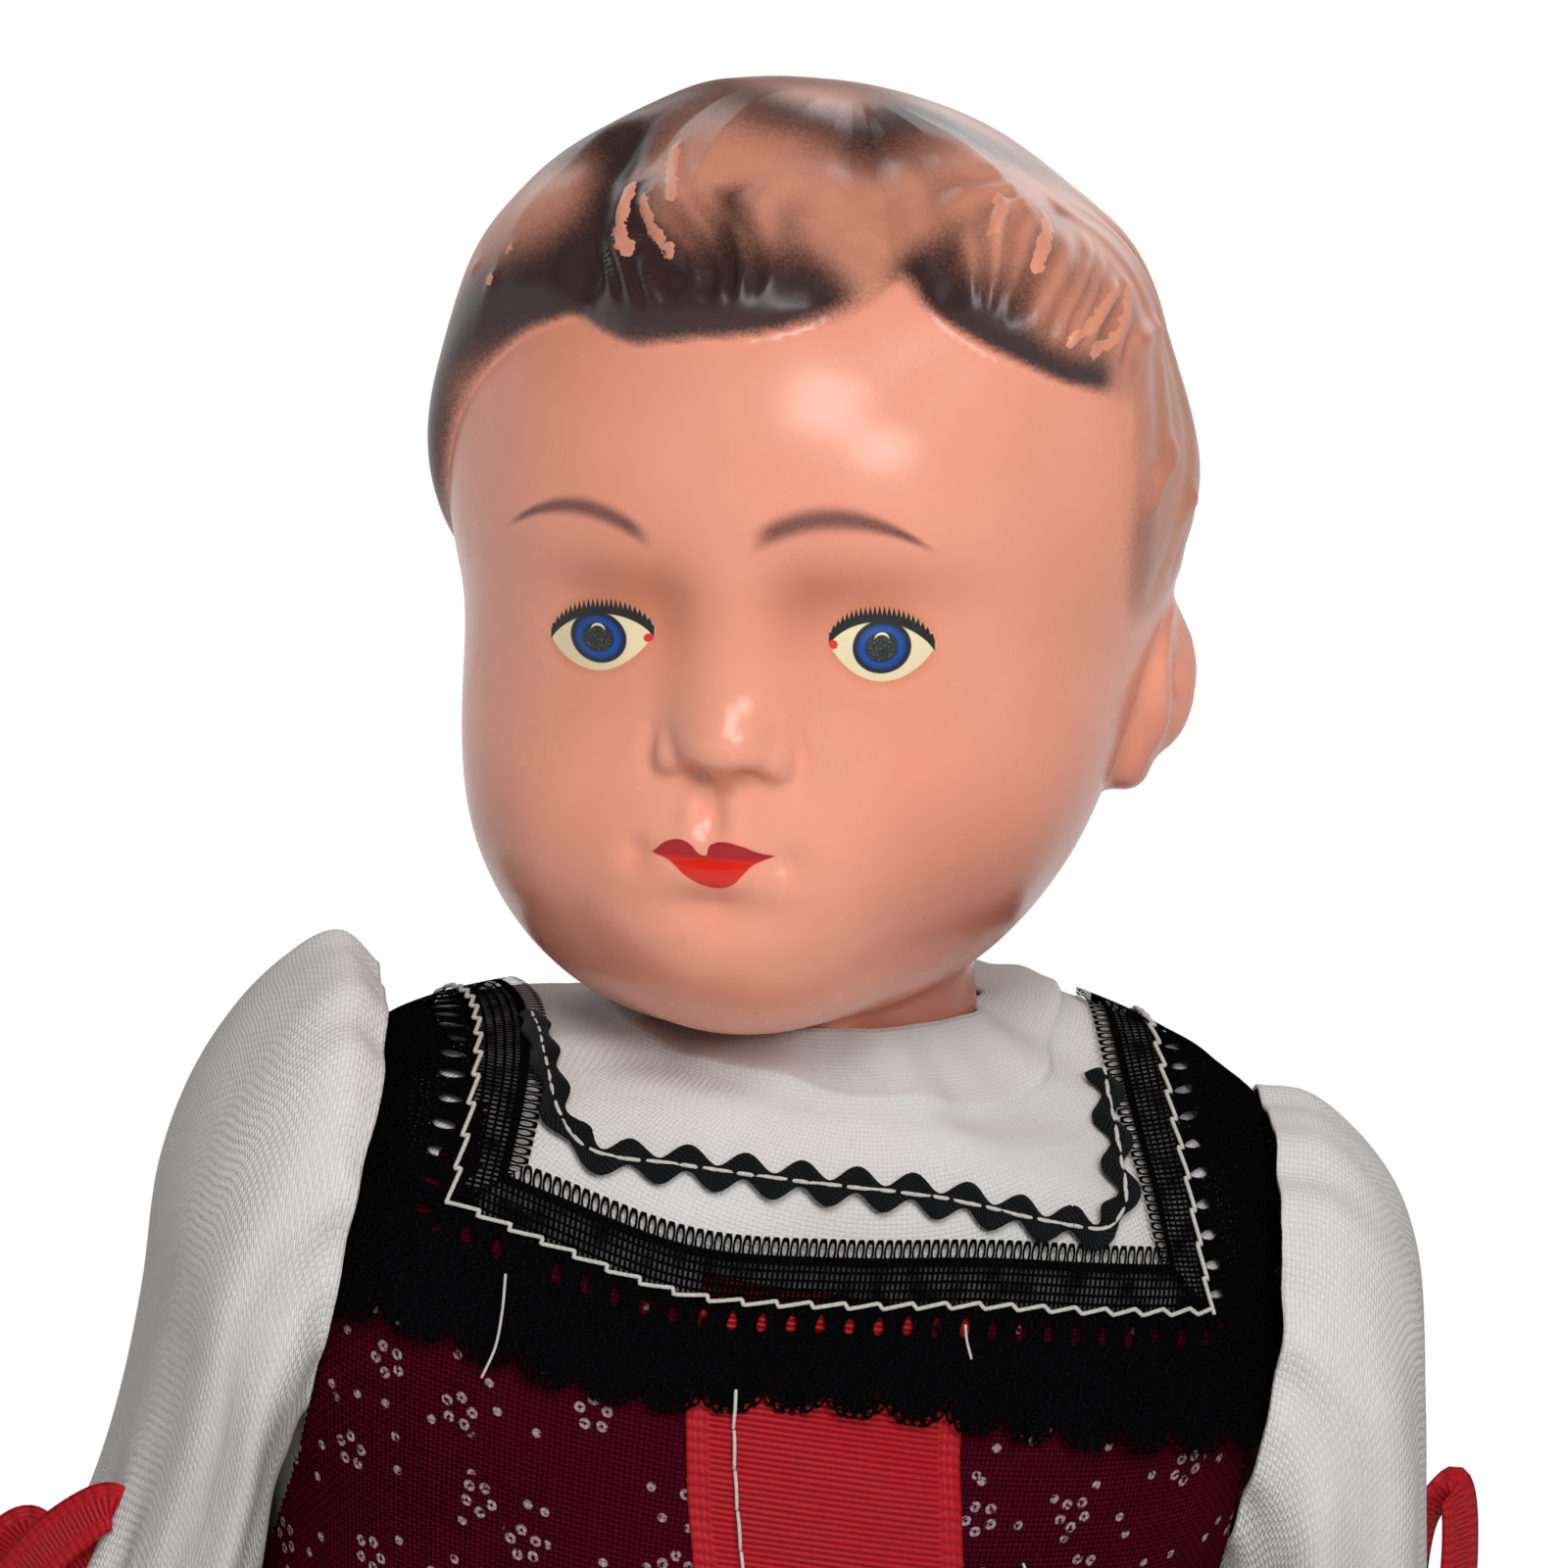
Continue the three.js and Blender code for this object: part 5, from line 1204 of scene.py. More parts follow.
@dataclass(frozen=True)
class FloralCotton(Cotton):
    """Dark red cotton printed with rings of five pale petals and scattered dots."""

    first: Colour = paint(62, 7, 25)
    second: Colour = paint(50, 5, 20)
    # Painted shade in the gaps between threads.
    gap: Colour = paint(8, 0, 3)
    pitch: float = 0.46
    depth: float = 0.2
    open_weave: float = 0.95
    # A lighter red laid on the threads' raised crowns as painted highlight.
    raised: Colour = paint(84, 13, 32)
    flower_apart: float = 9.0
    petal_reach: float = 1.2

    def cloth(self, graph: Graph) -> tuple[Socket, Fields]:
        """The dyed cloth with its print, which the weave breaks up.

        Args:
            graph: Makes the material's nodes.

        Returns:
            The colour, and what the weave puts out.
        """
        colour, woven = super().cloth(graph)
        # Painted highlight on the threads' raised crowns.
        colour = graph.mix(woven["Height"].rise(0.6, 1.05) * 0.8, colour, self.raised)
        flat = graph.flat()
        u, v, _ = graph.parts(flat)
        spot_u, spot_v, _ = graph.parts(graph.cells(flat, self.flower_apart, 0.75, True).outputs["Position"])
        du, dv = u - spot_u, v - spot_v
        fold = 2 * math.pi / 5
        angle = (dv.math("ARCTAN2", du) / fold + 0.5 + spot_u * 0.37).share() * fold - fold / 2
        reach = far(du, dv)
        petal = far(reach * angle.math("COSINE") - self.petal_reach, reach * angle.wave())
        flower = petal.rise(0.52, 0.42) * petal.rise(0.1, 0.2)
        dots = graph.cells(flat, 3.7, 1.0, True)
        dot = Field(graph, dots.outputs["Distance"]).rise(0.12, 0.09) * reach.rise(1.9, 2.2)
        kept = Field(graph, dots.outputs["Color"]).rise(0.35, 0.4)
        worn = graph.noise(flat, 0.5, 2).rise(0.34, 0.5)
        threads = 1.0 - woven["Gap"] * 0.8
        ink = (flower.high(dot * kept)) * worn * threads
        return graph.mix(ink * 0.75, colour, paint(190, 166, 170)), woven


@dataclass(frozen=True)
class Lace(Finish):
    """Machine lace: loops, a cord, a ladder band, eyelets, and dense net out to a scalloped edge."""

    colour: Colour = paint(6, 6, 7)
    lit: Colour = paint(24, 24, 27)

    def dress(self, graph: Graph, shader: Node) -> None:
        """Wire the lace's threads, and leave its holes clear."""
        flat = graph.flat()
        u, v, _ = graph.parts(flat)
        loop = far(((u / 0.84).share() - 0.5) * 0.84 / 0.3, (v + 4.85) / 0.95)
        loops = abs(loop - 1.0).rise(0.4, 0.26) * v.rise(-4.1, -4.2)
        cord = abs(v + 3.85).rise(0.5, 0.4)
        rungs = abs((u / 0.46).share() - 0.5).rise(0.34, 0.26)
        rails = abs(((v + 3.3) / 0.78).share() - 0.5).rise(0.14, 0.24)
        filled = graph.noise(flat, 2.5).rise(0.4, 0.7) * 0.65 + 0.3
        ladder = rungs.high(1.0 - rails).high(filled) * v.rise(-4.0, -3.9) * v.rise(0.2, 0.0)
        hole_u, hole_v = ((u / 2.6).share() - 0.5) * 2.6, v - 2.1
        eyelet = far(hole_u / (0.42 + hole_v * 0.16), hole_v / 1.1).rise(1.1, 0.8)
        eyelet = eyelet * v.rise(0.6, 0.8) * graph.noise(flat, 4.0).rise(0.36, 0.48)
        mesh = Field(graph, graph.cells(flat, 0.62, 0.6, True).outputs["Distance"])
        clear = mesh.rise(0.2, 0.05) * graph.noise(flat, 3.0).rise(0.5, 0.62)
        net = v.rise(-0.1, 0.1) * (1.0 - eyelet) * (1.0 - clear * 0.75)
        scallop = 10.2 + abs((u * (math.pi / 5.4)).wave()) * 1.7
        tip = far(((u / 0.9).share() - 0.5) * 0.9 / 0.36, (v - scallop - 0.35) / 0.55)
        picot = abs(tip - 1.0).rise(0.5, 0.3) * v.rise(9.9, 10.1)
        solid = loops.high(cord).high(ladder).high(net * (scallop - v).rise(-0.05, 0.1)).high(picot)
        threads = graph.noise(graph.place(u, v * 3.0), 0.35, 3)
        graph.wire(shader, Base_Color=graph.mix(threads.rise(0.45, 0.75), self.colour, self.lit),
                   Alpha=solid.low(1.0), Roughness=threads * 0.3 + 0.55,
                   Normal=graph.bumped(threads + rungs * 0.5 - mesh, 0.25), Specular_IOR_Level=0.0)


@dataclass(frozen=True)
class Braid(Finish):
    """Black woven braid with slanting ribs."""

    colour: Colour = paint(9, 10, 11)

    def dress(self, graph: Graph, shader: Node) -> None:
        """Wire the braid's ribs."""
        flat = graph.flat()
        u, v, _ = graph.parts(flat)
        ribs = abs(((u + v * 0.8) / 0.34 * math.pi).wave())
        ends = abs(((u - v * 0.9) / 0.5 * math.pi).wave())
        height = ribs * (0.5 + ends * 0.5)
        # Painted highlight: the ribs are lighter where they stand highest.
        graph.wire(shader, Base_Color=graph.mix(height, self.colour, paint(27, 29, 31)),
                   Roughness=height * -0.15 + 0.72, Normal=graph.bumped(height, 0.2),
                   Specular_IOR_Level=0.08)


@dataclass(frozen=True)
class Grosgrain(Finish):
    """Red ribbon with fine cross ribs and smoother selvedges."""

    width: float = 25.0
    # A lit and a shaded red, mixed by the ribs' height below.
    first: Colour = paint(188, 25, 35)
    second: Colour = paint(132, 10, 20)

    def dress(self, graph: Graph, shader: Node) -> None:
        """Wire the ribs, the edges and the ribbon's satin gloss."""
        flat = graph.flat()
        u, v, _ = graph.parts(flat)
        wander = graph.noise(graph.place(u * 0.15, v), 1.4, 2) * 0.2
        ribs = abs(((v + wander) / 0.5 * math.pi).wave())
        edge = abs(u).rise(self.width / 2 - 2.3, self.width / 2 - 1.7)
        stitch = abs((v / 0.9 * math.pi).wave())
        height = graph.blend(edge, ribs, stitch * 0.7 + abs((u / 0.6 * math.pi).wave()) * 0.3)
        fine = graph.noise(graph.place(u * 3.0, v * 0.6), 1.0, 2)
        # Painted light and shade: lighter on the ribs' crowns and darker in their grooves, with some random
        # tone.
        colour = graph.mix((height * 0.75 + fine * 0.35 - 0.1), self.second, self.first)
        graph.wire(shader, Base_Color=colour, Roughness=0.62 - height * 0.14,
                   Normal=graph.bumped(height, 0.16), Specular_IOR_Level=0.15)


@dataclass(frozen=True)
class Thread(Finish):
    """Twisted sewing thread."""

    colour: Colour = paint(214, 210, 204)

    def dress(self, graph: Graph, shader: Node) -> None:
        """Wire the twist as a fine grain."""
        grain = graph.noise(graph.solid(), 0.25, 2)
        graph.wire(shader, Base_Color=graph.mix(grain, self.colour, paint(170, 166, 160)),
                   Normal=graph.bumped(grain, 0.1), Roughness=0.8, Specular_IOR_Level=0.1)


# The dressed body


class Body:
    """The torso's girths, from which every garment on it takes its place."""

    power = 2.3
    girths = ((12, 12.6, 182), (28, 22.96, 190), (40, 28, 206), (35, 26, 234), (40.5, 29, 268), (45, 25, 298),
              (36.7, 21.85, 311), (29, 19.75, 315), (19, 18.5, 317.3), (18, 18, 318.5))
    top = 318.5
    neck_lean = 0.165
    side_step = 0.5
    share_steps = 160

    def __init__(self) -> None:
        """Work out the levels, and tables of the body's outline over each shoulder."""
        self.levels = curve_through(self.girths, 24)
        self.sides = np.arange(0, 45.01, self.side_step)
        self.shares = np.linspace(0, 1, self.share_steps + 1)
        rows = [self.over_shoulder(x) for x in self.sides]
        self.half_length = np.array([row[0] for row in rows])
        self.depth = np.array([row[1] for row in rows])
        self.height = np.array([row[2] for row in rows])

    def girth(self, z: Array) -> tuple[Array, Array]:
        """Half width and half depth at heights."""
        width, depth, height = self.levels.T
        return np.interp(z, height, width), np.interp(z, height, depth)

    def lifted(self, z: Array) -> Array:
        """How much a layer's distance lifts it: nothing on the chest, most on the shoulders."""
        return 0.9 * smooth(268, self.top - 4, z)

    def rise(self, p: Array) -> Array:
        """Lift cloth where it stands up off the doll's left shoulder, and a little off the right.

        Args:
            p: The points.

        Returns:
            The lifted points.
        """
        x, y = p[..., 0], p[..., 1]
        up = smooth(-19, 2, y) * smooth(268, 306, p[..., 2])
        return p + np.stack([0 * x, 0 * x, up * (8.3 * smooth(3, 20, x) + 1.8 * smooth(-6, -24, x))], -1)

    def ring(self, angle: Array, z: Array, out: Array | float) -> Array:
        """Points round the torso.

        Args:
            angle: Angles in radians, 0 at the doll's left and a quarter turn less at its front.
            z: Heights.
            out: The layer's distance out from the torso.

        Returns:
            The points.
        """
        half_width, half_depth = self.girth(z)
        c, s = np.cos(angle), np.sin(angle)
        x = (half_width + out) * np.sign(c) * np.abs(c) ** (2 / self.power)
        y = (half_depth + out) * np.sign(s) * np.abs(s) ** (2 / self.power)
        return self.rise(np.stack([x, y, z + out * self.lifted(z)], -1))

    def front(self, x: Array, z: Array, out: Array | float) -> Array:
        """Points on the front, at places across and heights.

        Args:
            x: Places across.
            z: Heights.
            out: The layer's distance out from the torso.

        Returns:
            The points.
        """
        half_width, half_depth = self.girth(z)
        inside = np.clip(1 - (np.abs(x) / (half_width + out)) ** self.power, 0, 1) ** (1 / self.power)
        return self.rise(np.stack([x, -(half_depth + out) * inside, z + out * self.lifted(z)], -1))

    def over_shoulder(self, x: float, out: float = 2.5) -> tuple[float, Array, Array]:
        """The outline at one place across, from the lower chest up to the shoulder's ridge or the neck.

        Args:
            x: The place across.
            out: The distance of the trims' layer.

        Returns:
            The outline's length, and depths and heights at even shares of it.
        """
        z = np.linspace(284, self.top, 400)
        half_width, half_depth = self.girth(z)
        inside = 1 - (x / (half_width + out)) ** self.power
        last = int(np.argmax(inside <= 0)) if (inside <= 0).any() else len(z)
        y = -(half_depth + out)[:last] * np.clip(inside[:last], 0, 1) ** (1 / self.power)
        h = (z + out * self.lifted(z))[:last]
        if last < len(z):
            y, h = np.append(y, 0.0), np.append(h, h[-1] + 0.05)
        length = np.append(0, np.cumsum(np.hypot(np.diff(y), np.diff(h))))
        at = self.shares * length[-1]
        return length[-1], np.interp(at, length, y), np.interp(at, length, h)

    def wrap(self, x: Array, along: Array, out: Array | float) -> Array:
        """Points on the cloth over the shoulders.

        Args:
            x: A grid of places across the body.
            along: Lengths of cloth from the lower chest, over the ridge and down the back.
            out: Distances out from the trims' layer.

        Returns:
            The grid of points.
        """
        side = np.clip(np.abs(x), 0, self.sides[-1] - 0.01)
        half = np.interp(side, self.sides, self.half_length)
        back = along > half
        share = np.clip(np.where(back, 2 * half - along, along) / half, 0, 1)
        rows, columns = side / self.side_step, share * self.share_steps
        row = np.clip(rows.astype(int), 0, len(self.sides) - 2)
        column = np.clip(columns.astype(int), 0, self.share_steps - 1)
        down, right = rows - row, columns - column

        def look(table: Array) -> Array:
            """Read a table between its rows and columns."""
            low = table[row, column] * (1 - right) + table[row, column + 1] * right
            high = table[row + 1, column] * (1 - right) + table[row + 1, column + 1] * right
            return low * (1 - down) + high * down

        points = self.rise(np.stack([x, np.where(back, -1, 1) * look(self.depth), look(self.height)], -1))
        normals = grid_normals(points)
        facing = np.sign(np.mean(np.sum(normals * (points - (0, 0, 285)), -1)))
        return points + facing * normals * np.broadcast_to(out, x.shape)[..., None]

    def along_at(self, x: Array, z: Array) -> Array:
        """The length of cloth from the lower chest to a height on the front.

        Args:
            x: Places across.
            z: Heights.

        Returns:
            The lengths.
        """
        result = []
        for side, height in zip(np.abs(np.atleast_1d(x)), np.atleast_1d(z)):
            row = min(int(round(side / self.side_step)), len(self.sides) - 1)
            result.append(np.interp(height, self.height[row], self.shares) * self.half_length[row])
        return np.array(result)


def flat_of(points: Array, wrap: bool = False) -> Array:
    """Lay a grid of cloth out flat: lengths along its middle row, and down each column.

    Args:
        points: The grid of points.
        wrap: Joins the last column to the first.

    Returns:
        The flat places, with one more column where the grid wraps.
    """
    closed = np.concatenate([points, points[:, :1]], 1) if wrap else points
    middle = closed[len(closed) // 2]
    u = lengths(middle)
    steps = np.linalg.norm(np.diff(closed, axis=0), axis=2)
    v = np.vstack([np.zeros(closed.shape[1]), np.cumsum(steps, axis=0)])
    return laid(u, v)


def tube(name: str, points: Array) -> Piece:
    """Make a closed band of cloth from a grid of points, with its flat places."""
    return grid_object(name, points, wrap=True, flat=flat_of(points, wrap=True))


def keep_faces(made: Piece, wanted: Callable[[Vector], bool]) -> None:
    """Keep the faces of a mesh whose middles are wanted, given in millimetres.

    Args:
        made: The object.
        wanted: Says whether a face with this middle stays.
    """
    work = bmesh.new()
    work.from_mesh(made.data)
    gone = [f for f in work.faces if not wanted(f.calc_center_median() / MM)]
    bmesh.ops.delete(work, geom=gone, context="FACES")
    work.to_mesh(made.data)
    work.free()


def dressed(made: Piece, finish: Finish, slot: str, body: str, *nodes: str) -> Piece:
    """Finish a new piece, stand it in for its nodes and let it ride.

    Args:
        made: The piece.
        finish: Its finish.
        slot: Not used.
        body: The body that it rides on.
        nodes: The nodes that it stands for, which may be none.

    Returns:
        The piece.
    """
    finish.put_on(made)
    if nodes:
        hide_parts(*nodes)
    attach(made, body)
    return made


# Garments on the torso


WHITE = Cotton("white_cotton")
PRINT = FloralCotton("floral_cotton")
BLACK_LACE = Lace("black_lace")
BLACK_BRAID = Braid("black_braid")
WIDE_RIBBON = Grosgrain("wide_ribbon")
NARROW_RIBBON = Grosgrain("narrow_ribbon", width=6.0)
WHITE_THREAD = Thread("white_thread")
WHITE_LACE = Lace("white_lace", colour=paint(214, 212, 210), lit=paint(228, 226, 224))
SEWN_LINE = ((-34.1, 305.0), (-25.8, 303.4), (-13.4, 301.3), (-0.3, 302.3), (12.9, 304.0), (25, 304.6),
             (35.0, 305.0))
STITCH_ROWS = np.array((0.3, 0.0, -0.3))


@dataclass
class Bodice:
    """The printed bodice: a front and two back halves that button behind."""

    body: Body
    out: float = 1.9
    bottom: float = 232.0
    top: float = 313.5
    armhole_x: float = 42.2
    armhole_z: float = 298.0
    armhole_radius: float = 15.0
    yoke_x: float = 32.0
    yoke_z: float = 303.6
    slit: float = 0.4
    arm_x: float = 34.0
    back_depth: float = 31.0

    def panel(self, name: str, first: float, last: float, columns: int) -> Piece:
        """One panel between two angles in degrees, with drag lines, cut out for the arms and the yoke.

        Args:
            name: The panel's name.
            first, last: Its angles.
            columns: How many columns its mesh has.

        Returns:
            The panel.
        """
        angles = np.radians(np.linspace(first, last, columns))
        angle, z = np.meshgrid(angles, np.linspace(self.top, self.bottom, 110))
        pull = 0.35 * np.sin(angle * 7 + z * 0.05) * np.sin(z * 0.11 + angle * 2)
        pull = pull + 0.3 * np.sin(angle * 23 + 1.5 * np.sin(z * 0.2)) * smooth(262, 238, z)
        points = self.body.ring(angle, z, self.out + 0.25 * pull)
        made = grid_object(name, points, flat=flat_of(points))
        line = curve_through(SEWN_LINE, 12)

        def wanted(at: Vector) -> bool:
            """Whether a face there belongs to the panel."""
            near_arm = math.hypot(at.y, at.z - self.armhole_z) < self.armhole_radius
            inside_arm = near_arm and abs(at.x) > self.arm_x
            edge = float(np.interp(at.x, line[:, 0], line[:, 1])) - 0.5 if at.y < 0 else self.yoke_z
            inside_yoke = abs(at.x) < self.yoke_x and at.z > edge
            return abs(at.x) < self.armhole_x and not inside_arm and not inside_yoke

        keep_faces(made, wanted)
        return made

    def build(self) -> list[Piece]:
        """Make the three panels.

        Returns:
            The panels.
        """
        gap = math.degrees(self.slit / self.back_depth)
        front = self.panel("bodice_front_cloth", 180.2, 359.8, 300)
        left = self.panel("bodice_back_left_cloth", 0.2, 90 - gap, 150)
        right = self.panel("bodice_back_right_cloth", 90 + gap, 179.8, 150)
        for made, node, ratio in ((front, "bodice_front", 0.75), (left, "bodice_back_left", 1.5),
                                  (right, "bodice_back_right", 1.5)):
            dressed(made, PRINT, "burgundy_print", "torso", node)
            thicken(made, 0.6)
        return [front, left, right]


@dataclass
class Yoke:
    """The white yoke, which gathers into a loose collar standing round the neck."""

    body: Body
    neck_z: float = 318.3
    shoulder_z: float = 312.0
    hem_z: float = 299.0
    blouse_hem_z: float = 231.0
    half_width: float = 38.0
    collar_top: float = 324.6
    collar_radius: float = 14.4
    collar_aside: float = 1.0
    blouse_out: float = 0.7
    arm_x: float = 33.0
    armhole_z: float = 296.0
    armhole_radius: float = 14.5

    def folds(self, angle: Array, share: Array) -> Array:
        """Soft folds of the gathers, deepest at the neck."""
        waves = np.sin(angle * 9 + 0.7) + 0.6 * np.sin(angle * 14 + 2.1) + 0.5 * np.sin(angle * 5 - 0.4)
        return waves * (0.34 * smooth(0.75, 0.1, share) + 0.08)

    def build(self) -> list[Piece]:
        """Make the yoke with its collar in one cloth, and the blouse under the bodice.

        Returns:
            The yoke and the blouse.
        """
        columns = 320
        turn = turns(columns)
        z = np.concatenate([np.linspace(self.neck_z, self.shoulder_z, 34, endpoint=False),
                            np.linspace(self.shoulder_z, self.hem_z, 32)])
        angle, height = np.meshgrid(turn, z)
        share = np.linspace(0.28, 1, len(z))[:, None] + 0 * angle
        tucked = smooth(305, 302, height)
        outside = self.body.ring(angle, height, 2.0 - tucked + (1 - tucked) * self.folds(angle, share))
        rim = outside[0]
        lean = self.body.neck_lean
        across, deep = self.collar_radius * np.cos(turn), self.collar_radius * np.sin(turn)
        top = np.stack([across - self.collar_aside, deep, self.collar_top + lean * across], -1)
        rows = []
        for k in np.linspace(0, 1, 14, endpoint=False):
            bow = math.sin(k * math.pi)
            row = top * (1 - k) ** 1.3 + rim * (1 - (1 - k) ** 1.3)
            out = 0.8 * self.folds(turn, np.full(columns, 0.28 * k)) - bow
            rows.append(row + unit(row * (1, 1, 0)) * out[:, None])
        points = np.concatenate([np.array(rows), outside])
        made = tube("blouse_yoke_cloth", points)
        keep_faces(made, lambda at: abs(at.x) < self.half_width)
        dressed(made, WHITE, "white_cotton", "torso", "blouse_yoke", "blouse_neck_band")
        thicken(made, 0.6)
        under_angle, under_z = np.meshgrid(turn[::2], np.linspace(self.shoulder_z, self.blouse_hem_z, 60))
        under = tube("blouse_body_cloth", self.body.ring(under_angle, under_z, self.blouse_out))

        def beside_arm(at: Vector) -> bool:
            """Whether a face there is outside the armholes."""
            near_arm = math.hypot(at.y, at.z - self.armhole_z) < self.armhole_radius
            return not (near_arm and abs(at.x) > self.arm_x)

        keep_faces(under, beside_arm)
        dressed(under, WHITE, "white_cotton", "torso", "blouse_body")
        return [made, under]


@dataclass
class LaceCollar:
    """Black lace sewn round the yoke as a square frame, with mitred corners and a slit behind."""

    body: Body
    inner: float = -5.9
    outer: float = 12.6
    back_z: float = 303.5
    overlap: float = 1.2
    corners: Pair = (-34.1, 35.0)
    shoulders: Pair = (-32.0, 29.5)
    strip_lengths: Point = (92, 70, 46)
    reach: float = 13.0
    slit: float = 0.7
    back_x: float = 20.0
    stitch_pitch: float = 3.1
    stitch_slant: float = 0.88

    def sewn(self, x: Array) -> Array:
        """Lengths along the cloth of the line where the front is sewn on."""
        line = curve_through(SEWN_LINE, 12)
        return self.body.along_at(x, np.interp(x, line[:, 0], line[:, 1]))

    def front(self, v: Array, columns: int) -> tuple[Array, Array]:
        """The front strip's places: rows by distance out from the sewn line.

        Args:
            v: Distances out from the sewn line.
            columns: How many places each row has.

        Returns:
            Places across, and lengths along the cloth.
        """
        share = np.linspace(0, 1, columns)
        first, last = self.corners
        x = (first - v)[:, None] + (last - first + 2 * v)[:, None] * share
        places = np.linspace(first - self.reach, last + self.reach, 200)
        along = np.interp(x, places, self.sewn(places))
        drawn_up = 1 - 0.24 * bump((x + 3) / 17) * (v > 0)[:, None]
        return x, along - v[:, None] * drawn_up

    def side(self, v: Array, columns: int, way: int, overlap: float) -> tuple[Array, Array]:
        """One side strip's places, from the front corner over the shoulder to the back corner.

        Args:
            v: Distances out from the sewn line.
            columns: How many places each row has.
            way: 1 on the doll's left and -1 on its right.
            overlap: How far it starts before its corner.

        Returns:
            Places across, and lengths along the cloth.
        """
        share = np.linspace(0, 1, columns)
        corner = self.corners[0] if way < 0 else self.corners[1]
        ridge = self.shoulders[0] if way < 0 else self.shoulders[1]
        x = corner + (ridge - corner) * np.sin(share * math.pi) + way * v[:, None]
        whole = 2 * np.interp(np.abs(x), self.body.sides, self.body.half_length)
        start = self.sewn(np.array([corner]))[0] - v[:, None] - overlap
        end = self.body.along_at(np.array([corner]), np.array([self.back_z]))[0] - v[:, None]
        return x, start + share * (whole - start - end)

    def back(self, v: Array, columns: int, way: int) -> tuple[Array, Array]:
        """One back strip's places, from the slit to its corner.

        Args:
            v: Distances out from the sewn line.
            columns: How many places each row has.
            way: 1 on the doll's left and -1 on its right.

        Returns:
            Places across, and lengths along the cloth.
        """
        share = np.linspace(0, 1, columns)
        corner = (self.corners[0] if way < 0 else self.corners[1]) + way * v[:, None]
        start = self.slit * way
        x = start + (corner - start) * share
        height = self.body.along_at(np.array([self.back_x]), np.array([self.back_z]))[0]
        whole = 2 * np.interp(np.abs(x), self.body.sides, self.body.half_length)
        return x, whole - height + v[:, None] + 0 * x

    def strips(self, v: Array, fine: float, overlap: float) -> list[tuple[str, Array, Array]]:
        """All five strips' places, with columns about a distance apart in millimetres."""
        front, sides, backs = (int(length / fine) for length in self.strip_lengths)
        return [("front", *self.front(v, front)),
                ("left", *self.side(v, sides, 1, overlap)), ("right", *self.side(v, sides, -1, overlap)),
                ("back_left", *self.back(v, backs, 1)), ("back_right", *self.back(v, backs, -1))]

    def build(self) -> list[Piece]:
        """Make the lace and the zigzag stitch that holds it.

        Returns:
            The lace and the stitch.
        """
        v = np.linspace(self.inner, self.outer, 26)
        parts = []
        for name, x, along in self.strips(v, 0.7, self.overlap):
            u = x if name in ("front", "back_left", "back_right") else along
            lift = smooth(2, 12, v)[:, None] * (0.55 + 0.5 * np.sin(u * 0.37 + 0.6) * np.sin(u * 0.13 + 2))
            corner = smooth(22, 40, np.abs(x)) * smooth(20, 4, along) * smooth(4, 12, v)[:, None]
            points = self.body.wrap(x, along, 0.55 + lift + 0.9 * corner)
            flat = laid(u, v[:, None])
            parts.append(grid_object(f"lace_{name}", points, flat=flat))
        made = dressed(join("lace_collar_cloth", parts), BLACK_LACE, "black_lace", "torso", "lace_collar")
        return [made, self.stitches()]

    def stitches(self) -> Piece:
        """The white zigzag stitch along the sewn line.

        Returns:
            The stitch.
        """
        parts = []
        for name, x, along in self.strips(STITCH_ROWS, 0.18, 0.0):
            points = self.body.wrap(x, along, 0.85)
            length = lengths(points[1])
            phase = (length / self.stitch_pitch) % 1
            slant = self.stitch_slant
            tooth = np.where(phase < slant, phase / slant, (1 - phase) / (1 - slant))
            line = points[0] * (1 - tooth)[:, None] + points[2] * tooth[:, None]
            parts.append(rod(f"stitch_{name}", line, 0.2, 6))
        return dressed(join("lace_stitches", parts), WHITE_THREAD, "white_cotton", "torso")


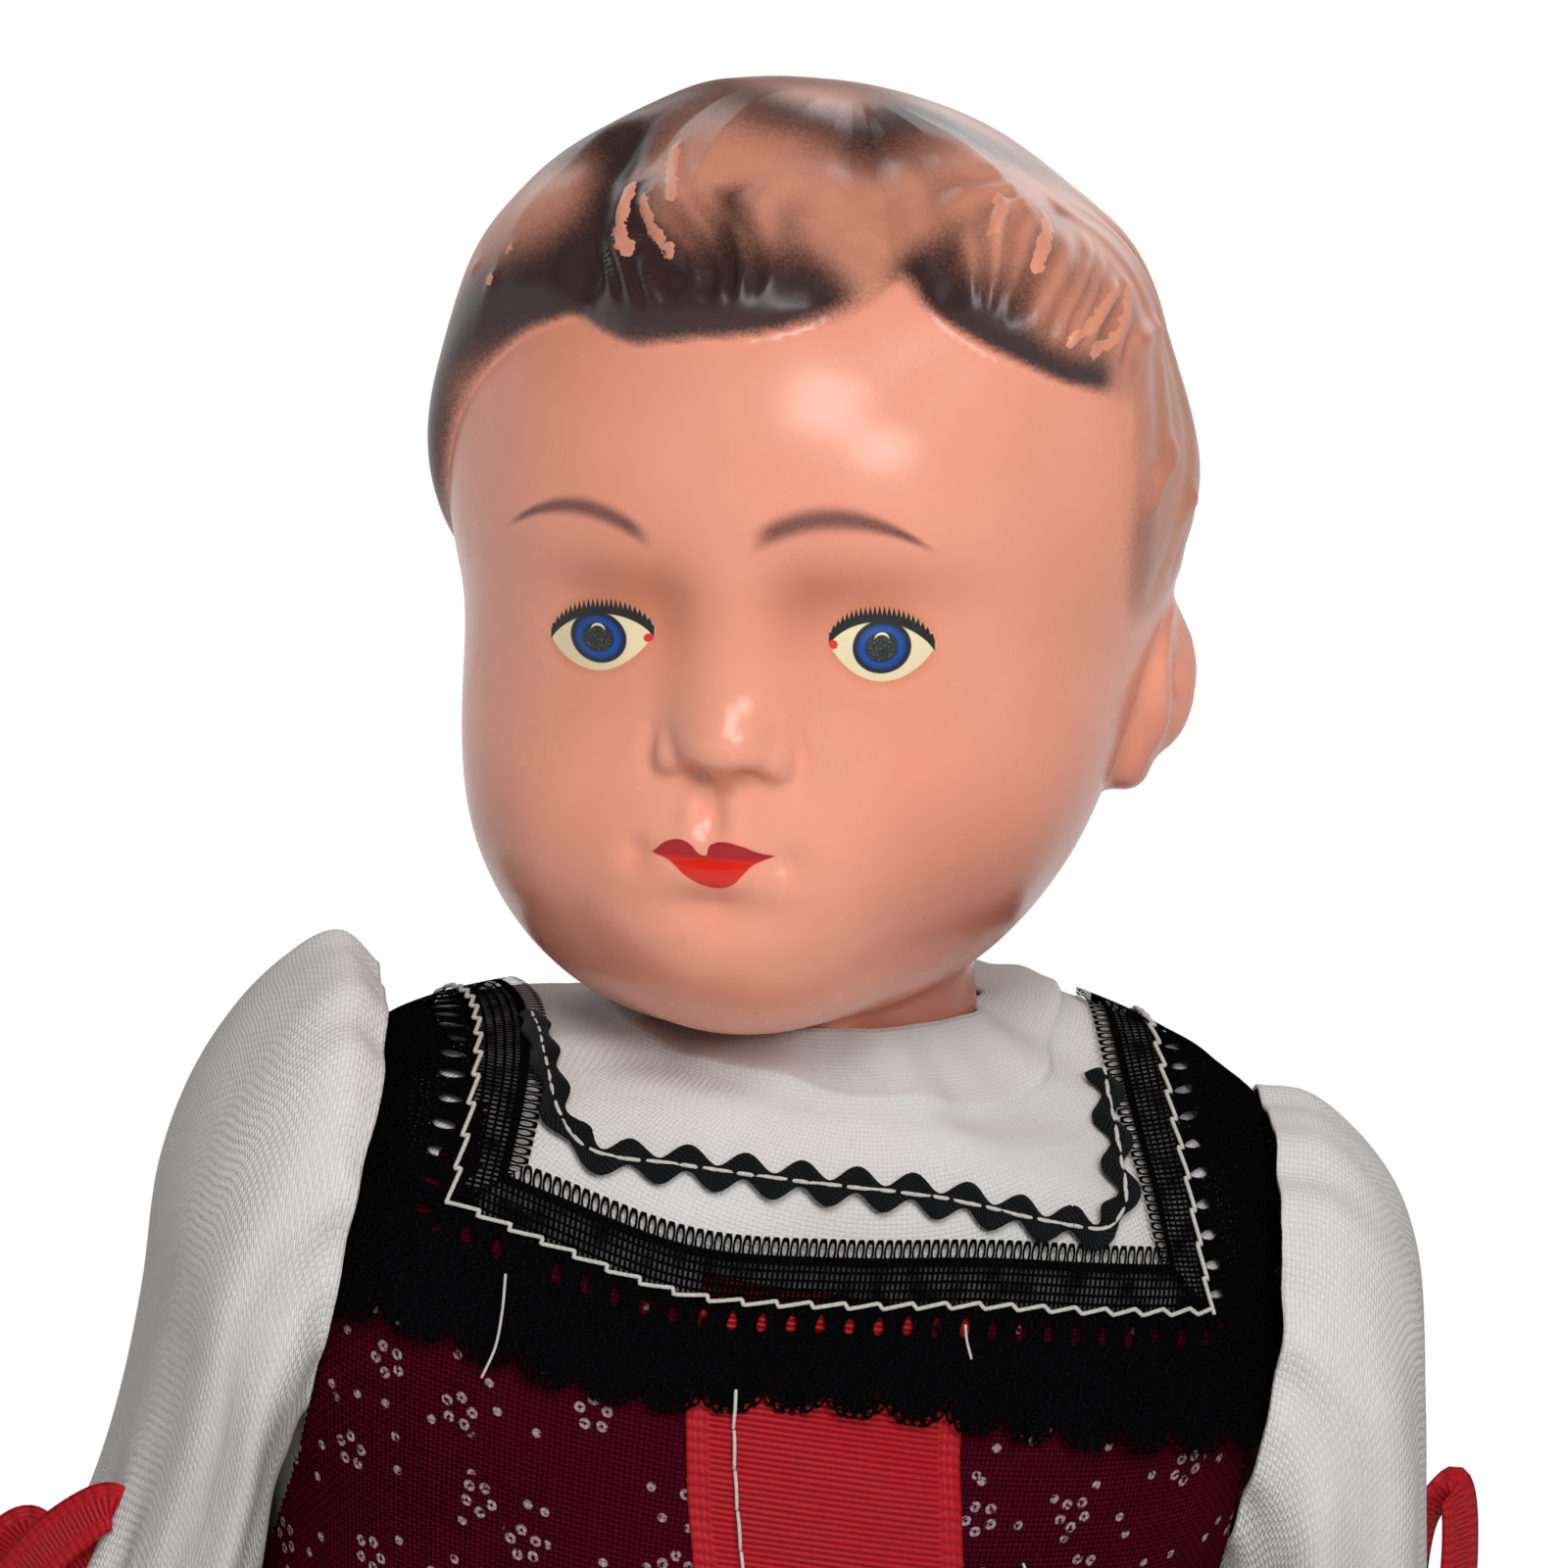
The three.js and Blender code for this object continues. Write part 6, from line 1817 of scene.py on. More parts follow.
@dataclass
class Rickrack:
    """Wavy black braid round the neck's front, with its own row of stitches."""

    body: Body
    half_width: float = 1.0
    wave: float = 0.72
    pitch: float = 5.0
    over: float = 9.0
    corners: tuple[Pair, ...] = (
        (-27.0, 316.6), (-26.0, 314.0), (-23.5, 311.8), (-15, 312.0), (-5, 312.3), (8, 312.6), (19, 311.6),
        (23.6, 311.6), (25.0, 313.6), (24.6, 316.6))

    def build(self) -> list[Piece]:
        """Make the braid and its stitches.

        Returns:
            The braid and the stitches.
        """
        line = curve_through(self.corners, 40)
        line = np.stack([line[:, 0], self.body.along_at(line[:, 0], line[:, 1])], -1)
        line = np.vstack([line[0] + (-0.6, self.over), line, line[-1] + (-0.8, self.over)])
        step = lengths(line)
        length = np.linspace(0, step[-1], 520)
        line = np.stack([np.interp(length, step, line[:, i]) for i in (0, 1)], -1)
        ways = unit(np.gradient(line, axis=0))
        side = np.stack([-ways[:, 1], ways[:, 0]], -1)
        v = np.linspace(self.half_width, -self.half_width, 9)
        swing = self.wave * np.sin(length * 2 * math.pi / self.pitch) * np.interp(length, (8, 20), (0.4, 1))
        place = line[None] + side[None] * (v[:, None] + swing)[..., None]
        crown = 0.55 + 0.5 * (1 - (v / self.half_width) ** 2)[:, None]
        points = self.body.wrap(place[..., 0], place[..., 1], crown + 0 * swing)
        flat = laid(length, v[:, None])
        made = grid_object("rickrack_braid_cloth", points, flat=flat)
        dressed(made, BLACK_BRAID, "black_braid", "torso", "rickrack_braid")
        thicken(made, 0.5)
        rows = line[None] + side[None] * STITCH_ROWS[:, None, None]
        dips = 0.12 * np.cos(length * 2 * math.pi / 3.2) ** 8
        middle = self.body.wrap(rows[..., 0], rows[..., 1], 1.14 - dips)
        thread = rod("rickrack_stitches", middle[1], 0.2, 6)
        return [made, dressed(thread, WHITE_THREAD, "white_cotton", "torso")]


@dataclass
class FrontRibbon:
    """The wide red ribbon down the bodice's front, with a row of tacking stitches and loose threads."""

    body: Body
    width: float = 25.0
    top: float = 301.5
    bottom: float = 237.5
    stitch_x: float = -8.4
    tacks: int = 17
    tack_top: float = 292.4
    tack_pitch: float = 3.2
    tack_length: float = 3.0
    loose_threads: tuple[tuple[Pair, ...], ...] = (
        ((-29.2, 298.0), (-29.0, 295.0), (-29.1, 292.2), (-29.8, 289.6)),
        ((11.6, 300.0), (11.9, 298.9), (12.6, 297.4)),
        ((20.5, 281.5), (22.5, 279.0), (25.6, 278.0), (24.0, 275.8)))

    def middle(self, z: Array) -> Array:
        """How far the ribbon's middle strays to the side at heights."""
        return 0.4 + 4.8 * smooth(294, 266, z) - 2.2 * smooth(266, 238, z)

    def at(self, x: Array, z: Array, out: Array | float) -> Array:
        """Points at places across the ribbon."""
        return self.body.front(x + self.middle(z), z, out)

    def build(self) -> list[Piece]:
        """Make the ribbon, its stitches and the loose threads.

        Returns:
            The ribbon, and the threads as one piece.
        """
        half = self.width / 2
        x, z = np.meshgrid(np.linspace(-half, half, 44), np.linspace(self.top, self.bottom, 120))
        ripple = 0.18 * np.sin(z * 0.31 + x * 0.12) + 0.12 * np.sin(z * 0.83 + x * 0.3)
        points = self.at(x, z, 2.35 + ripple * smooth(294, 286, z) + 0.35 * smooth(292, 287, z))
        made = grid_object("front_ribbon_cloth", points, flat=np.stack([x, z], -1))
        dressed(made, WIDE_RIBBON, "red_ribbon", "torso", "front_ribbon")
        thicken(made, 0.35)
        parts = []
        for k in range(self.tacks):
            start = self.tack_top - self.tack_pitch * k
            height = np.linspace(start, start - self.tack_length, 6)
            arch = 3.2 + 0.3 * np.sin(np.linspace(0, math.pi, 6))
            across = np.full(6, self.stitch_x) + 0.07 * k
            parts.append(rod(f"tack_{k}", self.at(across, height, arch), 0.17, 6))
        for k, spots in enumerate(self.loose_threads):
            line = curve_through(spots, 8)
            parts.append(rod(f"loose_{k}", self.body.front(line[:, 0], line[:, 1], 3.5), 0.13, 6))
        return [made, dressed(join("ribbon_stitches", parts), WHITE_THREAD, "white_cotton", "torso")]


# Sleeves


BACKWARD = np.array((0, 1, 0))


@dataclass
class Sleeve:
    """One puffed sleeve with the ribbon that ties it and its bow."""

    side: Side
    outer: tuple[Pair, ...]
    loops: tuple[Pair, ...]
    lean: float = 0.0
    inner: tuple[Pair, ...] = (
        (43.0, 277.5), (43.0, 276.5), (43.0, 275.5), (43.0, 274.0), (43.0, 272.0), (43.0, 269.0),
        (43.0, 265.5), (43.2, 261.5), (44.0, 257.0))
    depth: tuple[float, ...] = (18.5, 19.5, 20.5, 21.0, 21.2, 21.0, 20.0, 18.0, 15.0)
    tie: Point = (55.7, 0.0, 250.4)
    tie_half: float = 10.0
    tails: tuple[Pair, ...] = ((152, 15), (-157, 14))
    loop_line: tuple[Pair, ...] = (
        (0, 0), (0.35, 2.0), (0.8, 3.6), (1.0, 2.4), (0.94, 0.2), (0.6, -0.6), (0.1, 0.1))
    tail_line: tuple[Pair, ...] = ((0, 0), (0.3, 1.1), (0.65, 1.2), (1.0, 0.4))
    arm_out: float = 8.0

    def arm_way(self) -> tuple[Array, Array]:
        """The ways down and out of the upper arm, on the doll's left."""
        a = math.radians(self.arm_out)
        return np.array((math.sin(a), 0, -math.cos(a))), np.array((math.cos(a), 0, math.sin(a)))

    def sections(self, count: int) -> tuple[Array, Array, Array, Array]:
        """Sections of the sleeve from the armhole to the frill's edge.

        Args:
            count: How many sections each span gets.

        Returns:
            Outer points, inner points, half depths and rows.
        """
        down, out = self.arm_way()
        outer, inner, depth = list(self.outer), list(self.inner), list(self.depth)
        for reach, wider in ((-3.2, 0.0), (0.0, -0.4), (3.2, 0.0), (7.0, 3.2), (12.0, 4.6)):
            half = self.tie_half + wider
            middle = np.array(self.tie) + down * reach
            outer.append(tuple((middle + out * half)[[0, 2]]))
            inner.append(tuple((middle - out * half)[[0, 2]]))
            depth.append(half)
        rows = np.array([(*o, *i, d) for o, i, d in zip(outer, inner, depth)])
        line = curve_through(rows, count)
        return line[:, 0:2], line[:, 2:4], line[:, 4], np.linspace(0, len(rows) - 1, len(line))

    def folds(self, turn: Array, row: Array) -> Array:
        """The folds: gathers at the shoulder and the tie, soft ones between, and the frill's waves.

        Args:
            turn: Angles round the sleeve.
            row: Rows down it.

        Returns:
            How far the cloth moves out.
        """
        fine = np.sin(13 * turn + 1.0) + 0.7 * np.sin(21 * turn + 2.3 + 0.4 * np.sin(3 * turn))
        broad = np.sin(5 * turn + 0.9 + 0.25 * row) + 0.6 * np.sin(8 * turn - 0.5 * row + 2)
        gathers = 0.42 * smooth(2.6, 0.4, row) + 0.8 * smooth(5.5, 8.6, row) * smooth(10.6, 8.8, row)
        puffed = smooth(9, 7, row)
        soft = (0.35 * broad + 0.4 * np.sin(3 * turn + 1.3 * row)) * smooth(0.5, 2.5, row) * puffed
        frill = 1.5 * np.sin(11 * turn + 0.6) * smooth(11, 13, row)
        behind = 0.8 * np.sin(9 * turn + 0.55 * row) * np.clip(-np.cos(turn), 0, 1) ** 2
        return gathers * fine + soft + frill + behind * smooth(0.5, 3, row) * puffed

    def cloth(self) -> Piece:
        """The sleeve's cloth.

        Returns:
            The cloth.
        """
        outer, inner, depth, row = self.sections(12)
        turn = turns(160)
        middle, half = (outer + inner) / 2, (outer - inner) / 2
        s, c = np.sin(turn), np.cos(turn)
        fold = self.folds(turn[None], row[:, None])
        length = np.linalg.norm(half, axis=1)[:, None]
        x = middle[:, :1] + half[:, :1] * s * (1 + fold / length)
        z = middle[:, 1:] + half[:, 1:] * s * (1 + fold / length)
        y = depth[:, None] * c * (1 + fold / depth[:, None])
        x = np.where(row[:, None] < 9.5, np.maximum(x, 42.9 - 3.9 * np.clip(s, 0, 1) ** 2), x)
        points = np.stack([x * self.side.value, y, z], -1)
        made = tube(f"sleeve_{self.side.word}_cloth", points)
        dressed(made, WHITE, "white_cotton", f"arm_{self.side.word}", f"sleeve_{self.side.word}")
        thicken(made, 0.5)
        return made

    def ribbon(self) -> Piece:
        """The ribbon round the tie.

        Returns:
            The ribbon.
        """
        down, out = self.arm_way()
        turn = turns(96)
        rows = []
        for reach in np.linspace(-3.0, 3.0, 9):
            ring = np.array(self.tie) + down * reach
            half = self.tie_half + 0.75 + 0.12 * np.sin(13 * turn)
            across, deep = (half * np.cos(turn))[:, None], (half * np.sin(turn))[:, None]
            rows.append(ring + across * out + deep * BACKWARD)
        points = np.array(rows) * (self.side.value, 1, 1)
        u = np.linspace(0, 68, 97)
        v = np.linspace(-3, 3, 9)
        flat = laid(v[:, None], u)
        made = grid_object(f"sleeve_ribbon_{self.side.word}_cloth", points, wrap=True, flat=flat)
        dressed(made, NARROW_RIBBON, "red_ribbon", f"arm_{self.side.word}", f"sleeve_ribbon_{self.side.word}")
        thicken(made, 0.4)
        return made

    def bow(self) -> Piece:
        """The bow: loops and tails of ribbon from a knot on the sleeve's outside.

        Returns:
            The bow.
        """
        down, out = self.arm_way()
        knot = np.array(self.tie) + out * (self.tie_half + 2.2)
        parts = []
        ways = [(*loop, True) for loop in self.loops] + [(*tail, False) for tail in self.tails]
        for k, (spread, size, looped) in enumerate(ways):
            a = math.radians(spread)
            way = -down * math.cos(a) + BACKWARD * math.sin(a) - out * self.lean * looped
            lines = self.loop_line if looped else self.tail_line
            centre = curve_through([knot + way * r * size + out * h for r, h in lines], 10)
            ahead = unit(np.gradient(centre, axis=0))
            across = unit(np.cross(ahead, out - 1.4 * BACKWARD))
            end_width = 1.4 if looped else 2.7
            width = np.interp(np.linspace(0, 1, len(centre)), (0, 0.15, 1), (1.2, 2.7, end_width))
            v = np.linspace(-1, 1, 7)
            points = centre[None] + across[None] * (v[:, None] * width)[..., None]
            points = points * (self.side.value, 1, 1)
            steps = lengths(centre)
            flat = laid(v[:, None] * 2.5, steps)
            parts.append(grid_object(f"bow_{k}", points, flat=flat))
        turn = turns(20)
        rings = []
        for reach in np.linspace(-2.0, 2.0, 9):
            swell = 1.7 + 0.5 * math.cos(reach * 0.7)
            ring = out * np.cos(turn)[:, None] - down * 1.25 * np.sin(turn)[:, None]
            rings.append(knot + BACKWARD * reach + ring * swell)
        parts.append(tube("bow_knot", np.array(rings) * (self.side.value, 1, 1)))
        made = join(f"sleeve_bow_{self.side.word}_cloth", parts)
        dressed(made, NARROW_RIBBON, "red_ribbon", f"arm_{self.side.word}", f"sleeve_bow_{self.side.word}")
        thicken(made, 0.35)
        return made

    def build(self) -> list[Piece]:
        """Make the sleeve, its ribbon and its bow."""
        return [self.cloth(), self.ribbon(), self.bow()]


LEFT_PUFF = ((41.0, 321.5), (46.0, 321.5), (52.5, 317.3), (57.3, 310.5), (60.4, 299.0), (62.3, 288.0),
             (64.0, 277.0), (65.5, 267.0), (66.5, 259.5))
RIGHT_PUFF = ((41.0, 320.5), (45.0, 323.0), (49.4, 319.5), (53.9, 311.0), (56.1, 300.5), (55.8, 288.0),
              (56.4, 276.0), (57.8, 266.0), (60.4, 259.0))


# Skirts


@dataclass
class Skirt:
    """A gathered skirt, or the petticoat under it."""

    name: str
    body: Body
    top: float
    hem: float
    waist_out: float
    hem_radius: float
    fold: float
    folds: int = 12
    swing_room: Pair = (0.0, 0.0)

    def build(self) -> Piece:
        """Make the cloth with its gathers, its deep folds, its hem and its room for the swinging legs.

        Returns:
            The cloth.
        """
        turn, share = np.meshgrid(turns(480), np.linspace(0, 1, 150))
        half_width, half_depth = self.body.girth(np.array(self.top))
        spread = share ** 0.9
        wide = (half_width + self.waist_out) * (1 - spread) + self.hem_radius * spread
        deep = (half_depth + self.waist_out) * (1 - spread) + self.hem_radius * spread
        stray = 0.16 * np.sin(3 * turn + 0.5) + 0.1 * np.sin(5 * turn + 2)
        folds = np.cos(self.folds * turn + stray * smooth(0, 0.6, share) * 3)
        crease = np.sign(folds) * np.abs(folds) ** 0.85
        gathers = np.sin(46 * turn + 1.2 * np.sin(4 * turn)) * smooth(0.3, 0.02, share)
        ripples = np.sin(24 * turn + 0.7) * smooth(0.2, 0.6, share)
        out = self.fold * spread * crease + 0.55 * gathers + 0.5 * ripples
        c, s = np.cos(turn), np.sin(turn)
        power = 2 / (self.body.power * (1 - spread) + 2 * spread)
        x = (wide + out) * np.sign(c) * np.abs(c) ** power
        y = (deep + out) * np.sign(s) * np.abs(s) ** power + spread * s * np.where(s > 0, *self.swing_room)
        z = self.top + (self.hem - self.top) * share
        return tube(self.name, np.stack([x, y, z], -1))


@dataclass
class Skirts:
    """The printed skirt, the white petticoat with its lace edge, and the waistband."""

    body: Body
    swing_room: Pair = (5.0, 1.5)
    edging_radius: float = 75.6
    edging_top: float = 83.0
    edging_depth: float = 8.0
    band_span: Pair = (241.0, 234.3)
    band_out: float = 5.6

    def build(self) -> list[Piece]:
        """Make the skirt, the petticoat, its edging and the band.

        Returns:
            The four pieces.
        """
        skirt = Skirt("skirt_cloth", self.body, top=236.5, hem=82.0, waist_out=3.8, hem_radius=87.0, fold=6.4)
        petticoat = Skirt("petticoat_cloth", self.body, top=231.0, hem=78.0, waist_out=2.2, hem_radius=75.5,
                          fold=3.0, swing_room=self.swing_room)
        made = []
        for part, finish, slot, node, ratio, thickness in (
                (skirt, PRINT, "burgundy_print", "skirt", 0.27, 0.8),
                (petticoat, WHITE, "white_cotton", "petticoat", 0.32, 0.6)):
            cloth = dressed(part.build(), finish, slot, "torso", node)
            thicken(cloth, thickness)
            made.append(cloth)
        return [*made, self.edging(), self.band()]

    def edging(self) -> Piece:
        """White lace gathered along the petticoat's hem.

        Returns:
            The lace.
        """
        turn = turns(720)
        rows = []
        for share in np.linspace(0, 1, 8):
            frill = (0.4 + 1.3 * share) * np.sin(60 * turn + 2 * np.sin(5 * turn))
            radius = self.edging_radius + 3.0 * np.cos(12 * turn) + frill
            y = np.sin(turn) * (radius + np.where(np.sin(turn) > 0, *self.swing_room))
            z = self.edging_top - self.edging_depth * share
            rows.append(np.stack([radius * np.cos(turn), y, z + 0 * turn], -1))
        return dressed(tube("petticoat_edging", np.array(rows)), WHITE_LACE, "white_cotton", "torso")

    def band(self) -> Piece:
        """The red ribbon sewn round the waist.

        Returns:
            The ribbon.
        """
        turn, z = np.meshgrid(turns(240), np.linspace(*self.band_span, 12))
        points = self.body.ring(turn, z, self.band_out + 0.15 * np.sin(46 * turn) * np.sin(z))
        flat = laid(np.linspace(-3.4, 3.4, 12)[:, None], np.linspace(0, 240, 241))
        made = grid_object("waistband_cloth", points, wrap=True, flat=flat)
        dressed(made, NARROW_RIBBON, "red_ribbon", "torso", "waistband_ribbon")
        thicken(made, 0.5)
        return made


# Limbs and hardware


@dataclass(frozen=True)
class Knit(Finish):
    """Fine white knit with ribs down its length."""

    def dress(self, graph: Graph, shader: Node) -> None:
        """Wire the knit's ribs and loops."""
        x, y, z = graph.parts(graph.solid())
        ribs = abs((y.math("ARCTAN2", abs(x) - 27.5) * 22.0).wave())
        loops = abs((z / 0.55 * math.pi).wave())
        height = ribs * 0.7 + loops * 0.3
        # Painted highlight: the ribs and loops are lighter where they stand highest.
        graph.wire(shader, Base_Color=graph.mix(height, paint(196, 192, 188), paint(224, 222, 220)),
                   Roughness=height * -0.08 + 0.9, Normal=graph.bumped(height, 0.18), Sheen_Weight=0.2)


@dataclass(frozen=True)
class Leather(Finish):
    """Smooth leather with fine pores, creases and worn edges."""

    first: Colour = paint(22, 20, 21)
    second: Colour = paint(44, 38, 37)
    dull: float = 0.36

    def dress(self, graph: Graph, shader: Node) -> None:
        """Wire the pores, the creases and the wear."""
        place = graph.solid()
        pores = Field(graph, graph.cells(place, 0.7).outputs["Distance"])
        creases = graph.noise(place, 2.2, 4)
        worn = graph.noise(place, 9, 3).rise(0.5, 0.75)
        graph.wire(shader, Base_Color=graph.mix(worn * 0.8, self.first, self.second),
                   Roughness=worn * 0.2 + creases * 0.12 + self.dull,
                   Normal=graph.bumped(pores * 0.5 + creases, 0.12), Specular_IOR_Level=0.25)


@dataclass(frozen=True)
class Metal(Finish):
    """Drawn steel wire, a little tarnished."""

    def dress(self, graph: Graph, shader: Node) -> None:
        """Wire the tarnish and the fine draw marks."""
        tarnish = graph.noise(graph.solid(), 3, 3).rise(0.45, 0.7)
        graph.wire(shader, Base_Color=graph.mix(tarnish, paint(180, 180, 182), paint(128, 118, 108)),
                   Roughness=tarnish * 0.3 + 0.25, Metallic=1.0)


@dataclass(frozen=True)
class Wood(Finish):
    """Turned wood with its grain."""

    def dress(self, graph: Graph, shader: Node) -> None:
        """Wire the grain's rings."""
        x, y, z = graph.parts(graph.solid())
        wander = graph.noise(graph.place(x, y, z * 0.2), 3, 2) * 2.0
        rings = abs(((far(x, y) + wander) / 0.8 * math.pi).wave())
        graph.wire(shader, Base_Color=graph.mix(rings, paint(176, 132, 88), paint(206, 168, 122)),
                   Roughness=rings * 0.15 + 0.6)


@dataclass(frozen=True)
class Rubber(Finish):
    """Covered elastic cord with its braided threads."""

    def dress(self, graph: Graph, shader: Node) -> None:
        """Wire the braid."""
        x, _, z = graph.parts(graph.solid())
        threads = abs(((x + z) / 0.6 * math.pi).wave()) * abs(((x - z) / 0.6 * math.pi).wave())
        # Painted highlight: the braided threads are lighter on their crowns.
        graph.wire(shader, Base_Color=graph.mix(threads, paint(150, 140, 126), paint(206, 198, 184)),
                   Roughness=threads * -0.1 + 0.85)


@dataclass(frozen=True)
class Pearl(Finish):
    """Glossy white button with a cloudy shimmer."""

    def dress(self, graph: Graph, shader: Node) -> None:
        """Wire the shimmer."""
        cloud = graph.noise(graph.solid(), 1.6, 3)
        colour = graph.mix(cloud.rise(0.35, 0.65), paint(226, 222, 216), paint(206, 200, 206))
        graph.wire(shader, Base_Color=colour, Roughness=cloud * 0.15 + 0.12, Coat_Weight=0.4)


def softened(name: str, node: Piece, reshape: Callable[[Array], Array] | None = None, levels: int = 2,
             sharp: float = 1.0) -> Piece:
    """Copy a node's mesh into a new object, and round it by subdivision, all but its sharp edges.

    Args:
        name: The new object's name.
        node: The node to copy.
        reshape: Moves the copy's points in millimetres before the rounding.
        levels: How often the mesh is divided.
        sharp: The angle in radians above which an edge stays sharp.

    Returns:
        The rounded copy.
    """
    mesh = node.data.copy()
    mesh.name = name
    made = bpy.data.objects.new(name, mesh)
    bpy.context.scene.collection.objects.link(made)
    if reshape:
        points = np.array([v.co[:] for v in mesh.vertices]) / MM
        mesh.vertices.foreach_set("co", (reshape(points) * MM).ravel())
    work = bmesh.new()
    work.from_mesh(mesh)
    bmesh.ops.remove_doubles(work, verts=work.verts, dist=1e-6)
    bmesh.ops.join_triangles(work, faces=work.faces, angle_face_threshold=0.7, angle_shape_threshold=0.7)
    crease = work.edges.layers.float.new("crease_edge")
    for edge in work.edges:
        edge[crease] = 0.9 * (len(edge.link_faces) == 2 and edge.calc_face_angle() > sharp)
    work.to_mesh(mesh)
    work.free()
    mesh.shade_smooth()
    divide = made.modifiers.new("Rounding", "SUBSURF")
    divide.levels = divide.render_levels = levels
    return made


@dataclass
class Limbs:
    """The arms and legs with their stockings and shoes, and the hardware inside the doll."""

    nodes: dict[str, Piece]
    slimmer: float = 0.46
    inward: float = 1.3
    elbow: Pair = (55.7, 250.4)
    arm_slope: float = 0.1405
    ankle_x: float = 26.0
    sole_top: float = 4.3
    shank_length: float = 3.2
    shank_radius: float = 0.7

    def slim(self, p: Array) -> Array:
        """Draw the upper arm in under the sleeve, where the cloth lies close to it.

        Args:
            p: The arm's points.

        Returns:
            The moved points.
        """
        side = np.sign(p[:, :1])
        z = p[:, 2]
        elbow_x, elbow_z = self.elbow
        axis = np.stack([side[:, 0] * (elbow_x - self.arm_slope * (z - elbow_z)), 0 * z, z], -1)
        covered = (smooth(252, 260, z) * smooth(304, 296, z))[:, None]
        return axis + (p - axis) * (1 - self.slimmer * covered) - covered * side * (self.inward, 0, 0)

    def seat(self, p: Array) -> Array:
        """Fill out a shoe's underside, so that it sits on its sole.

        Args:
            p: The shoe's points.

        Returns:
            The moved points.
        """
        middle = np.sign(p[0, 0]) * self.ankle_x
        off = p[:, 0] - middle
        near, wider, from_middle, settle = 4, 2.2, 1.5, 0.7
        widest = np.array([np.abs(off[np.abs(p[:, 1] - y) < near]).max() for y in p[:, 1]])
        low = smooth(11, 7, p[:, 2])
        full = np.sign(off) * np.minimum(np.abs(off) * wider, widest)
        outer = np.abs(off) > from_middle
        drop = np.where(outer, settle, 0.0) * low * np.clip(p[:, 2] - self.sole_top, 0, near)
        return np.stack([middle + off + low * (full - off), p[:, 1], p[:, 2] - drop], -1)

    def shank(self, button: str, inward: Point, body: str) -> Piece:
        """The thread that holds a button to what it is sewn on.

        Args:
            button: The button's node.
            inward: The way from the button to what it is sewn on.
            body: The body that it rides on.

        Returns:
            The thread.
        """
        middle = np.mean([np.array(corner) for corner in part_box(button)], axis=0) / MM
        line = middle + np.linspace(0, self.shank_length, 5)[:, None] * np.array(inward)
        return dressed(rod(f"{button}_thread", line, self.shank_radius), WHITE_THREAD, "white_cotton", body)

    def build(self) -> list[Piece]:
        """Round each limb and its wear, and finish the hard pieces that show through gaps.

        Returns:
            The new pieces.
        """
        skin, knit, leather = SkinPlastic("skin_plastic"), Knit("white_knit"), Leather("black_leather")
        sole = Leather("sole_leather", first=paint(92, 62, 40), second=paint(122, 88, 60), dull=0.55)
        pearl = Pearl("pearl_button")
        wears = (("arm", skin, "skin_plastic"), ("leg", skin, "skin_plastic"),
                 ("stocking", knit, "white_knit"), ("shoe", leather, "black_leather"),
                 ("shoe_sole", sole, "sole_leather"), ("shoe_strap", leather, "black_leather"))
        made = []
        for side in Side:
            word = side.word
            for node, finish, slot in wears:
                body = "arm" if node == "arm" else "leg"
                reshape = {"arm": self.slim, "shoe": self.seat}.get(node)
                sharp = 1.35 if node.startswith("shoe") else 1.0
                piece = softened(f"{node}_{word}_rounded", self.nodes[f"{node}_{word}"], reshape, sharp=sharp)
                made.append(dressed(piece, finish, slot, f"{body}_{word}", f"{node}_{word}"))
            pearl.put_on(self.nodes[f"shoe_button_{word}"])
            made.append(self.shank(f"shoe_button_{word}", (-side.value, 0, 0), f"leg_{word}"))
        made += [self.shank(f"back_button_{k}", (0, -1, 0), "torso") for k in (1, 2, 3)]
        hard = (("torso", skin), ("back_button", pearl), ("neck_plug", Wood("turned_wood")),
                ("hook", Metal("steel_wire")), ("elastic", Rubber("elastic_cord")))
        for name, node in self.nodes.items():
            for part, finish in hard:
                if part in name:
                    finish.put_on(node)
        return made


# Studio


def toward(azimuth: float, elevation: float) -> Vector:
    """The way from the doll to a place round it, both angles in degrees."""
    a, e = math.radians(azimuth), math.radians(elevation)
    return Vector((math.sin(a) * math.cos(e), -math.cos(a) * math.cos(e), math.sin(e)))


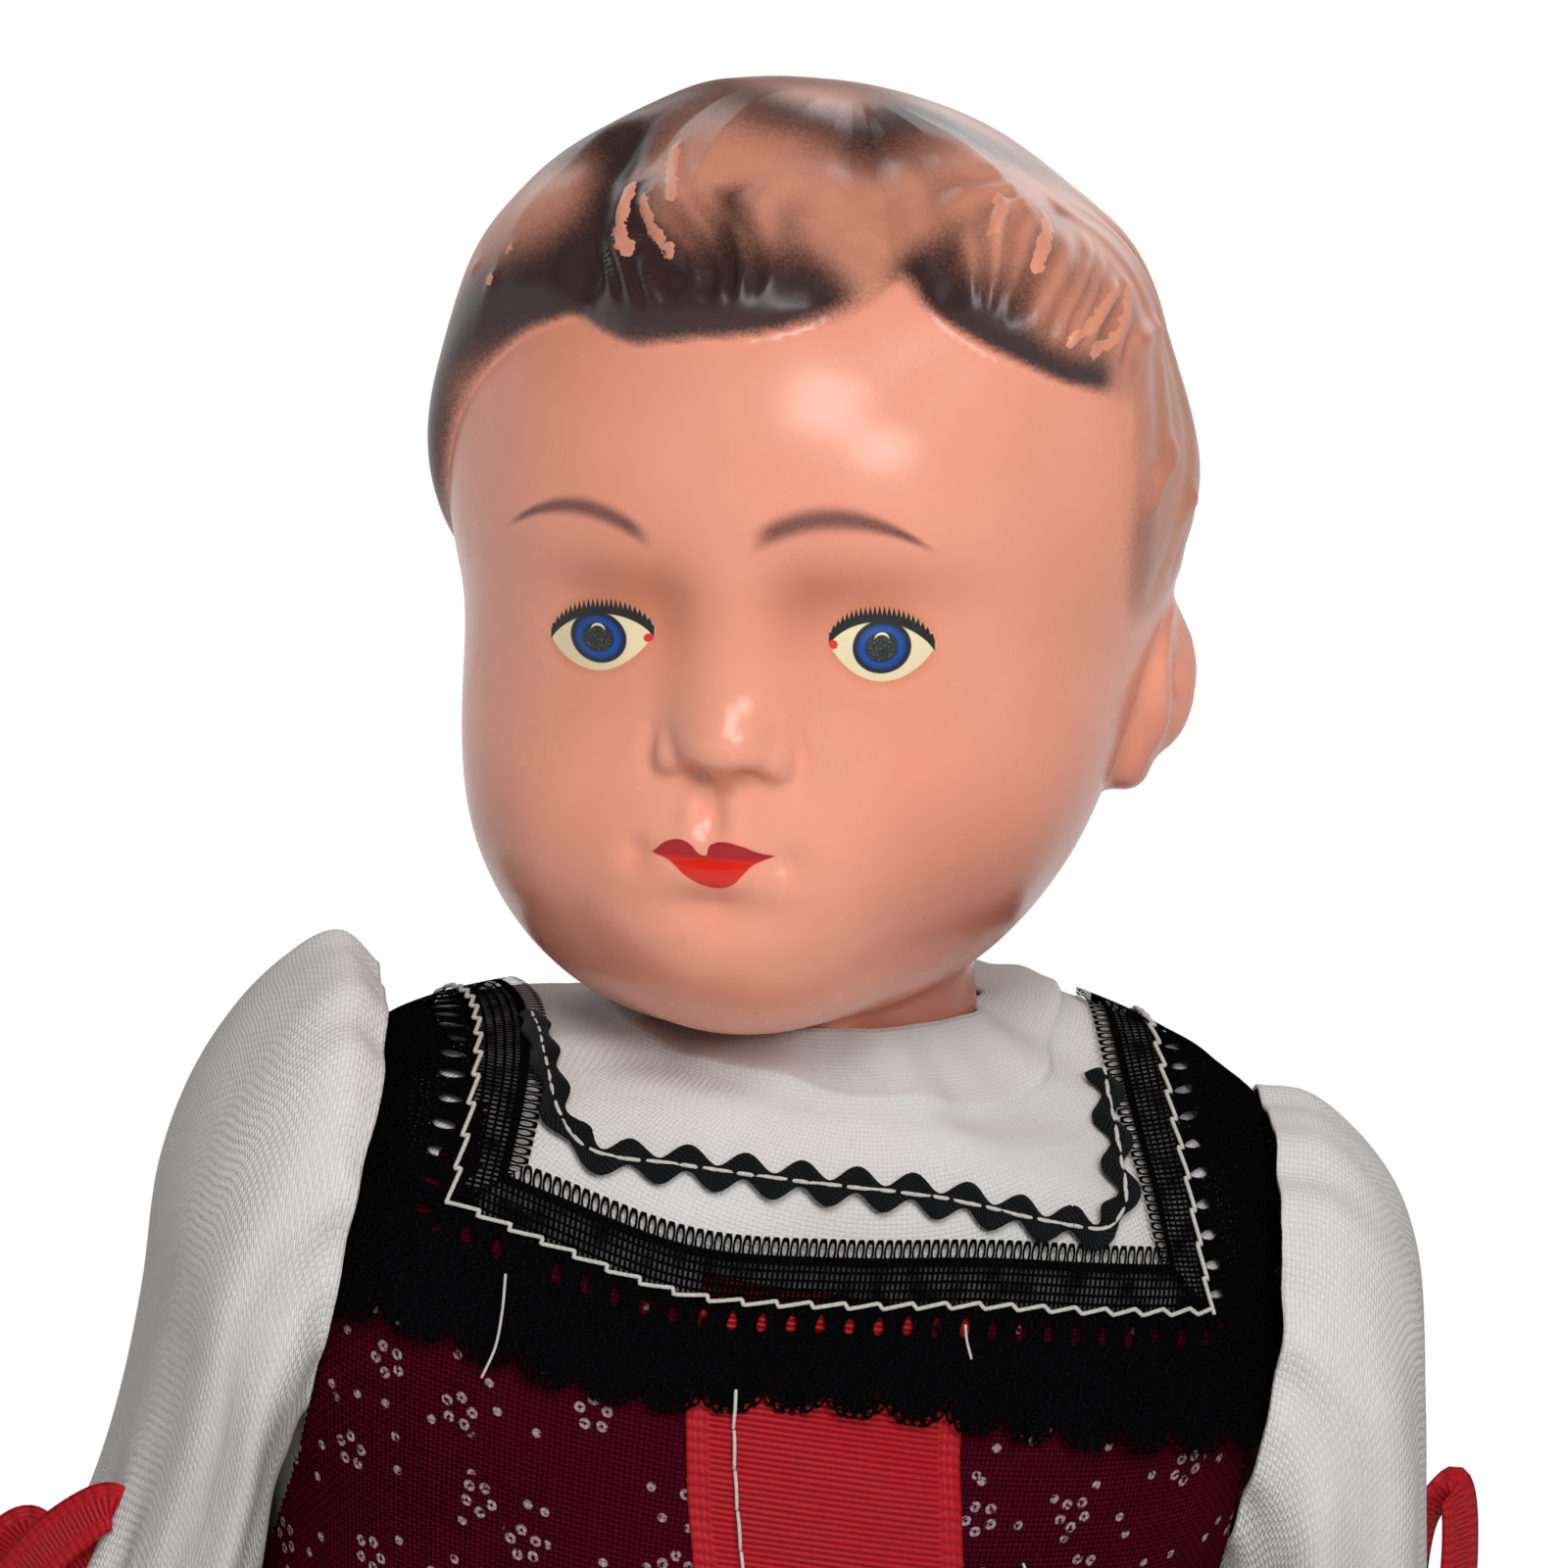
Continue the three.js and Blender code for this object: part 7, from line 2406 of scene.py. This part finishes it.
@dataclass
class Studio:
    """The floor, the lights and the camera at the photograph's angle."""

    azimuth: float = -11.7
    elevation: float = 9.0
    roll: float = 10.7
    distance: float = 1000.0
    lens: float = 254.9
    aim: Point = (0.0, 0.0, 330.0)
    aim_aside: float = -5.12
    aim_above: float = 14.04
    floor_radius: float = 1000.0

    def camera(self) -> Piece:
        """Make the camera.

        Returns:
            The camera.
        """
        r = math.radians(self.roll)
        back = toward(self.azimuth, self.elevation)
        level = (-back).cross(Vector((0, 0, 1))).normalized()
        upright = level.cross(-back)
        right = level * math.cos(r) + upright * math.sin(r)
        up = upright * math.cos(r) - level * math.sin(r)
        target = Vector(self.aim) + right * self.aim_aside + up * self.aim_above
        data = bpy.data.cameras.new("camera")
        data.lens = self.lens
        data.sensor_width = 36
        data.clip_start = 0.05
        made = bpy.data.objects.new("camera", data)
        axes = Matrix((right, up, back)).transposed().to_4x4()
        made.matrix_world = Matrix.Translation((target + back * self.distance) * MM) @ axes
        bpy.context.scene.collection.objects.link(made)
        bpy.context.scene.camera = made
        return made

    def lamp(self, name: str, azimuth: float, elevation: float, far_off: float, size: Pair,
             power: float) -> None:
        """Hang a soft box round the doll, facing its chest.

        Args:
            name: The lamp's name.
            azimuth, elevation: Where it hangs, in degrees.
            far_off: Its distance in metres.
            size: Its width and height in metres.
            power: Its power in watts.
        """
        data = bpy.data.lights.new(name, "AREA")
        data.shape = "RECTANGLE"
        data.size, data.size_y = size
        data.energy = power
        made = bpy.data.objects.new(name, data)
        back = toward(azimuth, elevation)
        facing = back.to_track_quat("Z", "Y").to_matrix().to_4x4()
        made.matrix_world = Matrix.Translation(Vector(self.aim) * MM + back * far_off) @ facing
        bpy.context.scene.collection.objects.link(made)

    def lights(self) -> None:
        """A key box over the camera, fills on both sides and behind, and an even world."""
        self.lamp("key", -13, 35, 1.1, (0.42, 0.42), 6.4)
        self.lamp("low", 8, 21, 1.1, (0.34, 0.22), 3.6)
        self.lamp("fill_left", -70, 35, 1.4, (0.9, 0.9), 0.6)
        self.lamp("fill_right", 62, 50, 1.4, (0.9, 0.9), 1.3)
        self.lamp("back_left", 150, 26, 1.5, (0.9, 0.8), 4.6)
        self.lamp("back_right", -155, 26, 1.5, (0.9, 0.8), 4.6)
        world = bpy.data.worlds.new("studio")
        bpy.context.scene.world = world
        world.use_nodes = True
        graph = Graph(world.node_tree)
        sky = world.node_tree.nodes["Background"]
        sky.inputs["Color"].default_value = (1, 1, 1, 1)
        seen = graph.seen()
        _, _, up = graph.parts(graph.node("ShaderNodeTexCoord").outputs["Generated"])
        graph.feed(sky.inputs["Strength"], graph.blend(seen * up.rise(0.22, 0.06), 0.13, 1.0))

    def floor(self) -> None:
        """Lay a round pale floor that fades out at its rim, out of the camera's sight."""
        turn = turns(64)
        below = -0.05
        rim = np.stack([np.cos(turn), np.sin(turn), 0 * turn], -1) * self.floor_radius + (0, 0, below)
        made = new_object("floor", rim, [tuple(range(64))])
        Floor("pale_floor", self.floor_radius).put_on(made)

    def build(self) -> None:
        """Set up the whole studio."""
        scene = bpy.context.scene
        scene.view_settings.view_transform = "Standard"
        self.camera()
        self.lights()
        self.floor()


@dataclass(frozen=True)
class Floor(Finish):
    """Pale paper, a little cloudy, that fades out at its rim."""

    rim: float

    def dress(self, graph: Graph, shader: Node) -> None:
        """Wire the paper's colour."""
        x, y, _ = graph.parts(graph.solid())
        cloud = graph.noise(graph.solid(), 300)
        graph.wire(shader, Base_Color=graph.mix(cloud, paint(246, 246, 246), paint(250, 250, 250)),
                   Alpha=far(x, y).rise(self.rim, self.rim * 0.45),
                   Emission_Strength=graph.seen() * 0.42, Emission_Color=(1, 1, 1, 1), Roughness=0.9)


def main() -> None:
    """Load the frame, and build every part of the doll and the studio."""
    logging.basicConfig(level=logging.INFO, format="%(name)s: %(message)s")
    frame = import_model()
    Studio().build()
    body = Body()
    left = Sleeve(Side.LEFT, LEFT_PUFF, loops=((-6, 37), (50, 17)))
    right = Sleeve(Side.RIGHT, RIGHT_PUFF, loops=((-24, 22), (35, 15)), lean=0.45)
    made = [Head().build()]
    for worn in (Bodice(body), Yoke(body), LaceCollar(body), Rickrack(body), FrontRibbon(body), left, right,
                 Skirts(body), Limbs(frame["nodes"])):
        made += worn.build()
    for piece in made:
        LOG.info("%s: %d points", piece.name, len(piece.data.vertices))


if __name__ == "__main__":
    main()
